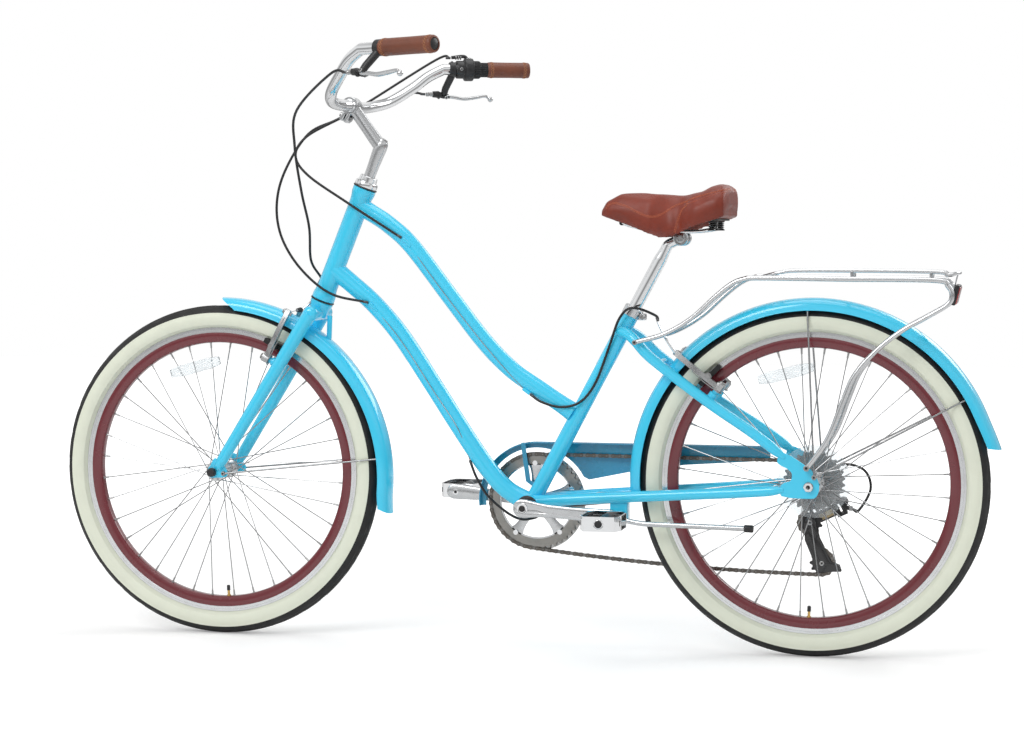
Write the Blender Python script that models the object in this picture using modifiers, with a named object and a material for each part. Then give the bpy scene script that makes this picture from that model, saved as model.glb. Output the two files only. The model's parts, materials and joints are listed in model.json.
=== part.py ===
"""Step-through hybrid bike, life size, in metres, +Z up, tyres standing on z = 0.

The bike faces -X and its left side is -Y. Every sub-part is one closed solid in the collection
step_through_bike. Sizes are laid out from the middle of the wheelbase, and the last step slides the
whole bike along X so that the origin is under the middle of its length.
"""
import math

import bmesh
import bpy
from mathutils import Matrix, Vector

# Fits
GAP = 0.0003

# Wheels
WHEELBASE = 1.184
TYRE_RADIUS = 0.330
TYRE_HALF_WIDTH = 0.025
RIM_OUTER = 0.2865
RIM_INNER = 0.2555
RIM_HALF_WIDTH = 0.0118
RIM_WALL = 0.0022
RIM_BED = 0.0085
WHEEL_STEPS = 36
SPOKES = 36
SPOKE_RADIUS = 0.0010
SPOKE_CROSSINGS = 3
SPOKE_TIP_Y = 0.0030
VALVE_LENGTH = 0.022
VALVE_RADIUS = 0.0036
FRONT_VALVE_TURN = math.radians(2.6)
REAR_VALVE_TURN = math.radians(-1.3)
FRONT_SPACING = 0.100
REAR_SPACING = 0.135
AXLE_RADIUS = 0.0048
AXLE_NUT_RADIUS = 0.0092
AXLE_NUT_LENGTH = 0.0085
FRONT_CAP_LENGTH = 0.0120
HUB_BORE = 0.0058
HUB_BARREL = 0.0130
FLANGE_RADIUS = 0.0205
FLANGE_HALF_THICK = 0.0021
FRONT_FLANGE_Y = 0.0335
REAR_FLANGE_LEFT_Y = 0.0370
REAR_FLANGE_RIGHT_Y = 0.0185
PROTECTOR_RADIUS = 0.0695

# Frame
HEAD_BASE = Vector((-0.3763, 0.0, 0.6724))
HEAD_ANGLE = math.radians(67.9)
HEAD_LENGTH = 0.236
HEAD_RADIUS = 0.0195
HEAD_FLARE = 0.0225
HEAD_BORE = 0.0165
TOP_TUBE_RADIUS = 0.0170
DOWN_TUBE_RADIUS = 0.0180
BB_CENTRE = Vector((0.046, 0.0, 0.276))
BB_SHELL_RADIUS = 0.0205
BB_HALF_WIDTH = 0.034
BB_BORE = 0.0175
SEAT_TUBE_TOP = Vector((0.2500, 0.0, 0.6570))
SEAT_TUBE_RADIUS = 0.0150
SEAT_TUBE_BORE = 0.0131
CHAIN_STAY_RADIUS = 0.0112
SEAT_STAY_RADIUS = 0.0100
DROPOUT_THICKNESS = 0.005

# Steering
STEERER_RADIUS = 0.0127
STEERER_BORE = 0.0114
CUP_RADIUS = 0.0240
CUP_LIP = 0.0030
CUP_DEPTH = 0.0120
LOCKNUT_HEIGHT = 0.0215
FORK_CROWN_DROP = 0.030
BLADE_TOP = Vector((-0.3890, 0.0455, 0.6450))
BLADE_END = Vector((-0.5830, 0.0570, 0.3340))
BLADE_TOP_RADIUS = 0.0138
BLADE_END_RADIUS = 0.0112
QUILL_RADIUS = 0.0110
QUILL_DEPTH = 0.090
QUILL_RISE = 0.062
STEM_RADIUS = 0.0132
BAR_CLAMP = Vector((-0.3133, 0.0, 1.0524))
BAR_CLAMP_RADIUS = 0.0170
BAR_CLAMP_HALF = 0.0150
BAR_RADIUS = 0.0111
BAR_END = Vector((-0.0458, 0.3625, 1.1400))
BAR_STRAIGHT = 0.178
GRIP_SWEEP = math.radians(26.8)
GRIP_RADIUS = 0.0160
LEFT_GRIP_LENGTH = 0.124
RIGHT_GRIP_LENGTH = 0.085
TWIST_GRIP_LENGTH = 0.030
TWIST_GRIP_RADIUS = 0.0150
SHIFTER_RADIUS = 0.0235
SHIFTER_LENGTH = 0.036
PERCH_WIDTH = 0.0130
LEVER_REACH = 0.058
LEVER_LENGTH = 0.094
LEVER_DROP_LEFT = math.radians(54)
LEVER_DROP_RIGHT = math.radians(68)

# Brakes
BOSS_HALF_TRACK = 0.0400
BOSS_RADIUS = 0.0055
FRONT_BOSS = Vector((-0.4805, 0.0, 0.5570))
FRONT_ARM_SLOPE = math.radians(63.7)
REAR_BOSS = Vector((0.4193, 0.0, 0.5108))
REAR_ARM_SLOPE = math.radians(141.8)
ARM_LENGTH = 0.104
ARM_WIDTH = 0.0125
ARM_THICKNESS = 0.0090
PAD_CLEARANCE = 0.0018
PAD_LENGTH = 0.052
PAD_HEIGHT = 0.0095

# Drive
CHAIN_PITCH = 0.0127
CHAINRING_TEETH = 46
SPROCKET_TEETH = (28, 24, 22, 20, 18, 16, 14)
SPROCKET_STEP = 0.0048
SPROCKET_FIRST_Y = 0.0285
SPROCKET_THICKNESS = 0.0020
CHAIN_SPROCKET = 4
TOOTH_HEIGHT = 0.0026
PULLEY_TOOTH_HEIGHT = 0.0018
CHAIN_HALF_WIDTH = 0.0036
CHAIN_GROOVE = 0.0015
CHAIN_GROOVE_FLOOR = 0.0032
CHAIN_HALF_HEIGHT = 0.0042
CHAIN_WAIST = 0.0027
CHAIN_SAG = 0.0080
FREEWHEEL_BORE = 0.0172
FREEWHEEL_BODY = 0.0215
CRANK_LENGTH = 0.170
CRANK_TILT = math.radians(4.2)
CRANK_INNER_Y = 0.0640
CRANK_THICKNESS = 0.0130
SPINDLE_RADIUS = 0.0085
GUARD_RING_OUTER = 0.0970
GUARD_RING_INNER = 0.0780
SPIDER_RADIUS = 0.0800
SPIDER_ARMS = 5
PEDAL_WIDTH = 0.095
PEDAL_LENGTH = 0.078
PEDAL_END = 0.060
PEDAL_HEIGHT = 0.028
PEDAL_WALL = 0.0035
PULLEY_TEETH = 11
GUIDE_PULLEY = Vector((0.5830, 0.0, 0.2490))
TENSION_PULLEY = Vector((0.6057, 0.0, 0.1714))
LINK_START = Vector((0.6330, 0.0690, 0.2740))
LINK_END = Vector((0.5890, 0.0690, 0.2530))
LINK_SLANT = math.radians(14)
CHAIN_GUARD_Y = 0.0566
CHAIN_GUARD_THICKNESS = 0.0015
CHAIN_GUARD_RADIUS = 0.1170
CHAIN_GUARD_BAND = 0.0120

# Fenders, rack, stand, seat
FENDER_HALF_WIDTH = 0.0290
FENDER_WALL = 0.0015
FENDER_EDGE_DROP = 0.0225
FRONT_FENDER_CENTRE = Vector((-0.5880, 0.0, 0.3225))
FRONT_FENDER_RADIUS = 0.3535
REAR_FENDER_RADIUS = 0.3500
STAY_WIRE = 0.0018
RACK_TUBE = 0.0046
RACK_HALF_WIDTH = 0.0650
RACK_DECK_HALF = 0.0300
STAND_PIVOT = Vector((0.2335, -0.0480, 0.2580))
STAND_LENGTH = 0.252
STAND_RADIUS = 0.0050
POST_RADIUS = 0.0127
POST_TOP = Vector((0.3160, 0.0, 0.7803))
POST_INSERT = 0.110
SADDLE_CLAMP = Vector((0.3430, 0.0, 0.7917))
RAIL_RADIUS = 0.0035
RAIL_HALF_TRACK = 0.0220
SADDLE_NOSE_X = 0.1830
SADDLE_TAIL_X = 0.4400
SADDLE_FLOOR = 0.8290
HOUSING_RADIUS = 0.0025

# The saddle along its length, as (share from the nose, metres)
SADDLE_HALF = [(0, 0.013), (0.07, 0.026), (0.36, 0.038), (0.6, 0.074), (0.8, 0.104), (0.93, 0.1), (1, 0.072)]
SADDLE_TOP = [(0, 0.85), (0.06, 0.868), (0.18, 0.879), (0.48, 0.874), (0.68, 0.871), (0.9, 0.892), (1, 0.883)]
SADDLE_LOW = [(0, 0.84), (0.1, 0.832), (0.5, 0.7985), (0.6, 0.8), (0.84, 0.818), (1, 0.834)]

PART_NAME = "step_through_bike"
FRONT_AXLE = Vector((-WHEELBASE / 2, 0.0, TYRE_RADIUS))
REAR_AXLE = Vector((WHEELBASE / 2, 0.0, TYRE_RADIUS))
HEAD_AXIS = Vector((math.cos(HEAD_ANGLE), 0.0, math.sin(HEAD_ANGLE)))
BACK = Vector((1.0, 0.0, 0.0))
SIDE = Vector((0.0, 1.0, 0.0))
UP = Vector((0.0, 0.0, 1.0))
ZERO = Vector((0.0, 0.0, 0.0))
SEAT_AXIS = (SEAT_TUBE_TOP - BB_CENTRE).normalized()
CHAIN_Y = SPROCKET_FIRST_Y + CHAIN_SPROCKET * SPROCKET_STEP

FRAME_BLUE = (0.055, 0.640, 0.850)
GUARD_BLUE = (0.045, 0.470, 0.640)
SILVER = (0.62, 0.63, 0.63)
CHROME = (0.78, 0.79, 0.80)
BLACK = (0.020, 0.020, 0.022)
DARK_STEEL = (0.10, 0.095, 0.09)
LEATHER = (0.230, 0.062, 0.030)
CREAM = (0.72, 0.70, 0.60)
BURGUNDY = (0.165, 0.026, 0.034)
CLEAR = (0.80, 0.83, 0.84)
RED = (0.42, 0.012, 0.016)


def clear_scene():
    for item in list(bpy.data.objects):
        bpy.data.objects.remove(item, do_unlink=True)
    for group in list(bpy.data.collections):
        bpy.data.collections.remove(group)


def new_collection(name):
    group = bpy.data.collections.new(name)
    bpy.context.scene.collection.children.link(group)
    return group


clear_scene()
PART = new_collection(PART_NAME)
SCRATCH = new_collection("construction")


def material(name, colour, roughness, metallic):
    """A Principled material, made once for each name."""
    found = bpy.data.materials.get(name)
    if found:
        return found
    made = bpy.data.materials.new(name)
    made.use_nodes = True
    shader = made.node_tree.nodes["Principled BSDF"]
    shader.inputs["Base Color"].default_value = (*colour, 1.0)
    shader.inputs["Roughness"].default_value = roughness
    shader.inputs["Metallic"].default_value = metallic
    made.diffuse_color = (*colour, 1.0)
    return made


def add_object(mesh):
    item = bpy.data.objects.new(mesh.name, mesh)
    SCRATCH.objects.link(item)
    return item


def from_bmesh(bm):
    bm.normal_update()
    bmesh.ops.recalc_face_normals(bm, faces=bm.faces)
    mesh = bpy.data.meshes.new("solid")
    bm.to_mesh(mesh)
    bm.free()
    return add_object(mesh)


def bake(item, weld=0.00001, flat=0.0):
    """Turns an object with modifiers, or a curve, into a plain welded mesh in world space.

    With a flat angle, faces that lie in one plane are merged.
    """
    bpy.context.view_layer.update()
    graph = bpy.context.evaluated_depsgraph_get()
    mesh = bpy.data.meshes.new_from_object(item.evaluated_get(graph))
    mesh.transform(item.matrix_world)
    bpy.data.objects.remove(item, do_unlink=True)
    bm = bmesh.new()
    bm.from_mesh(mesh)
    bpy.data.meshes.remove(mesh)
    bmesh.ops.remove_doubles(bm, verts=bm.verts, dist=weld)
    if flat:
        bmesh.ops.dissolve_limit(bm, angle_limit=flat, verts=bm.verts, edges=bm.edges)
    return from_bmesh(bm)


def frame_matrix(origin, z_axis, x_hint):
    """A placement whose Z is z_axis and whose X leans towards x_hint."""
    z_axis = z_axis.normalized()
    y_axis = z_axis.cross(x_hint).normalized()
    x_axis = y_axis.cross(z_axis)
    turn = Matrix((x_axis, y_axis, z_axis)).transposed().to_4x4()
    return Matrix.Translation(origin) @ turn


def flipped(point, side):
    """The point on the right (side = 1) or the left (side = -1) of the bike."""
    point = Vector(point)
    return Vector((point.x, side * abs(point.y), point.z))


def clear(radius, steps):
    """The radius of a many-sided bore whose flats clear a bar of the given radius."""
    return (radius + GAP) / math.cos(math.pi / steps)


def smooth_path(points, steps):
    """Points along a smooth curve through the given ones."""
    given = [Vector(point) for point in points]
    ends = [2 * given[0] - given[1]] + given + [2 * given[-1] - given[-2]]
    path = []
    for i in range(1, len(ends) - 2):
        a, b, c, d = ends[i - 1 : i + 3]
        for step in range(steps):
            t = step / steps
            bend = (2 * a - 5 * b + 4 * c - d) * t * t + (3 * b - a - 3 * c + d) * t**3
            path.append(0.5 * (2 * b + (c - a) * t + bend))
    path.append(given[-1])
    return path


def tube(points, radius, resolution=2, end_radius=None):
    """A round bar along the points, with 4 + 2 x resolution sides, tapering to end_radius."""
    curve = bpy.data.curves.new("tube", "CURVE")
    curve.dimensions = "3D"
    curve.bevel_depth = 1.0
    curve.bevel_resolution = resolution
    curve.use_fill_caps = True
    curve.render_resolution_u = 0
    spline = curve.splines.new("POLY")
    spline.points.add(len(points) - 1)
    last = radius if end_radius is None else end_radius
    for i, point in enumerate(points):
        spline.points[i].co = (*point, 1.0)
        spline.points[i].radius = radius + (last - radius) * i / max(1, len(points) - 1)
    item = bpy.data.objects.new("tube", curve)
    SCRATCH.objects.link(item)
    return bake(item)


def straight(start, end, radius, resolution=2, end_radius=None):
    return tube([start, end], radius, resolution, end_radius)


def lathe(profile, origin, axis, steps, x_hint=None):
    """Turns a profile of (radius, height) pairs about an axis.

    A profile whose ends both lie on the axis makes a solid. Any other one closes on itself as a ring.
    """
    solid = profile[0][0] == 0.0 and profile[-1][0] == 0.0
    mesh = bpy.data.meshes.new("profile")
    count = len(profile)
    edges = [(i, i + 1) for i in range(count - 1)]
    if not solid:
        edges.append((count - 1, 0))
    mesh.from_pydata([(radius, 0.0, height) for radius, height in profile], edges, [])
    item = add_object(mesh)
    screw = item.modifiers.new("turn", "SCREW")
    screw.steps = steps
    screw.render_steps = steps
    screw.use_merge_vertices = True
    screw.merge_threshold = 0.00001
    hint = x_hint or (BACK if abs(axis.normalized().x) < 0.9 else UP)
    item.matrix_world = frame_matrix(origin, axis, hint)
    return bake(item)


def cylinder(start, end, radius, steps=12, x_hint=None):
    height = (end - start).length
    profile = [(0.0, height), (radius, height), (radius, 0.0), (0.0, 0.0)]
    return lathe(profile, start, end - start, steps, x_hint)


def pin(centre, half_length, radius, steps=10):
    """A cylinder that runs from side to side."""
    return cylinder(centre - SIDE * half_length, centre + SIDE * half_length, radius, steps)


def box(centre, size, matrix=None):
    bm = bmesh.new()
    bmesh.ops.create_cube(bm, size=1.0)
    bmesh.ops.scale(bm, vec=size, verts=bm.verts)
    bmesh.ops.translate(bm, vec=centre, verts=bm.verts)
    if matrix:
        bm.transform(matrix)
    return from_bmesh(bm)


def plate(outlines, thickness, matrix):
    """A flat sheet from closed 2D outlines, the inner ones as holes, centred on its own plane."""
    curve = bpy.data.curves.new("plate", "CURVE")
    curve.dimensions = "2D"
    curve.fill_mode = "BOTH"
    curve.extrude = thickness / 2
    curve.render_resolution_u = 0
    for outline in outlines:
        spline = curve.splines.new("POLY")
        spline.points.add(len(outline) - 1)
        for i, (across, along) in enumerate(outline):
            spline.points[i].co = (across, along, 0.0, 1.0)
        spline.use_cyclic_u = True
    item = bpy.data.objects.new("plate", curve)
    SCRATCH.objects.link(item)
    item.matrix_world = matrix
    return bake(item)


def side_plate(outlines, thickness, y):
    """A plate drawn in the bike's side view, as (x, z) points, at the given y."""
    return plate(outlines, thickness, frame_matrix(Vector((0, y, 0)), -SIDE, BACK))


def drive_plate(outlines, thickness, centre, y):
    """A plate drawn about a wheel's centre in the side view."""
    return plate(outlines, thickness, frame_matrix(Vector((centre.x, y, centre.z)), -SIDE, BACK))


def ring_points(radius, count, centre=(0.0, 0.0)):
    turn = 2 * math.pi / count
    return [
        (centre[0] + radius * math.cos(i * turn), centre[1] + radius * math.sin(i * turn))
        for i in range(count)
    ]


def arc_points(centre, radius, first, last, count):
    """Points in the side view along an arc, with the angles in degrees from the rear (+X)."""
    angles = [math.radians(first + (last - first) * i / (count - 1)) for i in range(count)]
    return [(centre[0] + radius * math.cos(a), centre[1] + radius * math.sin(a)) for a in angles]


def joined(items):
    """Puts several solids into one mesh without uniting them."""
    bm = bmesh.new()
    for item in items:
        bm.from_mesh(item.data)
        bpy.data.objects.remove(item, do_unlink=True)
    mesh = bpy.data.meshes.new("group")
    bm.to_mesh(mesh)
    bm.free()
    return add_object(mesh)


def combine(base, others, operation, flat=math.radians(0.3)):
    for other in others:
        step = base.modifiers.new(operation, "BOOLEAN")
        step.operation = operation
        step.object = other
        other.display_type = "WIRE"
        other.hide_render = True
    result = bake(base, 0.000002, flat)
    for other in others:
        bpy.data.objects.remove(other, do_unlink=True)
    return result


def unite(items, flat=math.radians(0.3)):
    return combine(items[0], items[1:], "UNION", flat)


def cut(base, cutters):
    return combine(base, cutters, "DIFFERENCE")


def finish(name, item, look, pivot=None):
    """Names a solid, gives it its material, shading and origin, and files it with the part."""
    item.name = name
    item.data.name = name
    item.data.materials.clear()
    item.data.materials.append(look)
    item.data.shade_smooth()
    item.data.set_sharp_from_angle(angle=math.radians(32))
    if pivot:
        item.data.transform(Matrix.Translation(-pivot))
        item.location = pivot
    SCRATCH.objects.unlink(item)
    PART.objects.link(item)
    return item


def head_point(height, forward=0.0):
    """A point on the steering axis, height metres above the lower end of the head tube."""
    return HEAD_BASE + HEAD_AXIS * height + Vector((-HEAD_AXIS.z, 0, HEAD_AXIS.x)) * forward


def wheel_point(centre, radius, degrees, y=0.0):
    angle = math.radians(degrees)
    return Vector((centre.x + radius * math.cos(angle), y, centre.z + radius * math.sin(angle)))


def pitch_radius(teeth):
    return CHAIN_PITCH / (2 * math.sin(math.pi / teeth))


def tooth_outline(teeth, tip_height=TOOTH_HEIGHT):
    """A sprocket's outline: a root on each roller's seat and a tip between each two."""
    pitch = pitch_radius(teeth)
    step = math.pi / teeth
    outline = []
    for i in range(2 * teeth):
        radius = pitch - 0.0036 if i % 2 == 0 else pitch + tip_height
        outline.append((radius * math.cos(i * step), radius * math.sin(i * step)))
    return outline


# Materials
BLUE_PAINT = material("blue_paint", FRAME_BLUE, 0.22, 0.0)
DARK_BLUE_PAINT = material("dark_blue_paint", GUARD_BLUE, 0.28, 0.0)
CHROME_METAL = material("chrome_metal", CHROME, 0.08, 1.0)
SILVER_METAL = material("silver_metal", SILVER, 0.30, 1.0)
BLACK_PLASTIC = material("black_plastic", BLACK, 0.45, 0.0)
BLACK_HOUSING = material("black_housing", BLACK, 0.35, 0.0)
STEEL = material("dark_steel", DARK_STEEL, 0.40, 1.0)
BROWN_LEATHER = material("brown_leather", LEATHER, 0.50, 0.0)
TYRE_RUBBER = material("tyre_rubber", CREAM, 0.70, 0.0)
RIM_PAINT = material("rim_paint", BURGUNDY, 0.25, 0.2)
CLEAR_PLASTIC = material("clear_plastic", CLEAR, 0.15, 0.0)
RED_PLASTIC = material("red_plastic", RED, 0.18, 0.0)


# Wheels
def build_tyre(name, axle):
    """A tyre whose beads sit inside the rim's walls."""
    middle = TYRE_RADIUS - TYRE_HALF_WIDTH
    half = [(TYRE_RADIUS, 0.0)]
    for degrees in (52, 8):
        angle = math.radians(degrees)
        half.append((middle + TYRE_HALF_WIDTH * math.sin(angle), TYRE_HALF_WIDTH * math.cos(angle)))
    bead_y = RIM_HALF_WIDTH - RIM_WALL - GAP
    half += [(RIM_OUTER + 2 * GAP, bead_y), (RIM_OUTER - RIM_BED + 2 * GAP, bead_y)]
    loop = half + [(radius, -y) for radius, y in reversed(half[1:])]
    return finish(name, lathe(loop, axle, SIDE, WHEEL_STEPS), TYRE_RUBBER, axle)


def build_rim(name, axle, valve_turn):
    """A box-section rim with a brake wall on each side, and the valve through it at the bottom."""
    inner_half = RIM_HALF_WIDTH - RIM_WALL
    half = [
        (RIM_INNER, RIM_HALF_WIDTH - 0.0030),
        (RIM_OUTER, RIM_HALF_WIDTH),
        (RIM_OUTER, inner_half),
        (RIM_OUTER - RIM_BED, inner_half),
    ]
    loop = half + [(radius, -y) for radius, y in reversed(half)]
    ring = lathe(loop, axle, SIDE, WHEEL_STEPS)
    down = Vector((math.sin(valve_turn), 0.0, -math.cos(valve_turn)))
    top = axle + down * (RIM_INNER + 0.010)
    valve = straight(top, axle + down * (RIM_INNER - VALVE_LENGTH), VALVE_RADIUS, 1)
    return finish(name, unite([ring, valve]), RIM_PAINT, axle)


def thin_rod(start, end, radius):
    """A three-sided rod."""
    bm = bmesh.new()
    length = (end - start).length
    bmesh.ops.create_cone(bm, cap_ends=True, segments=3, radius1=radius, radius2=radius, depth=length)
    bm.transform(frame_matrix((start + end) / 2, end - start, SIDE))
    return from_bmesh(bm)


def spoke_group(axle, flange_y, side, phase):
    """Half of a wheel's spokes: from one flange, crossing three neighbours, to the rim."""
    per_side = SPOKES // 2
    step = 2 * math.pi / per_side
    hole = FLANGE_RADIUS - 0.0040
    reach = RIM_INNER * math.cos(math.pi / WHEEL_STEPS) - GAP
    lean = 2 * math.pi * SPOKE_CROSSINGS / per_side
    spokes = []
    for i in range(per_side):
        way = 1 if i % 2 == 0 else -1
        at_hub = phase + i * step
        at_rim = at_hub + way * lean
        y_hub = side * (flange_y + way * (FLANGE_HALF_THICK - 0.0007))
        start = axle + Vector((hole * math.cos(at_hub), y_hub, hole * math.sin(at_hub)))
        end = axle + Vector((reach * math.cos(at_rim), side * SPOKE_TIP_Y, reach * math.sin(at_rim)))
        spokes.append(thin_rod(start, end, SPOKE_RADIUS))
    return spokes


def build_hub(name, axle, left_y, right_y, half_length, boss=None):
    """A hub shell with two flanges, bored for the axle, and the wheel's laced spokes."""
    thick = FLANGE_HALF_THICK
    profile = [(HUB_BORE, -half_length), (0.0105, -half_length)]
    for flange in (-left_y, right_y):
        profile += [
            (HUB_BARREL, flange - thick - 0.0015),
            (FLANGE_RADIUS, flange - thick),
            (FLANGE_RADIUS, flange + thick),
            (HUB_BARREL, flange + thick + 0.0015),
        ]
    if boss:
        radius, end = boss
        profile[-1] = (radius, right_y + thick + 0.0010)
        profile += [(radius, end), (HUB_BORE, end)]
    else:
        profile += [(0.0105, half_length), (HUB_BORE, half_length)]
    shell = lathe(profile, axle, SIDE, 10)
    phase = math.pi / WHEEL_STEPS
    spokes = spoke_group(axle, left_y, -1, phase)
    spokes += spoke_group(axle, right_y, 1, phase + 2 * math.pi / SPOKES)
    return finish(name, unite([shell, joined(spokes)]), SILVER_METAL, axle)


def build_wheel_reflector(name, axle, degrees, thickness):
    """A clear reflector between the spokes of the two sides."""
    centre = wheel_point(axle, 0.2125, degrees)
    angle = math.radians(degrees)
    matrix = frame_matrix(centre, SIDE, Vector((-math.sin(angle), 0, math.cos(angle))))
    end, half = 0.054, 0.0115
    outline = [(-end, -half * 0.7), (-end, half * 0.7), (-0.030, half), (0.030, half)]
    outline += [(end, half * 0.7), (end, -half * 0.7), (0.030, -half), (-0.030, -half)]
    return finish(name, plate([outline], thickness, matrix), CLEAR_PLASTIC, axle)


def build_axle(name, axle, spacing, cap_length, look):
    """The axle with its locknuts inside and its nuts outside the dropouts."""
    inner = spacing / 2
    outer = inner + DROPOUT_THICKNESS + GAP
    end = outer + cap_length
    half = [
        (0.0, end),
        (AXLE_NUT_RADIUS * 0.75, end),
        (AXLE_NUT_RADIUS, end - 0.003),
        (AXLE_NUT_RADIUS, outer),
        (AXLE_RADIUS, outer),
        (AXLE_RADIUS, inner - GAP),
        (0.0082, inner - GAP),
        (0.0082, inner - 0.0065),
        (AXLE_RADIUS, inner - 0.0065),
    ]
    profile = half + [(radius, -height) for radius, height in reversed(half)]
    return finish(name, lathe(profile, axle, SIDE, 6), look)


def build_wheels():
    build_tyre("front_tyre", FRONT_AXLE)
    build_tyre("rear_tyre", REAR_AXLE)
    build_rim("front_rim", FRONT_AXLE, FRONT_VALVE_TURN)
    build_rim("rear_rim", REAR_AXLE, REAR_VALVE_TURN)
    front_half = FRONT_SPACING / 2 - 0.0065 - 2 * GAP
    rear_half = REAR_SPACING / 2 - 0.0065 - 2 * GAP
    build_hub("front_hub", FRONT_AXLE, FRONT_FLANGE_Y, FRONT_FLANGE_Y, front_half)
    boss = (FREEWHEEL_BORE - 0.0010, rear_half)
    build_hub("rear_hub", REAR_AXLE, REAR_FLANGE_LEFT_Y, REAR_FLANGE_RIGHT_Y, rear_half, boss)
    build_wheel_reflector("front_wheel_reflector", FRONT_AXLE, 105, 0.0108)
    build_wheel_reflector("rear_wheel_reflector", REAR_AXLE, 104, 0.0070)
    build_axle("front_axle", FRONT_AXLE, FRONT_SPACING, FRONT_CAP_LENGTH, BLACK_PLASTIC)
    build_axle("rear_axle", REAR_AXLE, REAR_SPACING, AXLE_NUT_LENGTH, SILVER_METAL)
    y = REAR_FLANGE_RIGHT_Y + FLANGE_HALF_THICK + 0.0010 + GAP
    disc = [(0.0170, y), (0.0170, y + 0.0012), (PROTECTOR_RADIUS, y + 0.0008), (PROTECTOR_RADIUS, y - 0.0004)]
    finish("spoke_protector", lathe(disc, REAR_AXLE, SIDE, 18), CLEAR_PLASTIC, REAR_AXLE)


# Frame
def dropout_outline():
    """The rear dropout in the side view, around the axle, from chain stay to seat stay."""
    x, z = REAR_AXLE.x, REAR_AXLE.z
    return [
        (x - 0.052, z + 0.062),
        (x - 0.034, z + 0.058),
        (x - 0.006, z + 0.040),
        (x + 0.010, z + 0.026),
        (x + 0.020, z + 0.004),
        (x + 0.016, z - 0.016),
        (x + 0.002, z - 0.022),
        (x - 0.050, z - 0.018),
        (x - 0.050, z + 0.004),
        (x - 0.034, z + 0.010),
        (x - 0.031, z + 0.024),
        (x - 0.040, z + 0.034),
        (x - 0.058, z + 0.044),
    ]


def stay_routes():
    """Centre lines of the right chain stay and the right seat stay."""
    inner = REAR_SPACING / 2 + DROPOUT_THICKNESS / 2
    chain = [
        (BB_CENTRE.x + 0.012, 0.0185, 0.2840),
        (0.1150, 0.0300, 0.2890),
        (0.1850, 0.0385, 0.2950),
        (0.3300, 0.0465, 0.3055),
        (0.4600, 0.0590, 0.3150),
        (REAR_AXLE.x - 0.046, inner, 0.3230),
    ]
    seat = [
        (0.2240, 0.0120, 0.6150),
        (0.2420, 0.0250, 0.6100),
        (0.2600, 0.0370, 0.5960),
        (0.2950, 0.0455, 0.5620),
        (0.4000, 0.0500, 0.4840),
        (0.4850, 0.0600, 0.4290),
        (REAR_AXLE.x - 0.044, inner, 0.3830),
    ]
    return chain, seat


def boss_axis(which):
    slope = FRONT_ARM_SLOPE if which == "front" else REAR_ARM_SLOPE
    turn = math.pi / 2 if which == "front" else -math.pi / 2
    return Vector((math.cos(slope + turn), 0, math.sin(slope + turn)))


def boss_pivot(which, side):
    return (FRONT_BOSS if which == "front" else REAR_BOSS) + SIDE * side * BOSS_HALF_TRACK


def brake_boss(which, side, shoulder):
    """The stud that a brake arm turns on, with its thicker foot in the blade or stay."""
    profile = [(0.0, 0.0), (0.0085, 0.0), (0.0085, shoulder), (BOSS_RADIUS, shoulder)]
    profile += [(BOSS_RADIUS, 0.0310), (0.0, 0.0310)]
    axis = boss_axis(which)
    return lathe(profile, boss_pivot(which, side) - axis * 0.0300, axis, 8, SIDE)


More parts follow.
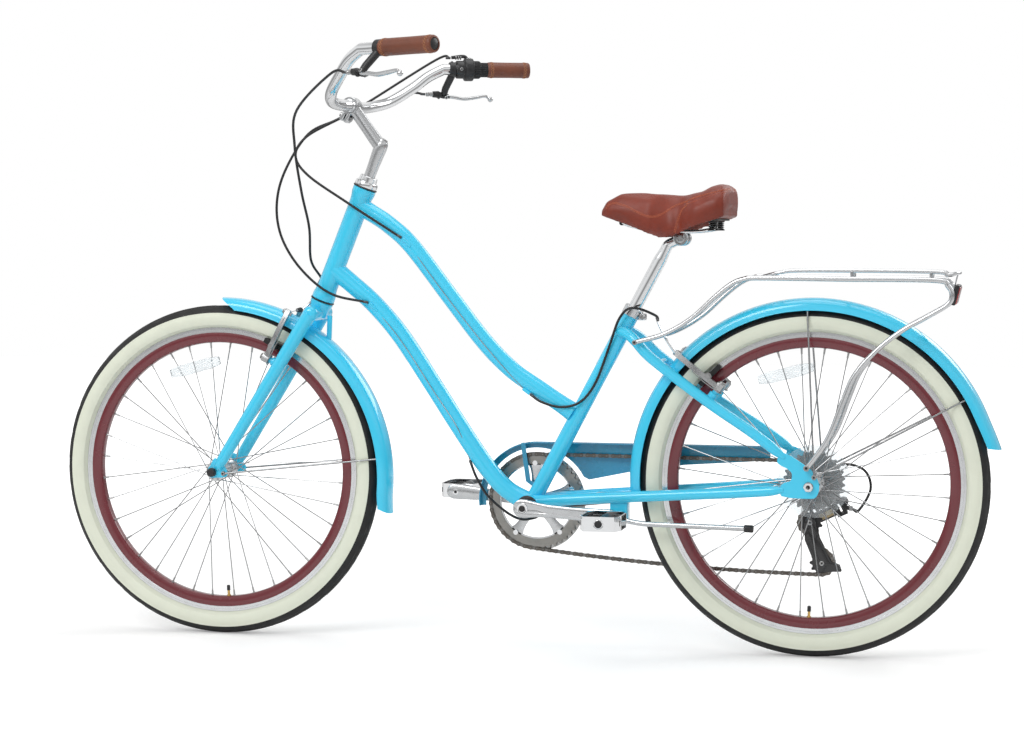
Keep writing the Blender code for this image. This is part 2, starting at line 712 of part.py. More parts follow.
def build_frame():
    flare = [(0.0, HEAD_LENGTH), (HEAD_FLARE, HEAD_LENGTH), (HEAD_FLARE, HEAD_LENGTH - 0.010)]
    flare += [(HEAD_RADIUS, HEAD_LENGTH - 0.028), (HEAD_RADIUS, 0.028), (HEAD_FLARE, 0.010)]
    flare += [(HEAD_FLARE, 0.0), (0.0, 0.0)]
    head = lathe(flare, HEAD_BASE, HEAD_AXIS, 14)
    top_route = [
        (-0.3060, 0, 0.8610),
        (-0.2760, 0, 0.8435),
        (-0.2370, 0, 0.8180),
        (-0.1900, 0, 0.7750),
        (-0.1105, 0, 0.6730),
        (-0.0470, 0, 0.5925),
        (0.0070, 0, 0.5385),
        (0.0660, 0, 0.4985),
        (0.1310, 0, 0.4560),
    ]
    down_route = [
        (-0.3510, 0, 0.7310),
        (-0.3150, 0, 0.7030),
        (-0.2680, 0, 0.6620),
        (-0.2150, 0, 0.6015),
        (-0.1500, 0, 0.5055),
        (-0.0995, 0, 0.4285),
        (-0.0460, 0, 0.3510),
        (-0.0050, 0, 0.3060),
        (0.0400, 0, 0.2790),
    ]
    top_tube = tube(smooth_path(top_route, 2), TOP_TUBE_RADIUS, 3)
    down_tube = tube(smooth_path(down_route, 2), DOWN_TUBE_RADIUS, 3)
    shell = pin(BB_CENTRE, BB_HALF_WIDTH, BB_SHELL_RADIUS, 14)
    seat_tube = cylinder(BB_CENTRE + SEAT_AXIS * 0.004, SEAT_TUBE_TOP, SEAT_TUBE_RADIUS, 12)
    solids = [head, top_tube, down_tube, shell, seat_tube]
    chain_route, seat_route = stay_routes()
    for side in (1, -1):
        chain_stay = [flipped(point, side) for point in chain_route]
        solids.append(tube(chain_stay, CHAIN_STAY_RADIUS, 2, CHAIN_STAY_RADIUS * 0.86))
        solids.append(tube([flipped(point, side) for point in seat_route], SEAT_STAY_RADIUS, 2))
        y = side * (REAR_SPACING / 2 + DROPOUT_THICKNESS / 2)
        solids.append(side_plate([dropout_outline()], DROPOUT_THICKNESS, y))
        solids.append(brake_boss("rear", side, 0.0165))
    # The plate that carries the stand and the fender's foot, the stand's block and the stay bridge
    back = 0.2080
    outline = [(back - 0.034, -0.030), (back - 0.034, 0.030), (back + 0.026, 0.036), (back + 0.030, 0.018)]
    outline += [(back + 0.030, -0.018), (back + 0.026, -0.036)]
    solids.append(plate([outline], 0.010, frame_matrix(Vector((0, 0, 0.2965)), UP, BACK)))
    solids.append(box(Vector((0.2270, -0.0270, 0.2770)), Vector((0.034, 0.030, 0.050))))
    solids.append(pin(Vector((0.3020, 0.0, 0.5560)), 0.045, 0.0062, 8))
    # Housing stops on the top tube and the down tube
    solids.append(straight(Vector((-0.2060, -0.0200, 0.7925)), Vector((-0.1900, -0.0150, 0.7765)), 0.0042, 1))
    solids.append(straight(Vector((-0.2740, -0.0210, 0.6660)), Vector((-0.2590, -0.0160, 0.6510)), 0.0042, 1))
    solids.append(straight(Vector((0.0335, -0.0113, 0.5022)), Vector((0.0470, -0.0122, 0.4916)), 0.0040, 1))
    body = unite(solids)
    bore = cylinder(head_point(-0.02), head_point(HEAD_LENGTH + 0.02), HEAD_BORE, 14)
    seat_bore = cylinder(BB_CENTRE + SEAT_AXIS * 0.18, SEAT_TUBE_TOP + SEAT_AXIS * 0.02, SEAT_TUBE_BORE, 12)
    shell_bore = pin(BB_CENTRE, 0.06, BB_BORE, 14)
    reach = REAR_SPACING / 2 + DROPOUT_THICKNESS + 0.01
    axle_bore = pin(REAR_AXLE, reach, AXLE_RADIUS + 2 * GAP, 10)
    stand_bore = cylinder(STAND_PIVOT, STAND_PIVOT + SIDE * 0.0300, 0.0047, 10)
    finish("frame", cut(body, [bore, seat_bore, shell_bore, axle_bore, stand_bore]), BLUE_PAINT)


def build_frame_fittings():
    wide = STEERER_RADIUS + 0.0006
    skirt = HEAD_BORE - 2 * GAP
    cup = [(wide, 0.0), (CUP_RADIUS, 0.0), (CUP_RADIUS, -CUP_LIP + GAP), (skirt, -CUP_LIP + GAP)]
    cup += [(skirt, -CUP_LIP - CUP_DEPTH), (wide, -CUP_LIP - CUP_DEPTH)]
    upper = lathe(cup, head_point(HEAD_LENGTH + CUP_LIP), HEAD_AXIS, 14)
    finish("headset_upper_cup", upper, BLACK_PLASTIC)
    lower = lathe(cup, head_point(-CUP_LIP), -HEAD_AXIS, 14)
    finish("headset_lower_cup", lower, BLACK_PLASTIC)
    face = BB_HALF_WIDTH + GAP
    inner = SPINDLE_RADIUS + 0.0007
    half = [(inner, face + 0.0045), (BB_SHELL_RADIUS, face + 0.0045), (BB_SHELL_RADIUS, face)]
    half.append((BB_BORE - 2 * GAP, face))
    profile = half + [(radius, -y) for radius, y in reversed(half)]
    finish("bottom_bracket", lathe(profile, BB_CENTRE, SIDE, 10), BLACK_PLASTIC)
    outer = SEAT_TUBE_RADIUS + 0.0038
    band = [
        (SEAT_TUBE_RADIUS + 2 * GAP, -0.015),
        (SEAT_TUBE_RADIUS + 2 * GAP, GAP),
        (POST_RADIUS + 2 * GAP, GAP),
        (POST_RADIUS + 2 * GAP, 0.0030),
        (outer, 0.0030),
        (outer, -0.015),
    ]
    collar = lathe(band, SEAT_TUBE_TOP, SEAT_AXIS, 12)
    rear = Vector((SEAT_AXIS.z, 0, -SEAT_AXIS.x))
    ears_at = SEAT_TUBE_TOP - SEAT_AXIS * 0.0055 + rear * (outer + 0.0030)
    ears = box(ZERO, Vector((0.012, 0.018, 0.013)), frame_matrix(ears_at, SEAT_AXIS, rear))
    bolt = pin(ears_at + rear * 0.0008, 0.0145, 0.0047, 10)
    body = unite([collar, ears, bolt])
    top = SEAT_TUBE_TOP + SEAT_AXIS * 0.0002
    post = cylinder(SEAT_TUBE_TOP - SEAT_AXIS * 0.0300, top, SEAT_TUBE_RADIUS + GAP, 12)
    finish("seat_collar", cut(body, [post]), SILVER_METAL)


# Fenders and their stays
def fender_sheet(centre, radius, ends, slant, count, flare):
    """A rolled sheet over a wheel: its crest runs between two angles, its edges stop a little short."""
    section = [(-1.0, -FENDER_EDGE_DROP), (-0.90, -0.0105), (-0.58, -0.0030), (0.0, 0.0)]
    section += [(-across, drop) for across, drop in reversed(section[:-1])]
    bm = bmesh.new()
    rows = []
    for i in range(count):
        share = i / (count - 1)
        lift = flare * max(0.0, (share - 0.94) / 0.06)
        row = []
        for across, drop in section:
            short = -drop / FENDER_EDGE_DROP
            first = ends[0] - slant[0] * short
            last = ends[1] + slant[1] * short
            spot = wheel_point(centre, radius + drop + lift, first + (last - first) * share)
            spot.y = across * FENDER_HALF_WIDTH
            row.append(bm.verts.new(spot))
        rows.append(row)
    for near, far in zip(rows, rows[1:]):
        for i in range(len(near) - 1):
            bm.faces.new((near[i], near[i + 1], far[i + 1], far[i]))
    bmesh.ops.recalc_face_normals(bm, faces=bm.faces)
    bm.faces.ensure_lookup_table()
    middle = bm.faces[3]
    if middle.normal.dot(middle.calc_center_median() - centre) < 0:
        bmesh.ops.reverse_faces(bm, faces=bm.faces)
    mesh = bpy.data.meshes.new("fender")
    bm.to_mesh(mesh)
    bm.free()
    item = add_object(mesh)
    shell = item.modifiers.new("wall", "SOLIDIFY")
    shell.thickness = FENDER_WALL
    shell.offset = -1
    return bake(item)


def stay_wire(centre, radius, eyelet, degrees):
    """A wire from one eyelet up inside the fender, across it, and down to the other eyelet."""
    inside = FENDER_HALF_WIDTH - FENDER_WALL - STAY_WIRE
    crown = radius - FENDER_WALL - STAY_WIRE
    half = [
        flipped(eyelet, -1),
        wheel_point(centre, radius - 0.027, degrees, -inside + 0.0005),
        wheel_point(centre, crown - 0.0125, degrees, -inside + 0.0035),
        wheel_point(centre, crown - 0.0035, degrees, -0.0120),
    ]
    return tube(half + [flipped(point, 1) for point in reversed(half)], STAY_WIRE, 0)


def build_fenders():
    centre, radius = FRONT_FENDER_CENTRE, FRONT_FENDER_RADIUS
    sheet = fender_sheet(centre, radius, (89.6, -11.5), (5.8, 1.0), 13, 0.006)
    rivet = wheel_point(centre, radius - 0.0012, 50.5)
    strap = straight(rivet, head_point(-0.024, -0.0252), 0.0050, 1)
    finish("front_fender", unite([sheet, strap]), BLUE_PAINT)
    sheet = fender_sheet(REAR_AXLE, REAR_FENDER_RADIUS, (184.2, 11.4), (0.5, 1.3), 18, 0.006)
    finish("rear_fender", sheet, BLUE_PAINT)
    out = FRONT_SPACING / 2 + DROPOUT_THICKNESS + STAY_WIRE + GAP
    eyelet = wheel_point(FRONT_AXLE, 0.0245, -5, out + 0.0010)
    finish("front_fender_stays", stay_wire(centre, radius, eyelet, 6.5), SILVER_METAL)
    out = REAR_SPACING / 2 + DROPOUT_THICKNESS + STAY_WIRE + GAP
    eyelet = wheel_point(REAR_AXLE, 0.0215, 60, out + 0.0014)
    wires = [stay_wire(REAR_AXLE, REAR_FENDER_RADIUS, eyelet, degrees) for degrees in (91.5, 29.9)]
    for side in (-1, 1):
        wires.append(pin(flipped(eyelet, side), 0.0016, 0.0045, 6))
    finish("rear_fender_stays", unite(wires), SILVER_METAL)


# Rack
def tilt_about(point, degrees):
    """A turn about the side-to-side axis through a point."""
    point = Vector(point)
    turn = Matrix.Rotation(math.radians(degrees), 4, SIDE)
    return Matrix.Translation(point) @ turn @ Matrix.Translation(-point)


def deck_height(x):
    return 0.7180 - (x - 0.5) * 0.0125


def build_rack():
    foot_y = REAR_SPACING / 2 + DROPOUT_THICKNESS + RACK_TUBE + GAP
    route = [
        (0.2600, 0.0580, 0.5950),
        (0.3190, 0.0600, 0.6120),
        (0.3700, 0.0630, 0.6415),
        (0.4140, RACK_HALF_WIDTH, 0.6810),
        (0.4455, RACK_HALF_WIDTH, 0.7060),
        (0.4700, RACK_HALF_WIDTH, 0.7160),
        (0.5000, RACK_HALF_WIDTH, 0.7180),
        (0.8200, RACK_HALF_WIDTH, 0.7140),
        (0.8440, RACK_HALF_WIDTH, 0.7030),
        (0.8510, RACK_HALF_WIDTH, 0.6860),
        (0.8420, RACK_HALF_WIDTH, 0.6690),
        (0.7600, 0.0680, 0.6210),
        (0.7130, 0.0700, 0.5830),
        (0.6750, 0.0720, 0.5380),
        (0.6540, 0.0740, 0.4890),
        (0.6270, foot_y, 0.4200),
        (0.5870, foot_y, 0.3620),
    ]
    solids = [tube([flipped(point, side) for point in route], RACK_TUBE, 1) for side in (1, -1)]
    for x in (0.520, 0.665, 0.810):
        solids.append(pin(Vector((x, 0.0, deck_height(x))), RACK_HALF_WIDTH, 0.0034, 6))
    deck = [
        (0.4970, RACK_DECK_HALF * 0.6, 0.7190),
        (0.5300, RACK_DECK_HALF, 0.7270),
        (0.5800, RACK_DECK_HALF, 0.7310),
        (0.8100, RACK_DECK_HALF, 0.7290),
        (0.8400, RACK_DECK_HALF, 0.7230),
        (0.8560, RACK_DECK_HALF * 0.7, 0.7260),
        (0.8620, 0.0, 0.7270),
    ]
    solids.append(tube(deck + [(x, -y, z) for x, y, z in reversed(deck[:-1])], 0.0034, 1))
    for x in (0.665, 0.810):
        for side in (1, -1):
            foot = Vector((x + 0.001, side * RACK_DECK_HALF, deck_height(x) - 0.001))
            solids.append(straight(foot, foot + UP * 0.0140, 0.0026, 0))
    bracket_turn = tilt_about((0.862, 0, 0.727), 14)
    solids.append(box(Vector((0.8590, 0, 0.7060)), Vector((0.0020, 0.022, 0.044)), bracket_turn))
    finish("rack", unite(solids), SILVER_METAL)
    lens = box(Vector((0.8660, 0, 0.6860)), Vector((0.0110, 0.080, 0.038)), bracket_turn)
    finish("rack_reflector", lens, RED_PLASTIC)


# Brakes
def arm_up(which):
    slope = FRONT_ARM_SLOPE if which == "front" else REAR_ARM_SLOPE
    return Vector((math.cos(slope), 0, math.sin(slope)))


def arm_tip(which, side):
    return boss_pivot(which, side) + arm_up(which) * ARM_LENGTH - SIDE * side * 0.0030


def noodle_end(which):
    """The open end of the bent steel pipe that leads a cable into the arm, and the pipe's knee."""
    if which == "front":
        return Vector((-0.3960, 0.0330, 0.7020)), Vector((-0.4130, 0.0480, 0.6700))
    return Vector((0.3015, -0.0270, 0.6330)), Vector((0.3200, -0.0440, 0.6010))


def build_brake_arm(name, which, side, carries_noodle):
    """A cast brake arm with its pivot barrel, its pad and either the noodle and boot or the anchor."""
    axle = FRONT_AXLE if which == "front" else REAR_AXLE
    up = arm_up(which)
    axis = boss_axis(which)
    pivot = boss_pivot(which, side)
    out = SIDE * side
    barrel = cylinder(pivot - axis * 0.0080, pivot + axis * 0.0085, 0.0095, 8, SIDE)
    tip = arm_tip(which, side)
    matrix = frame_matrix(pivot, axis, up)
    # Drawn with x along the arm and y away from the wheel
    away = 1 if (matrix.to_3x3() @ Vector((0, 1, 0))).dot(out) > 0 else -1
    thick = ARM_THICKNESS / 2
    outline = [
        (-0.004, -thick),
        (0.030, -thick + 0.0040),
        (ARM_LENGTH - 0.022, -thick + 0.0015),
        (ARM_LENGTH, -thick - 0.0020),
        (ARM_LENGTH + 0.004, 0.0),
        (ARM_LENGTH, thick + 0.0010),
        (0.060, thick + 0.0058),
        (0.028, thick + 0.0065),
        (-0.002, thick + 0.0020),
    ]
    shank = plate([[(x, y * away) for x, y in outline]], ARM_WIDTH * 0.8, matrix)
    # The pad lies along the rim's brake wall
    radial = pivot - axle
    radial.y = 0
    radial.normalize()
    pad_place = axle + radial * ((RIM_OUTER + RIM_INNER) / 2 + 0.0085)
    forward = Vector((-radial.z, 0, radial.x))
    pad_y = RIM_HALF_WIDTH + PAD_CLEARANCE
    pad_matrix = frame_matrix(pad_place + out * (pad_y + 0.0048), out, forward)
    pad = box(ZERO, Vector((PAD_LENGTH, PAD_HEIGHT, 0.0096)), pad_matrix)
    stud = straight(pad_place + out * (pad_y + 0.006), pad_place + out * 0.0480, 0.0038, 1)
    neck = pivot + up * (pad_place - pivot).dot(up) + out * 0.0050
    solids = [barrel, shank, pad, stud, straight(neck, pad_place + out * 0.0440, 0.0055, 1)]
    if carries_noodle:
        end, knee = noodle_end(which)
        bend = smooth_path([end, knee, tip + out * 0.0050, tip - out * 0.0020], 2)
        solids.append(tube(bend, 0.0026, 1))
        solids.append(straight(tip, tip - out * 0.026, 0.0048, 1, 0.0030))
    else:
        low = tip - up * 0.004
        solids.append(cylinder(low - axis * 0.0085, low + axis * 0.0100, 0.0045, 6, SIDE))
    bore = cylinder(pivot - axis * 0.0300, pivot + axis * 0.0013, BOSS_RADIUS + 0.0009, 8, SIDE)
    finish(name, cut(unite(solids), [bore]), SILVER_METAL, pivot)


def build_brakes():
    build_brake_arm("front_brake_arm_left", "front", -1, False)
    build_brake_arm("front_brake_arm_right", "front", 1, True)
    build_brake_arm("rear_brake_arm_left", "rear", -1, True)
    build_brake_arm("rear_brake_arm_right", "rear", 1, False)


# Fork, headset and stem
def build_fork():
    race = [(0.0, 0.0), (0.0225, 0.0), (0.0225, -0.004), (0.0190, -0.018), (0.0185, -FORK_CROWN_DROP)]
    neck = lathe(race + [(0.0, -FORK_CROWN_DROP)], head_point(-CUP_LIP - GAP), HEAD_AXIS, 14)
    crown = pin(head_point(-CUP_LIP - FORK_CROWN_DROP + 0.004), 0.0570, 0.0150, 12)
    top = head_point(HEAD_LENGTH + CUP_LIP + LOCKNUT_HEIGHT - 0.003)
    steerer = cylinder(head_point(-0.012), top, STEERER_RADIUS, 14)
    solids = [neck, crown, steerer]
    x, z = FRONT_AXLE.x, FRONT_AXLE.z
    for side in (1, -1):
        start = flipped(BLADE_TOP, side)
        end = flipped(BLADE_END, side)
        solids.append(straight(start, end, BLADE_TOP_RADIUS, 4, BLADE_END_RADIUS))
        y = side * (FRONT_SPACING / 2 + DROPOUT_THICKNESS / 2)
        tab = arc_points((x, z), 0.0115, 150, 280, 5)
        tab += [(x + 0.028, z - 0.0090), (x + 0.0300, z + 0.0040), (end.x + 0.009, end.z + 0.014)]
        tab += [(end.x - 0.004, end.z + 0.024), (end.x - 0.013, end.z + 0.010)]
        solids.append(side_plate([tab], DROPOUT_THICKNESS, y))
        solids.append(brake_boss("front", side, 0.0180))
    body = unite(solids)
    cutters = [cylinder(head_point(-0.05), top + HEAD_AXIS * 0.01, STEERER_BORE, 14)]
    face = FRONT_SPACING / 2 + DROPOUT_THICKNESS
    cutters.append(pin(FRONT_AXLE, face + 0.016, AXLE_RADIUS + 2 * GAP, 10))
    for side in (1, -1):
        outside = FRONT_AXLE + SIDE * side * (face - 0.0002)
        cutters.append(cylinder(outside, outside + SIDE * side * 0.020, AXLE_NUT_RADIUS + 0.0008, 10))
        inside = FRONT_AXLE + SIDE * side * (face - DROPOUT_THICKNESS + 0.0002)
        cutters.append(cylinder(inside, inside - SIDE * side * 0.016, 0.0098, 10))
    finish("fork", cut(body, cutters), BLUE_PAINT, HEAD_BASE)


def build_headset_and_stem():
    base = head_point(HEAD_LENGTH + CUP_LIP + GAP)
    inner = QUILL_RADIUS + 2 * GAP
    ring = [
        (STEERER_RADIUS + 2 * GAP, 0.0),
        (STEERER_RADIUS + 2 * GAP, LOCKNUT_HEIGHT - 0.002),
        (inner, LOCKNUT_HEIGHT - 0.002),
        (inner, LOCKNUT_HEIGHT),
        (0.0172, LOCKNUT_HEIGHT),
        (0.0180, LOCKNUT_HEIGHT - 0.010),
        (0.0215, LOCKNUT_HEIGHT - 0.012),
        (0.0228, 0.0),
    ]
    finish("headset_locknut", lathe(ring, base, HEAD_AXIS, 12), CHROME_METAL)
    nut_top = HEAD_LENGTH + CUP_LIP + GAP + LOCKNUT_HEIGHT
    corner = head_point(nut_top + QUILL_RISE)
    low = -QUILL_RISE - QUILL_DEPTH
    quill = [(0.0, low), (QUILL_RADIUS, low), (QUILL_RADIUS, -0.030), (STEM_RADIUS, 0.0), (0.0105, 0.0105)]
    quill += [(0.0090, 0.0160), (0.0, 0.0160)]
    post = lathe(quill, corner, HEAD_AXIS, 14)
    reach = (BAR_CLAMP - corner).normalized()
    arm = tube([corner - reach * 0.002, BAR_CLAMP - reach * 0.006], STEM_RADIUS - 0.0003, 3, 0.0128)
    clamp = pin(BAR_CLAMP, BAR_CLAMP_HALF, BAR_CLAMP_RADIUS, 14)
    down = Vector((-0.45, 0, -0.89)).normalized()
    across = Vector((down.z, 0, -down.x))
    ears_at = BAR_CLAMP + down * (BAR_CLAMP_RADIUS + 0.0070)
    ears = box(ZERO, Vector((0.017, 0.0260, 0.024)), frame_matrix(ears_at, down, across))
    bolt = cylinder(ears_at - across * 0.0125, ears_at + across * 0.0140, 0.0052, 8, SIDE)
    body = unite([post, arm, clamp, ears, bolt])
    bore = pin(BAR_CLAMP, 0.05, clear(BAR_RADIUS, 12), 12)
    finish("stem", cut(body, [bore]), SILVER_METAL)


# Handlebar and what sits on it
def grip_axis(side):
    return Vector((math.cos(GRIP_SWEEP), side * math.sin(GRIP_SWEEP), 0.0))


def bar_point(distance, side):
    """A point on the straight end of the bar, distance metres in from its end."""
    return flipped(BAR_END, side) - grip_axis(side) * distance


def build_handlebar():
    bend = [
        BAR_CLAMP,
        (-0.3135, 0.0240, 1.0522),
        (-0.3190, 0.0620, 1.0518),
        (-0.3150, 0.1200, 1.0555),
        (-0.2930, 0.1870, 1.0690),
        (-0.2590, 0.2360, 1.0985),
        (-0.2330, 0.2630, 1.1230),
        bar_point(BAR_STRAIGHT, 1),
    ]
    right = smooth_path(bend, 2) + [bar_point(0.0, 1)]
    left = [flipped(point, -1) for point in reversed(right[1:])]
    finish("handlebar", tube(left + right, BAR_RADIUS, 2), CHROME_METAL)
    for name, side, length in (("left_grip", -1, LEFT_GRIP_LENGTH), ("right_grip", 1, RIGHT_GRIP_LENGTH)):
        bore = BAR_RADIUS + 2 * GAP
        profile = [
            (0.0, 2 * GAP),
            (bore, 2 * GAP),
            (bore, -length),
            (GRIP_RADIUS, -length),
            (GRIP_RADIUS, 0.0032),
            (0.0145, 0.0045),
            (0.0, 0.0045),
        ]
        sleeve = lathe(profile, flipped(BAR_END, side), grip_axis(side), 14)
        finish(name, sleeve, BROWN_LEATHER)


def lever_frame(side):
    """The lever's clamp centre, the bar's direction there, the way to the lever, and its pivot."""
    length = LEFT_GRIP_LENGTH
    if side == 1:
        length = RIGHT_GRIP_LENGTH + TWIST_GRIP_LENGTH + SHIFTER_LENGTH + 3 * GAP
    along = grip_axis(side)
    centre = bar_point(length + PERCH_WIDTH / 2 + GAP, side)
    outward = Vector((-math.sin(GRIP_SWEEP), side * math.cos(GRIP_SWEEP), 0.0))
    drop = LEVER_DROP_LEFT if side == -1 else LEVER_DROP_RIGHT
    lean = outward * math.cos(drop) - UP * math.sin(drop)
    return centre, along, lean, centre + lean * LEVER_REACH - along * 0.010


def barrel_end(side):
    """Where the lever's adjusting barrel ends, and the direction in which the housing leaves it."""
    _, along, lean, pivot = lever_frame(side)
    return pivot - along * 0.042 - lean * 0.004, -along


def build_levers():
    for word, side in (("left", -1), ("right", 1)):
        centre, along, lean, pivot = lever_frame(side)
        normal = along.cross(lean)
        half = PERCH_WIDTH / 2
        ring = cylinder(centre - along * half, centre + along * half, BAR_RADIUS + 0.0042, 12)
        neck = straight(centre + lean * 0.0120, pivot - lean * 0.002 - along * 0.004, 0.0078, 1, 0.0068)
        end, _ = barrel_end(side)
        body = straight(pivot + along * 0.0072, end + along * 0.0142, 0.0090, 1, 0.0067)
        barrel = straight(end + along * 0.018, end, 0.0046, 1)
        perch = unite([ring, neck, body, barrel])
        bar_bore = cylinder(centre - along * 0.03, centre + along * 0.03, clear(BAR_RADIUS, 12), 12)
        slot = box(Vector((0.0240, 0, 0)), Vector((0.062, 0.034, 0.0078)), frame_matrix(pivot, normal, along))
        pin_bore = cylinder(pivot - normal * 0.012, pivot + normal * 0.012, 0.0030, 8)
        finish(word + "_lever_perch", cut(perch, [bar_bore, slot, pin_bore]), BLACK_PLASTIC)
        route = [
            pivot - along * 0.005,
            pivot + along * 0.016 + lean * 0.002,
            pivot + along * 0.040 + lean * 0.0055,
            pivot + along * 0.066 + lean * 0.0020,
            pivot + along * 0.084 - lean * 0.0010,
            pivot + along * LEVER_LENGTH + lean * 0.0060,
        ]
        blade = tube(route, 0.0036, 1)
        pivot_pin = cylinder(pivot - normal * 0.0075, pivot + normal * 0.0075, 0.0025, 8)
        ball = route[-1] + along * 0.0015
        knob = cylinder(ball - normal * 0.0052, ball + normal * 0.0052, 0.0056, 8)
        finish(word + "_brake_lever", unite([blade, pivot_pin, knob]), SILVER_METAL, pivot)


def shifter_exit():
    """Where the shifter's cable spout starts, the bar's direction, and the shifter's outer face."""
    along = grip_axis(1)
    face = -RIGHT_GRIP_LENGTH - TWIST_GRIP_LENGTH - 2 * GAP
    front = Vector((-math.sin(GRIP_SWEEP), math.cos(GRIP_SWEEP), 0.0))
    base = flipped(BAR_END, 1) + along * (face - 0.010) + UP * (SHIFTER_RADIUS - 0.004) + front * 0.004
    return base, along, face


def build_shifter():
    base, along, face = shifter_exit()
    start = RIGHT_GRIP_LENGTH + GAP
    bore = BAR_RADIUS + 0.0008
    twist = [
        (bore, -start),
        (TWIST_GRIP_RADIUS, -start),
        (TWIST_GRIP_RADIUS, -start - 0.014),
        (TWIST_GRIP_RADIUS + 0.0034, -start - 0.017),
        (TWIST_GRIP_RADIUS + 0.0034, face + GAP),
        (bore, face + GAP),
    ]
    grip = lathe(twist, flipped(BAR_END, 1), along, 12)
    finish("shifter_grip", grip, BLACK_PLASTIC, bar_point(start + TWIST_GRIP_LENGTH, 1))
    inner = BAR_RADIUS + 2 * GAP
    case = [
        (inner, face),
        (SHIFTER_RADIUS - 0.0015, face),
        (SHIFTER_RADIUS, face - 0.002),
        (SHIFTER_RADIUS, face - 0.017),
        (0.0185, face - 0.020),
        (0.0185, face - SHIFTER_LENGTH + 0.001),
        (inner, face - SHIFTER_LENGTH + 0.001),
    ]
    body = lathe(case, flipped(BAR_END, 1), along, 12)
    arch = [base, base + UP * 0.008 - along * 0.008, base + UP * 0.0055 - along * 0.034]
    spout = tube(smooth_path(arch, 2), 0.0040, 1)
    finish("shifter_housing", unite([body, spout]), BLACK_PLASTIC)


# Drive
def crank_direction(side):
    return Vector((math.cos(CRANK_TILT), 0.0, -math.sin(CRANK_TILT))) * (1 if side == -1 else -1)


def crank_arm(side):
    """A forged arm from the spindle to the pedal's eye."""
    way = crank_direction(side)
    up = Vector((-way.z, 0.0, way.x))
    base = BB_CENTRE + SIDE * side * (CRANK_INNER_Y + CRANK_THICKNESS / 2)
    outline = arc_points((0, 0), 0.0180, 45, 315, 9)
    length = CRANK_LENGTH
    outline += [(0.050, -0.0122), (length - 0.050, -0.0122), (length - 0.006, -0.0148)]
    outline += [(length + 0.010, -0.0140), (length + 0.0180, -0.0070), (length + 0.0180, 0.0070)]
    outline += [(length + 0.010, 0.0140), (length - 0.006, 0.0148), (length - 0.050, 0.0122), (0.050, 0.0122)]
    arm = plate([outline], CRANK_THICKNESS, frame_matrix(base, way.cross(up), way))
    return arm, base + way * CRANK_LENGTH


def chainring_solids():
    """The spider, the toothed ring and the guard ring outside it."""
    holes = []
    for i in range(SPIDER_ARMS):
        middle = 20 + 360 * (i + 0.5) / SPIDER_ARMS
        hole = arc_points((0, 0), SPIDER_RADIUS - 0.0075, middle - 29, middle + 29, 5)
        holes.append(hole + arc_points((0, 0), 0.0230, middle + 12, middle - 12, 2))
    spider = drive_plate([ring_points(SPIDER_RADIUS, 25)] + holes, 0.0050, BB_CENTRE, CHAIN_Y + 0.0030)
    teeth = [tooth_outline(CHAINRING_TEETH), ring_points(0.0745, 20)]
    ring = drive_plate(teeth, SPROCKET_THICKNESS, BB_CENTRE, CHAIN_Y)
    guard = [ring_points(GUARD_RING_OUTER, 32), ring_points(GUARD_RING_INNER, 20)]
    return [spider, ring, drive_plate(guard, 0.0016, BB_CENTRE, CHAIN_Y + CHAIN_HALF_WIDTH + 0.0014)]


def build_cranks():
    outer_y = CRANK_INNER_Y + CRANK_THICKNESS
    for side in (-1, 1):
        arm, eye = crank_arm(side)
        out = SIDE * side
        axle = cylinder(eye, eye + out * (CRANK_THICKNESS / 2 + PEDAL_WIDTH - 0.008), 0.0050, 8)
        collar = cylinder(eye - out * 0.002, eye + out * (CRANK_THICKNESS / 2 + 0.006), 0.0072, 8)
        cap = cylinder(BB_CENTRE + out * (outer_y - 0.004), BB_CENTRE + out * (outer_y + 0.0012), 0.0110, 12)
        if side == -1:
            end = BB_CENTRE - SIDE * (outer_y - 0.006)
            socket = cylinder(BB_CENTRE - SIDE * 0.02, end, clear(SPINDLE_RADIUS, 12), 12)
            body = cut(unite([arm, axle, collar, cap]), [socket])
            finish("left_crank", body, SILVER_METAL, BB_CENTRE.copy())
            continue
        start = BB_CENTRE - SIDE * (outer_y - 0.007)
        spindle = cylinder(start, BB_CENTRE + SIDE * (CRANK_INNER_Y + 0.003), SPINDLE_RADIUS, 12)
        boss = cylinder(BB_CENTRE + SIDE * 0.0420, BB_CENTRE + SIDE * (CRANK_INNER_Y + 0.002), 0.0165, 14)
        body = unite([arm, axle, collar, cap, spindle, boss] + chainring_solids())
        finish("chainwheel_crank", body, SILVER_METAL, BB_CENTRE.copy())


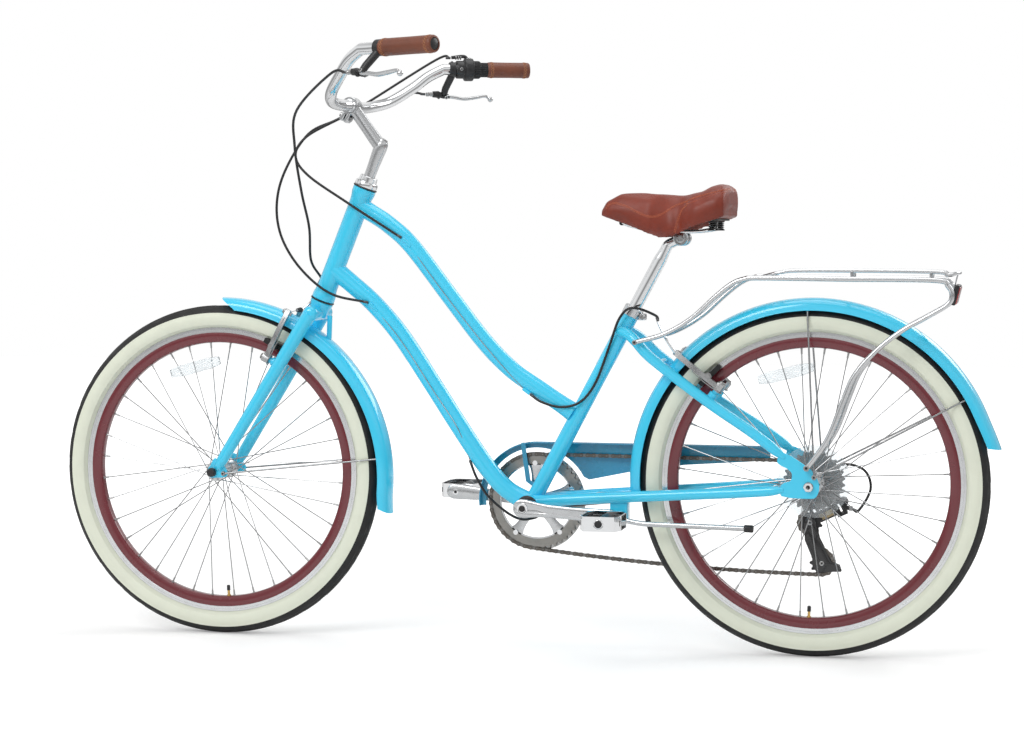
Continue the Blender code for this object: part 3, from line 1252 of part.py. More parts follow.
def build_pedals():
    """Cage pedals: an eight-sided wall round a bored barrel that turns on the crank's axle."""
    for word, side in (("left", -1), ("right", 1)):
        out = SIDE * side
        eye = BB_CENTRE + crank_direction(side) * CRANK_LENGTH
        inner = CRANK_INNER_Y + CRANK_THICKNESS + 0.0070
        barrel = cylinder(eye + out * (inner + 0.001), eye + out * (inner + PEDAL_WIDTH + 0.001), 0.0105, 10)
        wide, narrow = PEDAL_LENGTH / 2, PEDAL_END / 2
        plan = [(-narrow, 0.0), (narrow, 0.0), (wide, 0.020), (wide, PEDAL_WIDTH - 0.024)]
        plan += [(narrow, PEDAL_WIDTH), (-narrow, PEDAL_WIDTH), (-wide, PEDAL_WIDTH - 0.024), (-wide, 0.020)]
        hollow = []
        for x, y in plan:
            across = min(max(y, PEDAL_WALL), PEDAL_WIDTH - PEDAL_WALL)
            hollow.append((x - math.copysign(PEDAL_WALL, x), across))
        matrix = frame_matrix(eye + out * inner, UP * -side, BACK)
        flip = 1 if (matrix.to_3x3() @ Vector((0, 1, 0))).dot(out) > 0 else -1
        outlines = [[(x, y * flip) for x, y in loop] for loop in (plan, hollow)]
        cage = plate(outlines, PEDAL_HEIGHT, matrix)
        start = eye + out * (inner - 0.01)
        bore = cylinder(start, eye + out * (inner + PEDAL_WIDTH - 0.006), 0.0058, 10)
        mouth = cylinder(start, eye + out * (inner + 0.0018), 0.0080, 10)
        finish(word + "_pedal", cut(unite([cage, barrel]), [bore, mouth]), CHROME_METAL, eye + out * inner)


def build_freewheel():
    """Seven sprockets on a bored body, the largest next to the spokes."""
    first = SPROCKET_FIRST_Y - 0.0020
    last = SPROCKET_FIRST_Y + 6 * SPROCKET_STEP + 0.0015
    askew = Vector((1.0, 0.0, 0.07))
    solids = [cylinder(REAR_AXLE + SIDE * first, REAR_AXLE + SIDE * last, FREEWHEEL_BODY, 10, askew)]
    for i, teeth in enumerate(SPROCKET_TEETH):
        y = SPROCKET_FIRST_Y + i * SPROCKET_STEP
        solids.append(drive_plate([tooth_outline(teeth)], SPROCKET_THICKNESS, REAR_AXLE, y))
    bore = cylinder(REAR_AXLE, REAR_AXLE + SIDE * 0.08, FREEWHEEL_BORE, 10, askew)
    finish("freewheel", cut(unite(solids), [bore]), STEEL, REAR_AXLE.copy())


def build_pulley(name, centre):
    middle = centre + SIDE * CHAIN_Y
    outline = tooth_outline(PULLEY_TEETH, PULLEY_TOOTH_HEIGHT)
    wheel = drive_plate([outline], SPROCKET_THICKNESS, centre, CHAIN_Y)
    body = unite([wheel, pin(middle, 0.0030, 0.0085, 8)])
    finish(name, cut(body, [pin(middle, 0.01, 0.0038, 6)]), BLACK_PLASTIC, middle)


def tangent_points(c1, r1, c2, r2, cross, pick):
    """Where a straight chain run leaves one pitch circle and meets the next, in the side view."""
    dx, dz = c2[0] - c1[0], c2[1] - c1[1]
    swing = math.acos((r1 + r2 if cross else r1 - r2) / math.hypot(dx, dz))
    a1 = math.atan2(dz, dx) + pick * swing
    a2 = a1 + math.pi if cross else a1
    start = (c1[0] + r1 * math.cos(a1), c1[1] + r1 * math.sin(a1))
    return start, (c2[0] + r2 * math.cos(a2), c2[1] + r2 * math.sin(a2))


def chain_wheels():
    """The four wheels in the chain's order, each a centre, a pitch radius, a turn and a tooth's height."""
    marks = [
        (BB_CENTRE, CHAINRING_TEETH, -1, TOOTH_HEIGHT),
        (REAR_AXLE, SPROCKET_TEETH[CHAIN_SPROCKET], -1, TOOTH_HEIGHT),
        (GUIDE_PULLEY, PULLEY_TEETH, 1, PULLEY_TOOTH_HEIGHT),
        (TENSION_PULLEY, PULLEY_TEETH, -1, PULLEY_TOOTH_HEIGHT),
    ]
    return [((spot.x, spot.z), pitch_radius(teeth), turn, tall) for spot, teeth, turn, tall in marks]


def chain_stations():
    """Points along the chain in the side view: x, z, waisted or not, and the turn of a wheel there."""
    wheels = chain_wheels()
    links = [(False, 1), (True, 1), (True, -1), (False, 1)]
    runs = [tangent_points(*wheels[i][:2], *wheels[(i + 1) % 4][:2], *links[i]) for i in range(4)]
    path = []
    for i, (start, end) in enumerate(runs):
        length = math.dist(start, end)
        step = CHAIN_PITCH if length > 0.2 else CHAIN_PITCH / 2
        count = round(length / step)
        near, far = wheels[i], wheels[(i + 1) % 4]
        # How far along the run a wheel's teeth still stand in the chain
        reaches = []
        for _, radius, _, tall in (near, far):
            reaches.append(math.sqrt((radius + tall) ** 2 - (radius - CHAIN_HALF_HEIGHT) ** 2) + 0.001)
        sag = CHAIN_SAG if i == 3 else 0.0
        for k in range(1, count):
            t = k / count
            turn = 0
            if t * length - length / count < reaches[0]:
                turn = near[2]
            elif (1 - t) * length - length / count < reaches[1]:
                turn = far[2]
            x = start[0] + (end[0] - start[0]) * t
            z = start[1] + (end[1] - start[1]) * t - 4 * sag * t * (1 - t)
            path.append((x, z, k % 2, turn))
        centre, radius, turn, _ = far
        away = runs[(i + 1) % 4][0]
        a1 = math.atan2(end[1] - centre[1], end[0] - centre[0])
        a2 = math.atan2(away[1] - centre[1], away[0] - centre[0])
        sweep = ((a2 - a1) * turn) % (2 * math.pi) * turn
        pitches = max(1, round(abs(sweep) * radius / CHAIN_PITCH))
        for k in range(pitches + 1):
            a = a1 + sweep * k / pitches
            path.append((centre[0] + radius * math.cos(a), centre[1] + radius * math.sin(a), 0, turn))
    return path


def chain_section(waist, turn):
    """The chain's cross-section: a bar, or a channel that opens towards the wheel it goes round."""
    w, g = CHAIN_HALF_WIDTH, CHAIN_GROOVE
    tall = CHAIN_WAIST if waist and not turn else CHAIN_HALF_HEIGHT
    if not turn:
        return [(-w, -tall), (-w, tall), (w, tall), (w, -tall)]
    deep, floor = tall * turn, -CHAIN_GROOVE_FLOOR * turn
    return [(-w, -deep), (-w, deep), (-g, deep), (-g, floor), (g, floor), (g, deep), (w, deep), (w, -deep)]


def bridge_sections(bm, a, b):
    """Joins a channel's ring of points to a bar's, closing the channel's end."""
    channel, bar = (a, b) if len(a) == 8 else (b, a)
    near = bar
    if (channel[0].co - bar[0].co).length > (channel[0].co - bar[1].co).length:
        near = [bar[1], bar[0], bar[3], bar[2]]
    bm.faces.new((channel[0], channel[1], near[1], near[0]))
    bm.faces.new((channel[6], channel[7], near[3], near[2]))
    bm.faces.new((channel[7], channel[0], near[0], near[3]))
    bm.faces.new((channel[1], channel[2], near[1]))
    bm.faces.new((channel[2], channel[5], near[2], near[1]))
    bm.faces.new((channel[5], channel[6], near[2]))
    bm.faces.new((channel[2], channel[3], channel[4], channel[5]))


def build_chain():
    """A roller chain: waisted links on the straight runs, side plates astride the teeth on the wheels."""
    path = chain_stations()
    bm = bmesh.new()
    rings = []
    for k, (x, z, waist, turn) in enumerate(path):
        before, after = path[k - 1], path[(k + 1) % len(path)]
        along = Vector((after[0] - before[0], 0, after[1] - before[1])).normalized()
        out = Vector((-along.z, 0, along.x))
        place = Vector((x, CHAIN_Y, z))
        rings.append([bm.verts.new(place + SIDE * y + out * h) for y, h in chain_section(waist, turn)])
    for a, b in zip(rings, rings[1:] + rings[:1]):
        if len(a) != len(b):
            bridge_sections(bm, a, b)
            continue
        for i in range(len(a)):
            j = (i + 1) % len(a)
            bm.faces.new((a[i], a[j], b[j], b[i]))
    finish("chain", from_bmesh(bm), STEEL)


# Derailleur
def link_axis():
    """The direction of the swinging link's pins: square to the link, slanted so that it drops inwards."""
    upright = (LINK_END - LINK_START).cross(SIDE).normalized()
    return upright * math.cos(LINK_SLANT) + SIDE * math.sin(LINK_SLANT)


def cage_pivot():
    """The point on the guide pulley's axis where the cage's outer plate meets the link."""
    return GUIDE_PULLEY + SIDE * (CHAIN_Y + 0.0070)


def build_derailleur():
    axle = REAR_AXLE
    axis = link_axis()
    run = (LINK_END - LINK_START).normalized()
    hanger_y = REAR_SPACING / 2 + DROPOUT_THICKNESS + GAP
    outline = arc_points((axle.x, axle.z), 0.0150, 20, 200, 7)
    outline += [(0.6050, 0.3030), (0.6290, 0.2880), (0.6400, 0.2920)]
    hole = ring_points(AXLE_NUT_RADIUS + 0.0008, 10, (axle.x, axle.z))
    hanger = side_plate([outline, hole], 0.0030, hanger_y + 0.0015)
    knuckle = cylinder(Vector((0.6430, 0.0580, 0.2870)), Vector((0.6430, 0.0790, 0.2870)), 0.0098, 10)
    place = frame_matrix(LINK_START, axis, run)
    fork = box(Vector((-0.004, 0, 0)), Vector((0.020, 0.0140, 0.0300)), place)
    lead = straight(LINK_START - run * 0.010, Vector((0.6590, 0.0720, 0.2740)), 0.0045, 1)
    body = unite([hanger, knuckle, fork, lead])
    slot = box(Vector((0.0050, 0, 0)), Vector((0.0250, 0.036, 0.0212)), place)
    bore = cylinder(LINK_START - axis * 0.020, LINK_START + axis * 0.020, 0.0031, 8, SIDE)
    finish("derailleur_body", cut(body, [slot, bore]), BLACK_PLASTIC)
    length = (LINK_END - LINK_START).length
    web = box(Vector((length / 2, 0, 0)), Vector((length + 0.004, 0.0110, 0.0200)), place)
    stud = cylinder(LINK_START - axis * 0.0145, LINK_START + axis * 0.0145, 0.0026, 8, SIDE)
    eye = cylinder(cage_pivot() + SIDE * 0.0015, cage_pivot() + SIDE * 0.0180, 0.0120, 12)
    bore = cylinder(cage_pivot() - SIDE * 0.01, cage_pivot() + SIDE * 0.0155, 0.0058, 10)
    finish("derailleur_link", cut(unite([web, stud, eye]), [bore]), BLACK_PLASTIC, LINK_START.copy())


def cage_outline(wide):
    g, t = GUIDE_PULLEY, TENSION_PULLEY
    shape = arc_points((g.x, g.z), 0.0115, -10, 190, 5)
    shape += [(g.x - 0.010, g.z - 0.034), (t.x - wide, t.z + 0.010)]
    shape += arc_points((t.x, t.z), wide, 195, 300, 4)
    shape += [(t.x + 0.0370, t.z - 0.0150), (t.x + 0.0330, t.z - 0.0030), (t.x + wide - 0.001, t.z + 0.004)]
    shape += [(t.x + 0.0100, t.z + 0.0190), (g.x + 0.0180, g.z - 0.0300)]
    return shape


def build_cage():
    """Two plates with the pulleys between them, on two bolts, and the pivot pin for the link."""
    solids = []
    for offset, wide in ((-0.0058, 0.0185), (0.0058, 0.0150)):
        solids.append(side_plate([cage_outline(wide)], 0.0014, CHAIN_Y + offset))
    for place in (GUIDE_PULLEY, TENSION_PULLEY):
        solids.append(pin(place + SIDE * CHAIN_Y, 0.0075, 0.0030, 6))
    solids.append(pin(TENSION_PULLEY + Vector((0.0315, CHAIN_Y, -0.0090)), 0.0060, 0.0030, 6))
    solids.append(cylinder(cage_pivot() - SIDE * 0.0010, cage_pivot() + SIDE * 0.0150, 0.0050, 10))
    finish("derailleur_cage", unite(solids), BLACK_PLASTIC, GUIDE_PULLEY + SIDE * CHAIN_Y)


def build_chain_guard():
    """The guard: a band round the chainring, a plate along the upper chain and a turned-in top edge."""
    cx, cz = BB_CENTRE.x, BB_CENTRE.z
    outer = CHAIN_GUARD_RADIUS
    top = cz + outer
    shape = arc_points((cx, cz), outer, 186, 92, 10) + [(cx, top), (0.500, top)]
    shape += [(0.505, top - 0.006), (0.505, top - 0.028), (0.340, cz + 0.077), (0.228, cz + 0.060)]
    shape += [(0.150, cz + 0.044)] + arc_points((cx, cz), outer - CHAIN_GUARD_BAND, 28, 186, 12)
    sheet = side_plate([shape], CHAIN_GUARD_THICKNESS, CHAIN_GUARD_Y + CHAIN_GUARD_THICKNESS / 2)
    edge = outer - 0.0008
    inside = edge - 0.0015
    rim = arc_points((cx, cz), edge, 185.5, 92, 10) + [(cx, cz + edge), (0.4990, cz + edge)]
    rim += [(0.4990, cz + inside), (cx, cz + inside)] + arc_points((cx, cz), inside, 92, 185.5, 10)
    lip = side_plate([rim], 0.0120, CHAIN_GUARD_Y - 0.0057)
    tab = [(0.0170, top - 0.0040), (0.0255, top - 0.0040), (0.0360, cz + 0.0420), (0.0600, cz + 0.0275)]
    tab += [(0.0580, cz + 0.0210), (0.0525, cz + 0.0215), (0.0270, cz + 0.0400)]
    strap = side_plate([tab], 0.0020, 0.0375)
    bend = box(Vector((0.0212, 0.0432, top - 0.0032)), Vector((0.0080, 0.0134, 0.0030)))
    bolt = cylinder(Vector((0.0560, 0.0382, cz + 0.0245)), Vector((0.0560, 0.0154, cz + 0.0245)), 0.0026, 8)
    finish("chain_guard", unite([sheet, lip, strap, bend, bolt], 0.0), DARK_BLUE_PAINT)


# Cables
def housing(name, route):
    finish(name, tube(smooth_path(route, 2), HOUSING_RADIUS, 1), BLACK_HOUSING)


def build_cables():
    """The housings, each whole along its real route."""
    end, way = barrel_end(-1)
    noodle, knee = noodle_end("front")
    away = (noodle - knee).normalized()
    start = end + way * 5 * GAP
    housing(
        "front_brake_housing",
        [
            start,
            start + way * 0.040,
            (-0.3600, -0.1950, 1.0350),
            (-0.3820, -0.1450, 0.9700),
            (-0.3900, -0.0850, 0.8850),
            (-0.3900, -0.0400, 0.8150),
            (-0.4020, 0.0050, 0.7500),
            noodle + away * 0.016,
            noodle + away * 3 * GAP,
        ],
    )
    end, way = barrel_end(1)
    start = end + way * 5 * GAP
    housing(
        "rear_brake_loop",
        [
            start,
            start + way * 0.040,
            (-0.3420, 0.0950, 1.0420),
            (-0.3560, 0.0200, 1.0240),
            (-0.4030, -0.0160, 0.9920),
            (-0.4215, -0.0260, 0.9560),
            (-0.3950, -0.0300, 0.9170),
            (-0.3150, -0.0290, 0.8630),
            (-0.2075, -0.0210, 0.7940),
        ],
    )
    base, along, _ = shifter_exit()
    start = base + UP * 0.0055 - along * (0.034 + 7 * GAP)
    housing(
        "shift_loop",
        [
            start,
            start - along * 0.030 - UP * 0.004,
            (-0.3360, 0.1400, 1.0600),
            (-0.3620, 0.0500, 1.0280),
            (-0.4020, -0.0060, 0.9980),
            (-0.4440, -0.0250, 0.9260),
            (-0.4605, -0.0290, 0.8600),
            (-0.4500, -0.0310, 0.7950),
            (-0.4100, -0.0330, 0.7330),
            (-0.3500, -0.0300, 0.6850),
            (-0.2755, -0.0222, 0.6674),
        ],
    )
    # From the top tube's underside, up the seat tube's left side, over the collar to the rear brake
    noodle, knee = noodle_end("rear")
    away = (noodle - knee).normalized()
    housing(
        "rear_brake_housing",
        [
            (0.0480, -0.0125, 0.4908),
            (0.0720, -0.0200, 0.4770),
            (0.1100, -0.0215, 0.4680),
            (0.1480, -0.0215, 0.4780),
            (0.1780, -0.0205, 0.5150),
            (0.2050, -0.0205, 0.5850),
            (0.2260, -0.0245, 0.6400),
            (0.2520, -0.0280, 0.6600),
            noodle + away * 0.016,
            noodle + away * 3 * GAP,
        ],
    )
    # From the down tube, under the bottom bracket, along the right chain stay, round to the derailleur
    housing(
        "rear_shift_housing",
        [
            (-0.0750, -0.0080, 0.3600),
            (-0.0590, -0.0120, 0.3240),
            (-0.0330, -0.0110, 0.2860),
            (0.0150, -0.0050, 0.2500),
            (0.0500, 0.0060, 0.2480),
            (0.1000, 0.0230, 0.2690),
            (0.3300, 0.0465, 0.2900),
            (0.4900, 0.0690, 0.2990),
            (0.5400, 0.0800, 0.3060),
            (0.5800, 0.0860, 0.3240),
            (0.6350, 0.0900, 0.3560),
            (0.6800, 0.0870, 0.3480),
            (0.6940, 0.0810, 0.3120),
            (0.6720, 0.0743, 0.2707),
            (0.6599, 0.0722, 0.2738),
        ],
    )


# Seat
def build_seat():
    start = SEAT_TUBE_TOP - SEAT_AXIS * POST_INSERT
    post = cylinder(start, POST_TOP, POST_RADIUS - GAP, 12)
    block = pin(SADDLE_CLAMP, 0.0110, 0.0105, 12)
    neck = straight(POST_TOP - SEAT_AXIS * 0.014, SADDLE_CLAMP - Vector((0.004, 0, 0.001)), 0.0100, 2)
    body = unite([post, neck, block])
    finish("seatpost", cut(body, [pin(SADDLE_CLAMP, 0.03, 0.0046, 10)]), CHROME_METAL)


def build_saddle_frame():
    """Rails, the clamp's two side discs with their bolt, and the two rear spring blocks."""
    solids = []
    for side in (1, -1):
        rail = [
            (0.2280, 0.0090, 0.8190),
            (0.2460, 0.0120, 0.8120),
            (0.2850, 0.0180, 0.8045),
            (0.3150, RAIL_HALF_TRACK, 0.8045),
            (0.3700, RAIL_HALF_TRACK, 0.8045),
            (0.3950, 0.0300, 0.8070),
            (0.4100, 0.0400, 0.8110),
        ]
        solids.append(tube([flipped(point, side) for point in rail], RAIL_RADIUS, 1))
        out = SIDE * side
        solids.append(cylinder(SADDLE_CLAMP + out * 0.0113, SADDLE_CLAMP + out * 0.0240, 0.0142, 10))
        foot = Vector((0.4080, side * 0.0400, 0.8110))
        solids.append(cylinder(foot - UP * 0.005, foot + UP * 0.0133, 0.0100, 6))
        nut = SADDLE_CLAMP + out * 0.0235
        solids.append(cylinder(nut, nut + out * 0.0065, 0.0070, 6))
    solids.append(pin(SADDLE_CLAMP, 0.0200, 0.0040, 8))
    solids.append(pin(Vector((0.2280, 0.0, 0.8190)), 0.0125, 0.0050, 8))
    finish("saddle_frame", unite(solids), SILVER_METAL, SADDLE_CLAMP.copy())


def eased(marks, share):
    """A smooth value between the two marks that a share lies between."""
    for (s0, v0), (s1, v1) in zip(marks, marks[1:]):
        if share <= s1:
            t = (share - s0) / (s1 - s0)
            return v0 + (v1 - v0) * t * t * (3 - 2 * t)
    return marks[-1][1]


def build_saddle():
    """A padded saddle with a soft crown and drawn-in sides, and the hard shell beneath it."""
    stations = 15
    length = SADDLE_TAIL_X - SADDLE_NOSE_X
    bm = bmesh.new()
    rows = []
    for i in range(stations):
        share = i / (stations - 1)
        half, top, low = (eased(marks, share) for marks in (SADDLE_HALF, SADDLE_TOP, SADDLE_LOW))
        x = SADDLE_NOSE_X + length * share
        tall = top - low
        marks = [(0.0, 0.985), (0.40, 0.975), (0.74, 0.88), (0.95, 0.64), (1.0, 0.38), (0.94, 0.0)]
        row = [Vector((x, -half * a, low + tall * b)) for a, b in reversed(marks)]
        row += [Vector((x, half * a, low + tall * b)) for a, b in marks[1:]]
        floor = max(low + 0.002, SADDLE_FLOOR) if 0.06 < share < 0.97 else low + 0.001
        row += [Vector((x, 0.84 * half, floor)), Vector((x, -0.84 * half, floor))]
        rows.append([bm.verts.new(spot) for spot in row])
    for near, far in zip(rows, rows[1:]):
        for k in range(len(near)):
            m = (k + 1) % len(near)
            bm.faces.new((near[k], near[m], far[m], far[k]))
    bm.faces.new(rows[0])
    bm.faces.new(list(reversed(rows[-1])))
    finish("saddle", from_bmesh(bm), BROWN_LEATHER, SADDLE_CLAMP.copy())
    outline = []
    for i in (2, 5, 6, 7, 8, 9, 11, 13):
        share = i / (stations - 1)
        outline.append((SADDLE_NOSE_X + length * share, 0.80 * eased(SADDLE_HALF, share)))
    outline += [(x, -y) for x, y in reversed(outline)]
    shell = plate([outline], 0.0040, frame_matrix(Vector((0, 0, SADDLE_FLOOR - 0.0024)), UP, BACK))
    finish("saddle_base", shell, BLACK_PLASTIC, SADDLE_CLAMP.copy())


def build_stand():
    """The stand's leg, folded back along the chain stay."""
    pivot = STAND_PIVOT
    route = [
        pivot,
        pivot + Vector((0.014, -0.002, -0.004)),
        pivot + Vector((0.040, -0.003, -0.008)),
        pivot + Vector((STAND_LENGTH - 0.010, -0.004, -0.0115)),
    ]
    leg = tube(route, STAND_RADIUS, 2)
    tip = route[-1]
    foot = straight(tip - Vector((0.004, 0, 0)), tip + Vector((0.012, 0, -0.0004)), 0.0072, 2)
    hub = cylinder(pivot - SIDE * 0.0065, pivot + SIDE * 0.0055, 0.0085, 10)
    stud = cylinder(pivot, pivot + SIDE * 0.0270, 0.0040, 8)
    finish("kickstand", unite([leg, foot, hub, stud]), SILVER_METAL, pivot.copy())


def centre_on_origin():
    """Slides every piece along X so that the origin is under the middle of the bike's length."""
    bpy.context.view_layer.update()
    low, high = math.inf, -math.inf
    for item in PART.objects:
        for vertex in item.data.vertices:
            x = (item.matrix_world @ vertex.co).x
            low = min(low, x)
            high = max(high, x)
    shift = -(low + high) / 2
    for item in PART.objects:
        item.location.x += shift
    print("slid along X by", round(shift, 6))


def main():
    build_wheels()
    build_frame()
    build_frame_fittings()
    build_fenders()
    build_rack()
    build_fork()
    build_headset_and_stem()
    build_brakes()
    build_handlebar()
    build_levers()
    build_shifter()
    build_cranks()
    build_pedals()
    build_freewheel()
    build_pulley("guide_pulley", GUIDE_PULLEY)
    build_pulley("tension_pulley", TENSION_PULLEY)
    build_chain()
    build_derailleur()
    build_cage()
    build_chain_guard()
    build_cables()
    build_seat()
    build_saddle_frame()
    build_saddle()
    build_stand()
    centre_on_origin()


main()
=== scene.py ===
"""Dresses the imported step-through bike: materials, smooth forms, the padded saddle and small fittings."""
import json
from math import acos, atan2, cos, exp, hypot, pi, radians, sin, tau

import bmesh
import bpy
import numpy as np
from mathutils import Matrix, Vector
from mathutils.bvhtree import BVHTree


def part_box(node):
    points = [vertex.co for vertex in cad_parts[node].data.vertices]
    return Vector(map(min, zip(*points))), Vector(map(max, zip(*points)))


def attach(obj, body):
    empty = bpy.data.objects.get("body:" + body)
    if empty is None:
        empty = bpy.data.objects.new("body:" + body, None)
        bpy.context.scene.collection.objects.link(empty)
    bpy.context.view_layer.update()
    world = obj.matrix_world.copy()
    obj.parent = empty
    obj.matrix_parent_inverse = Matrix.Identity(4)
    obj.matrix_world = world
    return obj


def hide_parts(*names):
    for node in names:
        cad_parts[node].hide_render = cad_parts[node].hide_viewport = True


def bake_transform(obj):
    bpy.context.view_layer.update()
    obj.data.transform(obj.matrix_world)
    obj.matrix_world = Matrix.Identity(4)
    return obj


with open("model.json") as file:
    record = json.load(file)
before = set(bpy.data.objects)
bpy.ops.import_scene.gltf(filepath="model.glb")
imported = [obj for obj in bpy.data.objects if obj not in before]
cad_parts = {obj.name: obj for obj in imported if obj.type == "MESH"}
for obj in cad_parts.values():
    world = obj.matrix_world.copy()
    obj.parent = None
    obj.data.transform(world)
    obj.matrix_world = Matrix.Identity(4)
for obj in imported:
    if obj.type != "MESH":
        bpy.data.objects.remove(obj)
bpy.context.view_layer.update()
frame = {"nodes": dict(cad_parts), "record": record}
NODES = frame["nodes"]
RECORD = frame["record"]
BODY_OF = {node: body for body, members in RECORD["behaviour"]["bodies"].items() for node in members}
JOINTS = {joint["name"]: joint for joint in RECORD["behaviour"]["joints"]}
SLOT_OF = {part["node"]: part["material_slot"] for part in RECORD["subparts"]}
FRONT = Vector(JOINTS["front_wheel_spin"]["pos_m"])
REAR = Vector(JOINTS["rear_wheel_spin"]["pos_m"])
CRANK = Vector(JOINTS["crank_spin"]["pos_m"])
SHIFT = REAR.x - 0.592
SIDE = Vector((0, 1, 0))
UP = Vector((0, 0, 1))
BACK = Vector((1, 0, 0))


def at(x, y, z):
    """A point given in the part's building coordinates, whose X is not yet slid to the middle."""
    return Vector((x + SHIFT, y, z))


def linear(*rgb):
    """A colour read as 0 to 255 on screen, as the light values that a shader takes."""
    return tuple(((v / 255 + 0.055) / 1.055) ** 2.4 if v > 10 else v / 255 / 12.92 for v in rgb) + (1.0,)


# Materials
class Graph:
    """A node tree with a few helpers."""

    def __init__(self, tree):
        self.tree = tree

    def node(self, kind, **settings):
        made = self.tree.nodes.new(kind)
        for key, value in settings.items():
            setattr(made, key, value)
        return made

    def link(self, output, target):
        self.tree.links.new(output, target)

    def feed(self, socket, value):
        """Gives a socket a constant or another node's output."""
        if isinstance(value, (int, float, tuple)):
            socket.default_value = value
        else:
            self.link(value, socket)

    def math(self, operation, *values):
        step = self.node("ShaderNodeMath", operation=operation)
        for socket, value in zip(step.inputs, values):
            self.feed(socket, value)
        return step.outputs[0]


class Shader(Graph):
    """A Principled material whose textures read the object's coordinates."""

    def __init__(self, name):
        self.material = bpy.data.materials.new(name)
        self.material.use_nodes = True
        super().__init__(self.material.node_tree)
        self.main = self.tree.nodes["Principled BSDF"]
        self.where = self.node("ShaderNodeTexCoord").outputs["Object"]
        self.relief = None

    def noise(self, scale, detail=4.0, rough=0.5, stretch=None):
        texture = self.node("ShaderNodeTexNoise")
        for key, value in (("Scale", scale), ("Detail", detail), ("Roughness", rough)):
            texture.inputs[key].default_value = value
        place = self.where
        if stretch:
            mapping = self.node("ShaderNodeMapping")
            mapping.inputs["Scale"].default_value = stretch
            self.link(place, mapping.inputs["Vector"])
            place = mapping.outputs["Vector"]
        self.link(place, texture.inputs["Vector"])
        return texture.outputs["Fac"]

    def cells(self, scale):
        texture = self.node("ShaderNodeTexVoronoi")
        texture.inputs["Scale"].default_value = scale
        self.link(self.where, texture.inputs["Vector"])
        return texture.outputs["Distance"]

    def remap(self, value, low, high, to_low=0.0, to_high=1.0):
        step = self.node("ShaderNodeMapRange")
        for socket, number in zip(step.inputs, (value, low, high, to_low, to_high)):
            self.feed(socket, number)
        return step.outputs[0]

    def mix(self, share, first, second):
        step = self.node("ShaderNodeMix", data_type="RGBA")
        for index, value in ((0, share), (6, first), (7, second)):
            self.feed(step.inputs[index], value)
        return step.outputs[2]

    def colour(self, value):
        self.feed(self.main.inputs["Base Color"], value)

    def rough(self, value):
        self.feed(self.main.inputs["Roughness"], value)

    def bump(self, height, strength, distance):
        step = self.node("ShaderNodeBump")
        step.inputs["Strength"].default_value = strength
        step.inputs["Distance"].default_value = distance
        self.link(height, step.inputs["Height"])
        if self.relief is not None:
            self.link(self.relief, step.inputs["Normal"])
        self.relief = step.outputs[0]
        self.link(self.relief, self.main.inputs["Normal"])

    def set(self, **values):
        names = {
            "metallic": "Metallic",
            "coat": "Coat Weight",
            "coat_rough": "Coat Roughness",
            "transmission": "Transmission Weight",
            "ior": "IOR",
            "specular": "Specular IOR Level",
        }
        for key, value in values.items():
            self.main.inputs[names[key]].default_value = value


def tinted(colour, gain, lift=0.0):
    """A colour made darker or lighter."""
    return tuple(min(1.0, v * gain + lift) for v in colour[:3]) + (1.0,)


def paint(name, colour, rough=0.16):
    """Glossy paint: faint orange peel, a clear coat and a little uneven dust."""
    s = Shader(name)
    cloud = s.remap(s.noise(7.0, 5.0), 0.3, 0.7)
    s.colour(s.mix(cloud, tinted(colour, 0.965), colour))
    s.rough(s.remap(s.noise(45.0, 6.0), 0.3, 0.7, rough * 0.75, rough * 1.5))
    s.bump(s.noise(90.0, 2.0), 0.012, 0.0002)
    s.set(coat=0.6, coat_rough=0.06)
    return s.material


def metal(name, colour, rough, brushed=None, grain=0.12, wear=0.25):
    """Bare or plated metal, with fine scratches or brushing and small dull spots."""
    s = Shader(name)
    s.set(metallic=1.0)
    spots = s.remap(s.noise(55.0, 8.0, 0.6), 0.45, 0.75)
    s.colour(s.mix(spots, colour, tinted(colour, 1.0 - 0.25 * wear)))
    lines = s.noise(260.0, 3.0, 0.6, brushed) if brushed else s.noise(420.0, 4.0, 0.7)
    worn = s.math("ADD", lines, s.math("MULTIPLY", spots, wear))
    s.rough(s.remap(worn, 0.3, 1.0, rough * 0.7, rough * 1.6))
    s.bump(lines, grain * 0.3, 0.00005)
    return s.material


def plastic(name, colour, rough=0.42):
    """Moulded plastic with a fine spark-eroded grain and rubbed, shinier patches."""
    s = Shader(name)
    cloud = s.remap(s.noise(30.0, 5.0), 0.35, 0.7)
    s.colour(s.mix(cloud, colour, tinted(colour, 1.5, 0.004)))
    s.rough(s.remap(cloud, 0.0, 1.0, rough * 0.8, rough * 1.15))
    s.bump(s.noise(1500.0, 2.0, 0.6), 0.12, 0.0003)
    return s.material


def rubber(name, colour, rough=0.62, texture=700.0):
    """Rubber or vinyl with a soft sheen, faint mottling and dust."""
    s = Shader(name)
    dust = s.remap(s.noise(18.0, 6.0), 0.45, 0.75, 0.0, 0.5)
    s.colour(s.mix(dust, colour, tinted(colour, 1.3, 0.012)))
    s.rough(s.remap(s.noise(60.0, 4.0), 0.3, 0.7, rough * 0.85, rough * 1.15))
    s.bump(s.noise(texture, 3.0, 0.6), 0.25, 0.0004)
    s.set(specular=0.4)
    return s.material


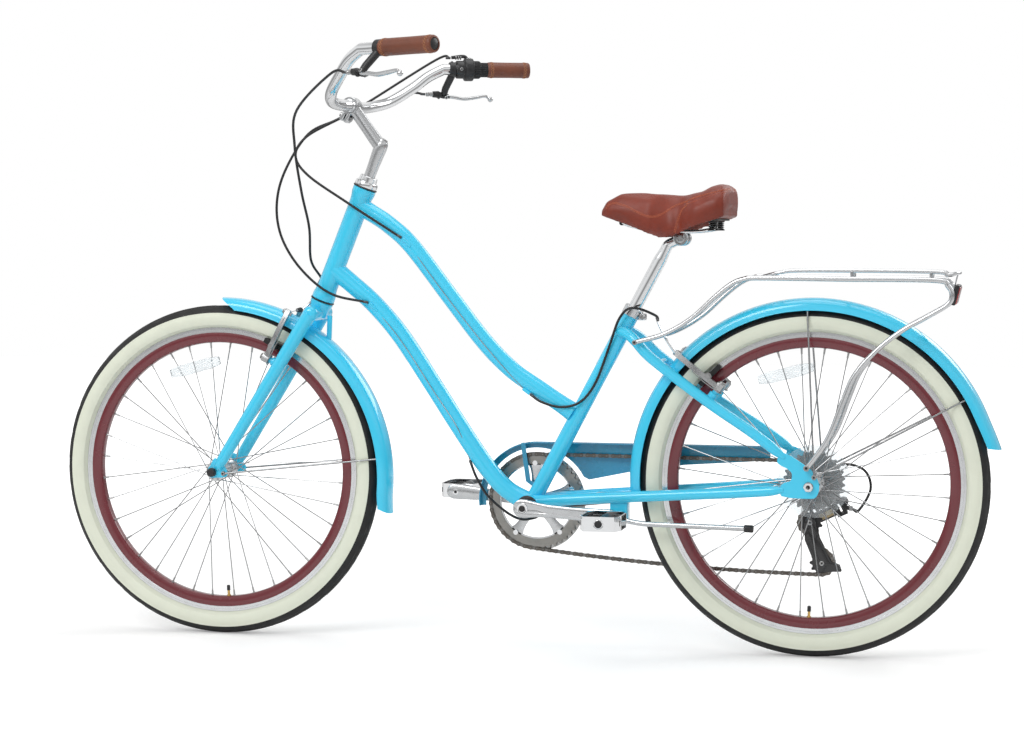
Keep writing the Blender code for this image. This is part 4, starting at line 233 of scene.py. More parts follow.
def leather(name, colour, grain=420.0, rough=0.42, relief=0.35):
    """Brown leather or vinyl: pebbled grain in cells, painted shade in the grain's creases and a rubbed shine.
    """
    s = Shader(name)
    cells = s.cells(grain)
    edges = s.remap(cells, 0.05, 0.5)
    cloud = s.remap(s.noise(22.0, 6.0, 0.6), 0.3, 0.7)
    tone = s.mix(cloud, tinted(colour, 0.78), tinted(colour, 1.18))
    # Painted shade: the low creases between the grain's cells are darkened in colour.
    s.colour(s.mix(s.math("MULTIPLY", edges, 0.35), tone, tinted(colour, 0.7)))
    s.rough(s.remap(cloud, 0.0, 1.0, rough * 0.8, rough * 1.2))
    s.bump(s.math("SUBTRACT", 1.0, edges), relief, 0.0004)
    s.bump(s.noise(90.0, 5.0), 0.2, 0.0012)
    s.set(coat=0.12, coat_rough=0.3)
    return s.material


def clear(name, colour, rough=0.08, grid=0.0):
    """Clear moulded plastic; grid is how strongly a reflector's small prisms show."""
    s = Shader(name)
    s.colour(s.mix(s.remap(s.noise(35.0, 4.0), 0.3, 0.7), colour, tinted(colour, 0.93)))
    s.rough(s.remap(s.noise(50.0, 5.0), 0.3, 0.7, rough * 0.6, rough * 1.6))
    if grid:
        s.bump(s.cells(330.0), grid, 0.0012)
    s.set(transmission=0.85, ior=1.45)
    return s.material


def reflector(name, colour):
    """A reflector lens: a tinted glossy face over a honeycomb of small prisms."""
    s = Shader(name)
    prism = s.cells(360.0)
    share = s.remap(prism, 0.1, 0.6)
    s.colour(s.mix(share, tinted(colour, 1.5, 0.02), tinted(colour, 0.6)))
    s.rough(s.remap(s.noise(40.0, 4.0), 0.3, 0.7, 0.1, 0.22))
    s.bump(prism, 0.5, 0.0008)
    s.set(coat=0.8, coat_rough=0.04)
    return s.material


def ringed(name, centre, bands):
    """Rings round the wheel's axle: bands of (radius, colour), each colour running up to its radius."""
    s = Shader(name)
    split = s.node("ShaderNodeSeparateXYZ")
    s.link(s.where, split.inputs[0])
    dx = s.math("SUBTRACT", split.outputs[0], centre.x)
    dz = s.math("SUBTRACT", split.outputs[2], centre.z)
    radius = s.math("SQRT", s.math("ADD", s.math("MULTIPLY", dx, dx), s.math("MULTIPLY", dz, dz)))
    colour = bands[-1][1]
    for edge, inner in reversed(bands[:-1]):
        share = s.remap(radius, edge - 0.0002, edge + 0.0002)
        colour = s.mix(share, inner, colour)
    dirt = s.remap(s.noise(26.0, 7.0, 0.65), 0.45, 0.8, 0.0, 0.07)
    s.colour(s.mix(dirt, colour, (0.09, 0.08, 0.07, 1.0)))
    s.rough(s.remap(s.noise(50.0, 5.0), 0.3, 0.7, 0.44, 0.66))
    s.bump(s.noise(500.0, 3.0, 0.6), 0.2, 0.0004)
    s.set(specular=0.45)
    return s.material


BLUE = linear(64, 214, 252)
TEAL = linear(38, 152, 186)
SILVER = (0.64, 0.65, 0.66, 1.0)
CHROME = (0.8, 0.81, 0.82, 1.0)
BLACK = (0.014, 0.014, 0.015, 1.0)
BROWN = linear(122, 66, 44)
BURGUNDY = linear(112, 38, 46)
FINISH = {
    "blue_paint": paint("blue_gloss", BLUE),
    "dark_blue_paint": paint("guard_gloss", TEAL, 0.24),
    "chrome_metal": metal("chrome_plate", CHROME, 0.08, None, 0.04, 0.15),
    "silver_metal": metal("polished_alloy", SILVER, 0.24),
    "black_plastic": plastic("black_moulding", BLACK),
    "black_housing": rubber("housing_sleeve", BLACK, 0.38, 1200.0),
    "dark_steel": metal("chain_steel", (0.15, 0.135, 0.12, 1.0), 0.36, None, 0.2, 0.6),
    "brown_leather": leather("brown_vinyl", BROWN),
    "tyre_rubber": rubber("black_rubber", (0.018, 0.018, 0.018, 1.0)),
    "rim_paint": paint("rim_gloss", BURGUNDY, 0.2),
    "clear_plastic": clear("clear_moulding", (0.86, 0.9, 0.92, 1.0)),
    "red_plastic": reflector("red_lens", (0.55, 0.015, 0.02, 1.0)),
}
SPOKE_STEEL = metal("spoke_steel", (0.34, 0.345, 0.35, 1.0), 0.2)
BRUSHED = metal("brushed_alloy", SILVER, 0.3, (1.0, 14.0, 1.0), 0.2)
BLACK_PAINT = paint("black_gloss", (0.012, 0.012, 0.013, 1.0), 0.2)
DARK_ZINC = metal("zinc_bolt", (0.42, 0.42, 0.42, 1.0), 0.32, None, 0.2, 0.5)
AMBER = reflector("amber_lens", (0.85, 0.16, 0.01, 1.0))
WHITE_LENS = clear("white_lens", (0.88, 0.92, 0.94, 1.0), 0.1, 0.6)
PAD_RUBBER = rubber("pad_rubber", (0.02, 0.02, 0.02, 1.0), 0.7)
THREAD = rubber("stitch_thread", linear(176, 120, 84), 0.75, 2500.0)
BEIGE = plastic("beige_cap", linear(176, 158, 120), 0.4)
GREY_STEEL = metal("sprocket_steel", (0.24, 0.23, 0.22, 1.0), 0.38, None, 0.25, 0.6)
BLUE_GLOSS, CHROME_PLATE = FINISH["blue_paint"], FINISH["chrome_metal"]
BLACK_PLASTIC = FINISH["black_plastic"]

for name, solid in NODES.items():
    for slot in solid.material_slots:
        slot.material = FINISH[SLOT_OF[name]]


# Mesh helpers
def emit(name, bm, materials, body, replaces=None, sharp=35.0):
    """Turns a bmesh into a smooth-shaded piece that rides on a body and may stand for a CAD node."""
    bm.normal_update()
    mesh = bpy.data.meshes.new(name)
    bm.to_mesh(mesh)
    bm.free()
    piece = bpy.data.objects.new(name, mesh)
    bpy.context.scene.collection.objects.link(piece)
    for material in materials if isinstance(materials, list) else [materials]:
        mesh.materials.append(material)
    mesh.shade_smooth()
    mesh.set_sharp_from_angle(angle=radians(sharp))
    if body:
        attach(piece, body)
    if replaces:
        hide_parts(replaces)
    return piece


def show(node, bm, looks, sharp=35.0, name=None):
    """Emits the visible form of one CAD node, on the node's body, in the materials given."""
    return emit("fine_" + (name or node), bm, looks, BODY_OF[node], node, sharp)


def ray(angle):
    """The unit direction at an angle in the side view."""
    return Vector((cos(angle), 0.0, sin(angle)))


def mirrored(half, first=1, last=None):
    """A profile with its mirror image added; the slice leaves out points that lie on the middle."""
    return half + [(r, -y) for r, y in reversed(half[first:last])]


def axes(origin, z_axis, x_hint=None):
    """A placement whose Z is z_axis and whose X leans towards x_hint."""
    z_axis = Vector(z_axis).normalized()
    hint = x_hint or (BACK if abs(z_axis.x) < 0.9 else UP)
    y_axis = z_axis.cross(hint).normalized()
    turn = Matrix((y_axis.cross(z_axis), y_axis, z_axis)).transposed().to_4x4()
    return Matrix.Translation(origin) @ turn


def mark(faces, slot):
    """Puts faces in one of the piece's materials."""
    for face in faces:
        face.material_index = slot


def skin(bm, rings, slot=0, closed=False, caps=True):
    """Quads between neighbouring rings of points, with end faces unless the rings close up."""
    faces = []
    for a, b in list(zip(rings, rings[1:])) + ([(rings[-1], rings[0])] if closed else []):
        count = len(a)
        for i in range(count):
            j = (i + 1) % count
            faces.append(bm.faces.new((a[i], a[j], b[j], b[i])))
    if caps and not closed:
        faces += [bm.faces.new(rings[0][::-1]), bm.faces.new(rings[-1])]
    mark(faces, slot)
    bmesh.ops.recalc_face_normals(bm, faces=faces)
    return faces


def turned(bm, profile, place, axis, steps=48, slot=0, shape=None):
    """Turns (radius, height) pairs about an axis; ends on it close the form, others make a ring."""
    matrix = axes(place, axis)
    solid = profile[0][0] == 0.0 and profile[-1][0] == 0.0
    inner = profile[1:-1] if solid else profile
    rings = []
    for k in range(steps):
        angle = tau * k / steps
        ring = []
        for i, (radius, height) in enumerate(inner):
            if shape:
                radius, height = shape(k, i, radius, height)
            ring.append(bm.verts.new(matrix @ Vector((radius * cos(angle), radius * sin(angle), height))))
        rings.append(ring)
    faces = []
    count = len(inner)
    for k in range(steps):
        a, b = rings[k], rings[(k + 1) % steps]
        for i in range(count - 1 if solid else count):
            j = (i + 1) % count
            faces.append(bm.faces.new((a[i], b[i], b[j], a[j])))
    if solid:
        for spot, i in ((profile[0][1], 0), (profile[-1][1], -1)):
            centre = bm.verts.new(matrix @ Vector((0, 0, spot)))
            for k in range(steps):
                faces.append(bm.faces.new((rings[k][i], rings[(k + 1) % steps][i], centre)))
    bmesh.ops.recalc_face_normals(bm, faces=faces)
    mark(faces, slot)
    return faces


def rod(bm, start, end, radius, steps=16, slot=0, end_radius=None, chamfer=0.0):
    """A round bar with flat or chamfered ends."""
    start, end = Vector(start), Vector(end)
    length = (end - start).length
    last = radius if end_radius is None else end_radius
    c = min(chamfer, length / 3, radius / 2)
    profile = [(0.0, 0.0), (radius - c, 0.0)] + ([(radius, c), (last, length - c)] if c else [])
    profile += [(last - c, length), (0.0, length)]
    return turned(bm, profile, start, end - start, steps, slot)


def spline(a, b, c, d, t):
    """A point from b to c on the smooth curve through all four."""
    bend = (2 * a - 5 * b + 4 * c - d) * t * t + (3 * b - a - 3 * c + d) * t**3
    return 0.5 * (2 * b + (c - a) * t + bend)


def path_of(points, steps):
    """A smooth curve through the given points, as the part draws it."""
    given = [Vector(p) for p in points]
    ends = [2 * given[0] - given[1]] + given + [2 * given[-1] - given[-2]]
    path = []
    for i in range(len(given) - 1):
        path += [spline(*ends[i : i + 4], step / steps) for step in range(steps)]
    return path + [given[-1]]


def sweep(bm, path, radius, sides=20, slot=0, closed=False, caps=True, radii=None):
    """A round tube along a fine path, its section carried along without twisting."""
    path = [Vector(p) for p in path]
    count = len(path)
    normal = None
    rings = []
    for i, point in enumerate(path):
        before = path[i - 1] if closed or i else path[i]
        after = path[(i + 1) % count] if closed or i < count - 1 else path[i]
        along = (after - before).normalized()
        if normal is None:
            normal = along.cross(UP if abs(along.z) < 0.9 else BACK).normalized()
        normal = (normal - along * normal.dot(along)).normalized()
        other = along.cross(normal)
        size = radii[i] if radii else radius
        ring = []
        for k in range(sides):
            angle = tau * k / sides
            ring.append(bm.verts.new(point + (normal * cos(angle) + other * sin(angle)) * size))
        rings.append(ring)
    return skin(bm, rings, slot, closed, caps)


def slab(bm, outline, thickness, matrix, slot=0, bevel=0.0):
    """A flat piece from one outline of (x, y) points, centred on its plane, with eased edges."""
    half = thickness / 2
    rings = []
    centre = Vector((sum(p[0] for p in outline) / len(outline), sum(p[1] for p in outline) / len(outline)))
    levels = [(-half, bevel), (-half + bevel, 0.0), (half - bevel, 0.0), (half, bevel)]
    if not bevel:
        levels = [(-half, 0.0), (half, 0.0)]
    for height, inset in levels:
        ring = []
        for x, y in outline:
            spot = Vector((x, y)) - centre
            spot = spot * max(0.0, 1 - inset / max(spot.length, 1e-6)) + centre
            ring.append(bm.verts.new(matrix @ Vector((spot.x, spot.y, height))))
        rings.append(ring)
    return skin(bm, rings, slot)


def block(bm, centre, size, matrix=None, slot=0, bevel=0.001, segments=2):
    """A box with rounded edges."""
    made = bmesh.ops.create_cube(bm, size=1.0)
    verts = made["verts"]
    bmesh.ops.scale(bm, vec=size, verts=verts)
    if bevel:
        edges = list({edge for vert in verts for edge in vert.link_edges})
        done = bmesh.ops.bevel(
            bm, geom=edges, offset=bevel, segments=segments, affect="EDGES", profile=0.5, clamp_overlap=True
        )
        left = {vert for vert in verts if vert.is_valid}
        verts = list({vert for face in done["faces"] for vert in face.verts} | left)
    bmesh.ops.translate(bm, vec=Vector(centre), verts=verts)
    if matrix:
        bmesh.ops.transform(bm, matrix=matrix, verts=verts)
    mark({face for vert in verts for face in vert.link_faces}, slot)


def nut(bm, centre, axis, radius, height, slot=0):
    """A hexagon nut with domed corners."""
    hexagon = [(radius * cos(tau * i / 6), radius * sin(tau * i / 6)) for i in range(6)]
    slab(bm, hexagon, height, axes(Vector(centre), axis), slot, min(0.0006, height / 4))


def screw(bm, centre, axis, radius, height, slot=0, dark=None):
    """A round socket-head screw; its socket is a sunken hexagon whose floor, in the dark slot, is painted
    shade.
    """
    axis = Vector(axis).normalized()
    centre = Vector(centre)
    rim = radius * 0.86
    profile = [(0.0, 0.0), (radius, 0.0), (radius, height * 0.8), (rim, height)]
    profile += [(radius * 0.5, height), (radius * 0.45, height * 0.45), (0.0, height * 0.45)]
    faces = turned(bm, profile, centre, axis, 20, slot)
    # Painted shade: the socket's floor takes the dark slot's material.
    if dark is not None:
        floor = centre + axis * height * 0.45
        mark([f for f in faces if (f.calc_center_median() - floor).length < radius * 0.4], dark)


def dressed(name, materials, bevel, extra=None, sharp=35.0):
    """A CAD node shown as a welded, smooth-shaded copy with eased edges and any added detail."""
    bm = bmesh.new()
    bm.from_mesh(NODES[name].data)
    bm.transform(NODES[name].matrix_world)
    bmesh.ops.remove_doubles(bm, verts=bm.verts, dist=0.00002)
    bmesh.ops.dissolve_limit(bm, angle_limit=radians(0.5), verts=bm.verts, edges=bm.edges)
    mark(bm.faces, 0)
    edges = [e for e in bm.edges if len(e.link_faces) == 2 and e.calc_face_angle(0.0) > radians(30)]
    bmesh.ops.bevel(bm, geom=edges, offset=bevel, segments=1, affect="EDGES", profile=0.5, clamp_overlap=True)
    if extra:
        extra(bm)
    show(name, bm, materials, sharp)


# Wheels
TRACK = metal("machined_track", (0.78, 0.79, 0.8, 1.0), 0.2, None, 0.1)
WALL_EDGE = 0.3158  # radius where the cream wall meets the black tread
WALL_BANDS = [(WALL_EDGE, linear(233, 237, 219)), (1.0, (0.02, 0.02, 0.02, 1.0))]
TYRE_WALL = ringed("tyre_wall", FRONT, WALL_BANDS)
TYRE_WALL_REAR = ringed("tyre_wall_rear", REAR, WALL_BANDS)
BRASS = metal("brass_valve", (0.72, 0.47, 0.16, 1.0), 0.28)


def fine_tyre(name, axle, wall):
    """A tyre with a cream wall, a thin raised line and a black tread cut into small blocks."""
    marks = [0.0, 9, 18, 27, 36, 45, 54, 60, 64.5, 66, 69, 78, 88, 100, 112, 124, 134]
    half = []
    for degrees in marks:
        angle = radians(degrees)
        swell = 0.0006 if degrees == 66 else 0.0
        half.append((0.305 + (0.025 + swell - 0.0006) * cos(angle), (0.025 + swell - 0.0006) * sin(angle)))
    half = [(r, y) for r, y in half if r > 0.2895] + [(0.288, 0.0135), (0.2868, 0.0105), (0.279, 0.009)]
    tread = sum(1 for degrees in marks if degrees < 61)
    count = len(half)
    profile = mirrored(half)

    def shape(k, i, radius, height):
        side = i if i < count else 2 * count - 1 - i
        if side < tread:
            row = side // 2
            groove = (k + row * 3 + (0 if i < count else 2)) % 6 == 0
            if groove or side == 3:
                return radius - 0.0011, height * (0.985 if side > 5 else 1.0)
            return radius + 0.0006, height
        return radius, height

    bm = bmesh.new()
    faces = turned(bm, profile, axle, SIDE, 216, 0, shape)
    for face in faces:
        spot = face.calc_center_median()
        if hypot(spot.x - axle.x, spot.z - axle.z) > WALL_EDGE:
            face.material_index = 1
    show(name, bm, [wall, FINISH["tyre_rubber"]], 28)


def fine_rim(name, axle, valve_turn):
    """A rounded box rim with machined brake walls, spoke eyelets, and a brass valve with its cap."""
    half = [(0.2556, 0.0), (0.2557, 0.005), (0.2563, 0.0078), (0.258, 0.0098), (0.261, 0.0107), (0.268, 0.0112)]
    half += [(0.275, 0.0114), (0.2753, 0.01125), (0.2757, 0.01125), (0.276, 0.0116), (0.2812, 0.0117)]
    half += [(0.2814, 0.0114), (0.2818, 0.0114), (0.282, 0.0118), (0.2858, 0.0118), (0.2865, 0.0113)]
    half += [(0.2863, 0.0098), (0.282, 0.0095), (0.2785, 0.009)]
    profile = mirrored(half)
    bm = bmesh.new()
    for face in turned(bm, profile, axle, SIDE, 144):
        spot = face.calc_center_median()
        if hypot(spot.x - axle.x, spot.z - axle.z) > 0.2756:
            face.material_index = 1
    down = Vector((sin(valve_turn), 0.0, -cos(valve_turn)))
    foot = axle + down * 0.2575
    rod(bm, foot, axle + down * 0.24, 0.0026, 16, 2)
    turned(bm, [(0.0, 0.0), (0.0042, 0.0), (0.0042, 0.0016), (0.0, 0.0016)], axle + down * 0.2555, -down, 16, 2)
    cap = [(0.0, 0.0), (0.0036, 0.0), (0.0036, 0.0085), (0.0026, 0.0105), (0.0, 0.0108)]
    turned(bm, cap, axle + down * 0.2448, -down, 16, 3, lambda k, i, r, h: (r * (0.93 if k % 2 else 1.0), h))
    materials = [FINISH["rim_paint"], TRACK, BRASS, BLACK_PLASTIC]
    show(name, bm, materials, 30)


def fine_hub(name, axle, left_y, right_y, half_length, boss=None):
    """A turned hub shell with bearing caps, and 36 laced spokes with elbows and nipples."""
    bm = bmesh.new()
    profile = [(0.0058, -half_length), (0.01, -half_length), (0.0105, -half_length + 0.0008)]
    flank = [(0.0128, -0.0052), (0.015, -0.003), (0.0198, -0.0021), (0.0205, -0.0013)]
    for flange in (-left_y, right_y):
        profile += [(radius, flange + y) for radius, y in mirrored(flank, 0)]
    if boss:
        profile[-2:] = [(0.016, right_y + 0.0031), (0.016, boss), (0.0058, boss)]
    else:
        profile += [(0.0105, half_length - 0.0008), (0.01, half_length), (0.0058, half_length)]
    turned(bm, profile, axle, SIDE, 48, 0)
    spokes = 18  # on each flange
    phase, step = pi / (2 * spokes), tau / spokes
    for side, flange, shift in ((-1, left_y, 0.0), (1, right_y, step / 2)):
        for i in range(spokes):
            way = 1 if i % 2 == 0 else -1
            at_hub = phase + shift + i * step
            at_rim = at_hub + way * 3 * step
            y_hub = side * (flange + way * 0.0014)
            start = axle + Vector((0.0165 * cos(at_hub), y_hub, 0.0165 * sin(at_hub)))
            end = axle + Vector((0.2553 * cos(at_rim), side * 0.003, 0.2553 * sin(at_rim)))
            rod(bm, start, end, 0.001, 8, 1)
            along = (end - start).normalized()
            rod(bm, end - along * 0.011, end + along * 0.001, 0.0017, 8, 2, 0.002, 0.0003)
            rod(bm, end - along * 0.0004, end + along * 0.0006, 0.003, 10, 2)
            head = start + SIDE * side * way * 0.001
            rod(bm, head, start - SIDE * side * way * 0.0032, 0.0012, 8, 1)
            rod(bm, head, head + SIDE * side * way * 0.0009, 0.002, 8, 1)
    show(name, bm, [BRUSHED, SPOKE_STEEL, DARK_ZINC])


fine_tyre("front_tyre", FRONT, TYRE_WALL)
fine_tyre("rear_tyre", REAR, TYRE_WALL_REAR)
fine_rim("front_rim", FRONT, radians(2.6))
fine_rim("rear_rim", REAR, radians(-1.3))
fine_hub("front_hub", FRONT, 0.0335, 0.0335, 0.0429)
fine_hub("rear_hub", REAR, 0.037, 0.0185, 0.0604, 0.0604)


# Frame, fork, fenders and rack
HEAD_BASE = at(-0.3763, 0.0, 0.6724)
HEAD_AXIS = ray(radians(67.9))
SEAT_TOP = at(0.25, 0.0, 0.657)
SEAT_AXIS = (SEAT_TOP - CRANK).normalized()
FENDER_CENTRE = at(-0.588, 0.0, 0.3225)
FENDER_RADIUS = {"front": 0.3535, "rear": 0.35}
BRAKE_SLOPE = {"front": radians(63.7), "rear": radians(141.8)}
BRAKE_FOOT = {"front": at(-0.4805, 0, 0.557), "rear": at(0.4193, 0, 0.5108)}
# The outer end and the knee of each brake's cable noodle
NOODLES = {
    "front": (at(-0.396, 0.033, 0.702), at(-0.413, 0.048, 0.67)),
    "rear": (at(0.3015, -0.027, 0.633), at(0.32, -0.044, 0.601)),
}


def head(height, forward=0.0):
    """A point up the head tube's axis from its foot, and forward of it."""
    return HEAD_BASE + HEAD_AXIS * height + Vector((-HEAD_AXIS.z, 0, HEAD_AXIS.x)) * forward


def placed(points, side=0):
    """Points in building coordinates, on one side of the bike where a side is given."""
    return [at(x, side * abs(y) if side else y, z) for x, y, z in points]


def filleted(points):
    """A path of straight runs with its corners rounded."""
    reach, steps = 0.012, 5
    points = [Vector(p) for p in points]
    path = [points[0]]
    for before, corner, after in zip(points, points[1:], points[2:]):
        near = min(reach, (corner - before).length * 0.45)
        far = min(reach, (after - corner).length * 0.45)
        a = corner + (before - corner).normalized() * near
        b = corner + (after - corner).normalized() * far
        for k in range(steps + 1):
            t = k / steps
            path.append(a * (1 - t) ** 2 + corner * 2 * t * (1 - t) + b * t * t)
    return path + [points[-1]]


def soft(outline):
    """A closed outline with its corners eased by a spline."""
    steps = 3
    count = len(outline)
    made = []
    for i in range(count):
        corners = [Vector(outline[(i + k) % count]) for k in (-1, 0, 1, 2)]
        made += [tuple(spline(*corners, step / steps)) for step in range(steps)]
    return made


def upright(y):
    """The plane of the side view at a given y."""
    return axes(Vector((SHIFT, y, 0)), -SIDE, BACK)


def flared(path, radius, swell, reach):
    """Radii that swell into a weld at both ends of a tube."""
    lengths = [0.0]
    for a, b in zip(path, path[1:]):
        lengths.append(lengths[-1] + (b - a).length)
    ends = [min(s, lengths[-1] - s) for s in lengths]
    return [radius + swell * max(0.0, 1 - s / reach) ** 2 for s in ends]


def brake_axis(which):
    """The direction of a brake's pivots, square to its arms."""
    return ray(BRAKE_SLOPE[which] + (pi / 2 if which == "front" else -pi / 2))


def boss(bm, which, side, shoulder):
    """A brake's pivot boss on the frame or the fork, up to the arm's shoulder."""
    axis = brake_axis(which)
    profile = [(0.0, 0.0), (0.0085, 0.0), (0.0087, shoulder - 0.001), (0.0078, shoulder), (0.0055, shoulder)]
    foot = BRAKE_FOOT[which] + SIDE * side * 0.04 - axis * 0.03
    turned(bm, profile + [(0.0055, 0.031), (0.0, 0.031)], foot, axis, 28)


def fine_frame():
    """The welded frame: tubes with flared welds, dropouts, bosses, bridge and housing stops."""
    bm = bmesh.new()
    tube = [(0.0165, 0.0), (0.0218, 0.0), (0.0228, 0.001), (0.0228, 0.0098), (0.022, 0.0135), (0.0205, 0.0215)]
    tube += [(0.0198, 0.029)]
    tube += [(radius, 0.236 - height) for radius, height in reversed(tube)]
    turned(bm, tube, HEAD_BASE, HEAD_AXIS, 56)
    top = [(-0.306, 0, 0.861), (-0.276, 0, 0.8435), (-0.237, 0, 0.818)]
    top += [(-0.19, 0, 0.775), (-0.1105, 0, 0.673), (-0.047, 0, 0.5925), (0.007, 0, 0.5385)]
    top += [(0.066, 0, 0.4985), (0.131, 0, 0.456)]
    down = [(-0.351, 0, 0.731), (-0.315, 0, 0.703), (-0.268, 0, 0.662), (-0.215, 0, 0.6015)]
    down += [(-0.15, 0, 0.5055), (-0.0995, 0, 0.4285), (-0.046, 0, 0.351), (-0.005, 0, 0.306)]
    down += [(0.04, 0, 0.279)]
    for points, radius in ((top, 0.0172), (down, 0.0182)):
        path = path_of(placed(points), 10)
        sweep(bm, path, radius, 36, radii=flared(path, radius, 0.0022, 0.045))
    turned(bm, [(0.0175, -0.034), (0.02, -0.034), (0.0208, -0.033), (0.0208, 0.033), (0.02, 0.034),
                (0.0175, 0.034)], CRANK, SIDE, 48)
    post = [CRANK + SEAT_AXIS * 0.004, CRANK + SEAT_AXIS * 0.05, SEAT_TOP - SEAT_AXIS * 0.012]
    sweep(bm, post, 0.0153, 36, caps=False)
    length = (SEAT_TOP - CRANK).length
    turned(bm, [(0.0131, length - 0.06), (0.0131, length), (0.015, length), (0.0152, length - 0.014),
                (0.0152, length - 0.06)], CRANK, SEAT_AXIS, 36)
    chain = [(0.058, 0.0185, 0.284), (0.115, 0.03, 0.289), (0.185, 0.0385, 0.295), (0.33, 0.0465, 0.3055)]
    chain += [(0.46, 0.059, 0.315), (0.546, 0.07, 0.323)]
    seat = [(0.224, 0.012, 0.615), (0.242, 0.025, 0.61), (0.26, 0.037, 0.596), (0.295, 0.0455, 0.562)]
    seat += [(0.4, 0.05, 0.484), (0.485, 0.06, 0.429), (0.548, 0.07, 0.383)]
    x, z = 0.592, 0.33
    drop = [(x - 0.052, z + 0.062), (x - 0.034, z + 0.058), (x - 0.006, z + 0.04), (x + 0.01, z + 0.026)]
    drop += [(x + 0.02, z + 0.004), (x + 0.016, z - 0.016), (x + 0.002, z - 0.022), (x - 0.05, z - 0.018)]
    drop += [(x - 0.05, z + 0.004), (x - 0.034, z + 0.01), (x - 0.031, z + 0.024), (x - 0.04, z + 0.034)]
    drop += [(x - 0.058, z + 0.044)]
    for side in (1, -1):
        path = path_of(placed(chain, side), 8)
        count = len(path)
        radii = [0.0114 - 0.0016 * i / count for i in range(count)]
        radii[-3:] = [0.009, 0.0074, 0.0044]
        sweep(bm, path, 0.0114, 28, radii=radii)
        path = path_of(placed(seat, side), 8)
        radii = [0.0102] * (len(path) - 3) + [0.0092, 0.0074, 0.0044]
        sweep(bm, path, 0.0102, 28, radii=radii)
        slab(bm, soft(drop), 0.005, upright(side * 0.07), 0, 0.0008)
        boss(bm, "rear", side, 0.0165)
        rod(bm, at(0.302, side * 0.044, 0.556), at(0.302, side * 0.049, 0.556), 0.008, 20, 0, 0.0062, 0.001)
    plate = [(0.174, -0.03), (0.174, 0.03), (0.234, 0.036), (0.238, 0.018), (0.238, -0.018), (0.234, -0.036)]
    slab(bm, plate, 0.01, axes(Vector((SHIFT, 0, 0.2965)), UP, BACK), 0, 0.002)
    block(bm, at(0.227, -0.027, 0.277), (0.034, 0.03, 0.05), None, 0, 0.0035, 3)
    rod(bm, at(0.302, -0.045, 0.556), at(0.302, 0.045, 0.556), 0.0064, 24)
    for a, b, radius in (
        ((-0.206, -0.02, 0.7925), (-0.19, -0.015, 0.7765), 0.0043),
        ((-0.274, -0.021, 0.666), (-0.259, -0.016, 0.651), 0.0043),
        ((0.0335, -0.0113, 0.5022), (0.047, -0.0122, 0.4916), 0.0041),
    ):
        rod(bm, at(*a), at(*b), radius, 18, 0, radius * 0.8, 0.0008)
    show("frame", bm, BLUE_GLOSS, 40)


def fine_fork():
    """The fork: crown, tapered blades drawn to the dropouts, brake bosses and the threaded steerer."""
    bm = bmesh.new()
    neck = [(0.0, 0.0), (0.0215, 0.0), (0.0226, -0.001), (0.0226, -0.0042), (0.0205, -0.011), (0.0194, -0.018)]
    turned(bm, neck + [(0.0188, -0.03), (0.0, -0.03)], head(-0.0033), HEAD_AXIS, 48)
    middle = head(-0.029)
    spans = [-0.0568, -0.0555, -0.053, -0.049, -0.042, 0.042, 0.049, 0.053, 0.0555, 0.0568]
    sizes = [0.005, 0.0092, 0.0126, 0.0146, 0.0151, 0.0151, 0.0146, 0.0126, 0.0092, 0.005]
    sweep(bm, [middle + SIDE * y for y in spans], 0.015, 36, radii=sizes)
    turned(bm, [(0.0114, -0.01), (0.0127, -0.01), (0.0127, 0.2555), (0.0114, 0.2555)], HEAD_BASE, HEAD_AXIS, 36)
    tab = [(x - 0.592, z + 0.33) for x, z in
           [(0.0115 * cos(radians(d)), 0.0115 * sin(radians(d))) for d in (150, 182, 215, 247, 280)]]
    tab += [(-0.564, 0.321), (-0.562, 0.334), (-0.574, 0.348), (-0.587, 0.358), (-0.596, 0.344)]
    for side in (1, -1):
        start, end = at(-0.389, side * 0.0455, 0.645), at(-0.583, side * 0.057, 0.334)
        marks = [(0.0, 0.0139), (0.25, 0.0133), (0.5, 0.0126), (0.75, 0.0119), (0.9, 0.0115), (0.93, 0.0112)]
        path = [start.lerp(end, t) for t, _ in marks]
        radii = [r for _, r in marks]
        for t, y, r in ((0.955, 0.0555, 0.0104), (0.975, 0.0542, 0.0088), (0.99, 0.0532, 0.0066),
                        (1.0, 0.0527, 0.0036)):
            spot = start.lerp(end, t)
            path.append(Vector((spot.x, side * y, spot.z)))
            radii.append(r)
        sweep(bm, path, 0.014, 32, radii=radii)
        slab(bm, soft(tab), 0.005, upright(side * 0.0525), 0, 0.0008)
        boss(bm, "front", side, 0.018)
    show("fork", bm, BLUE_GLOSS, 40)


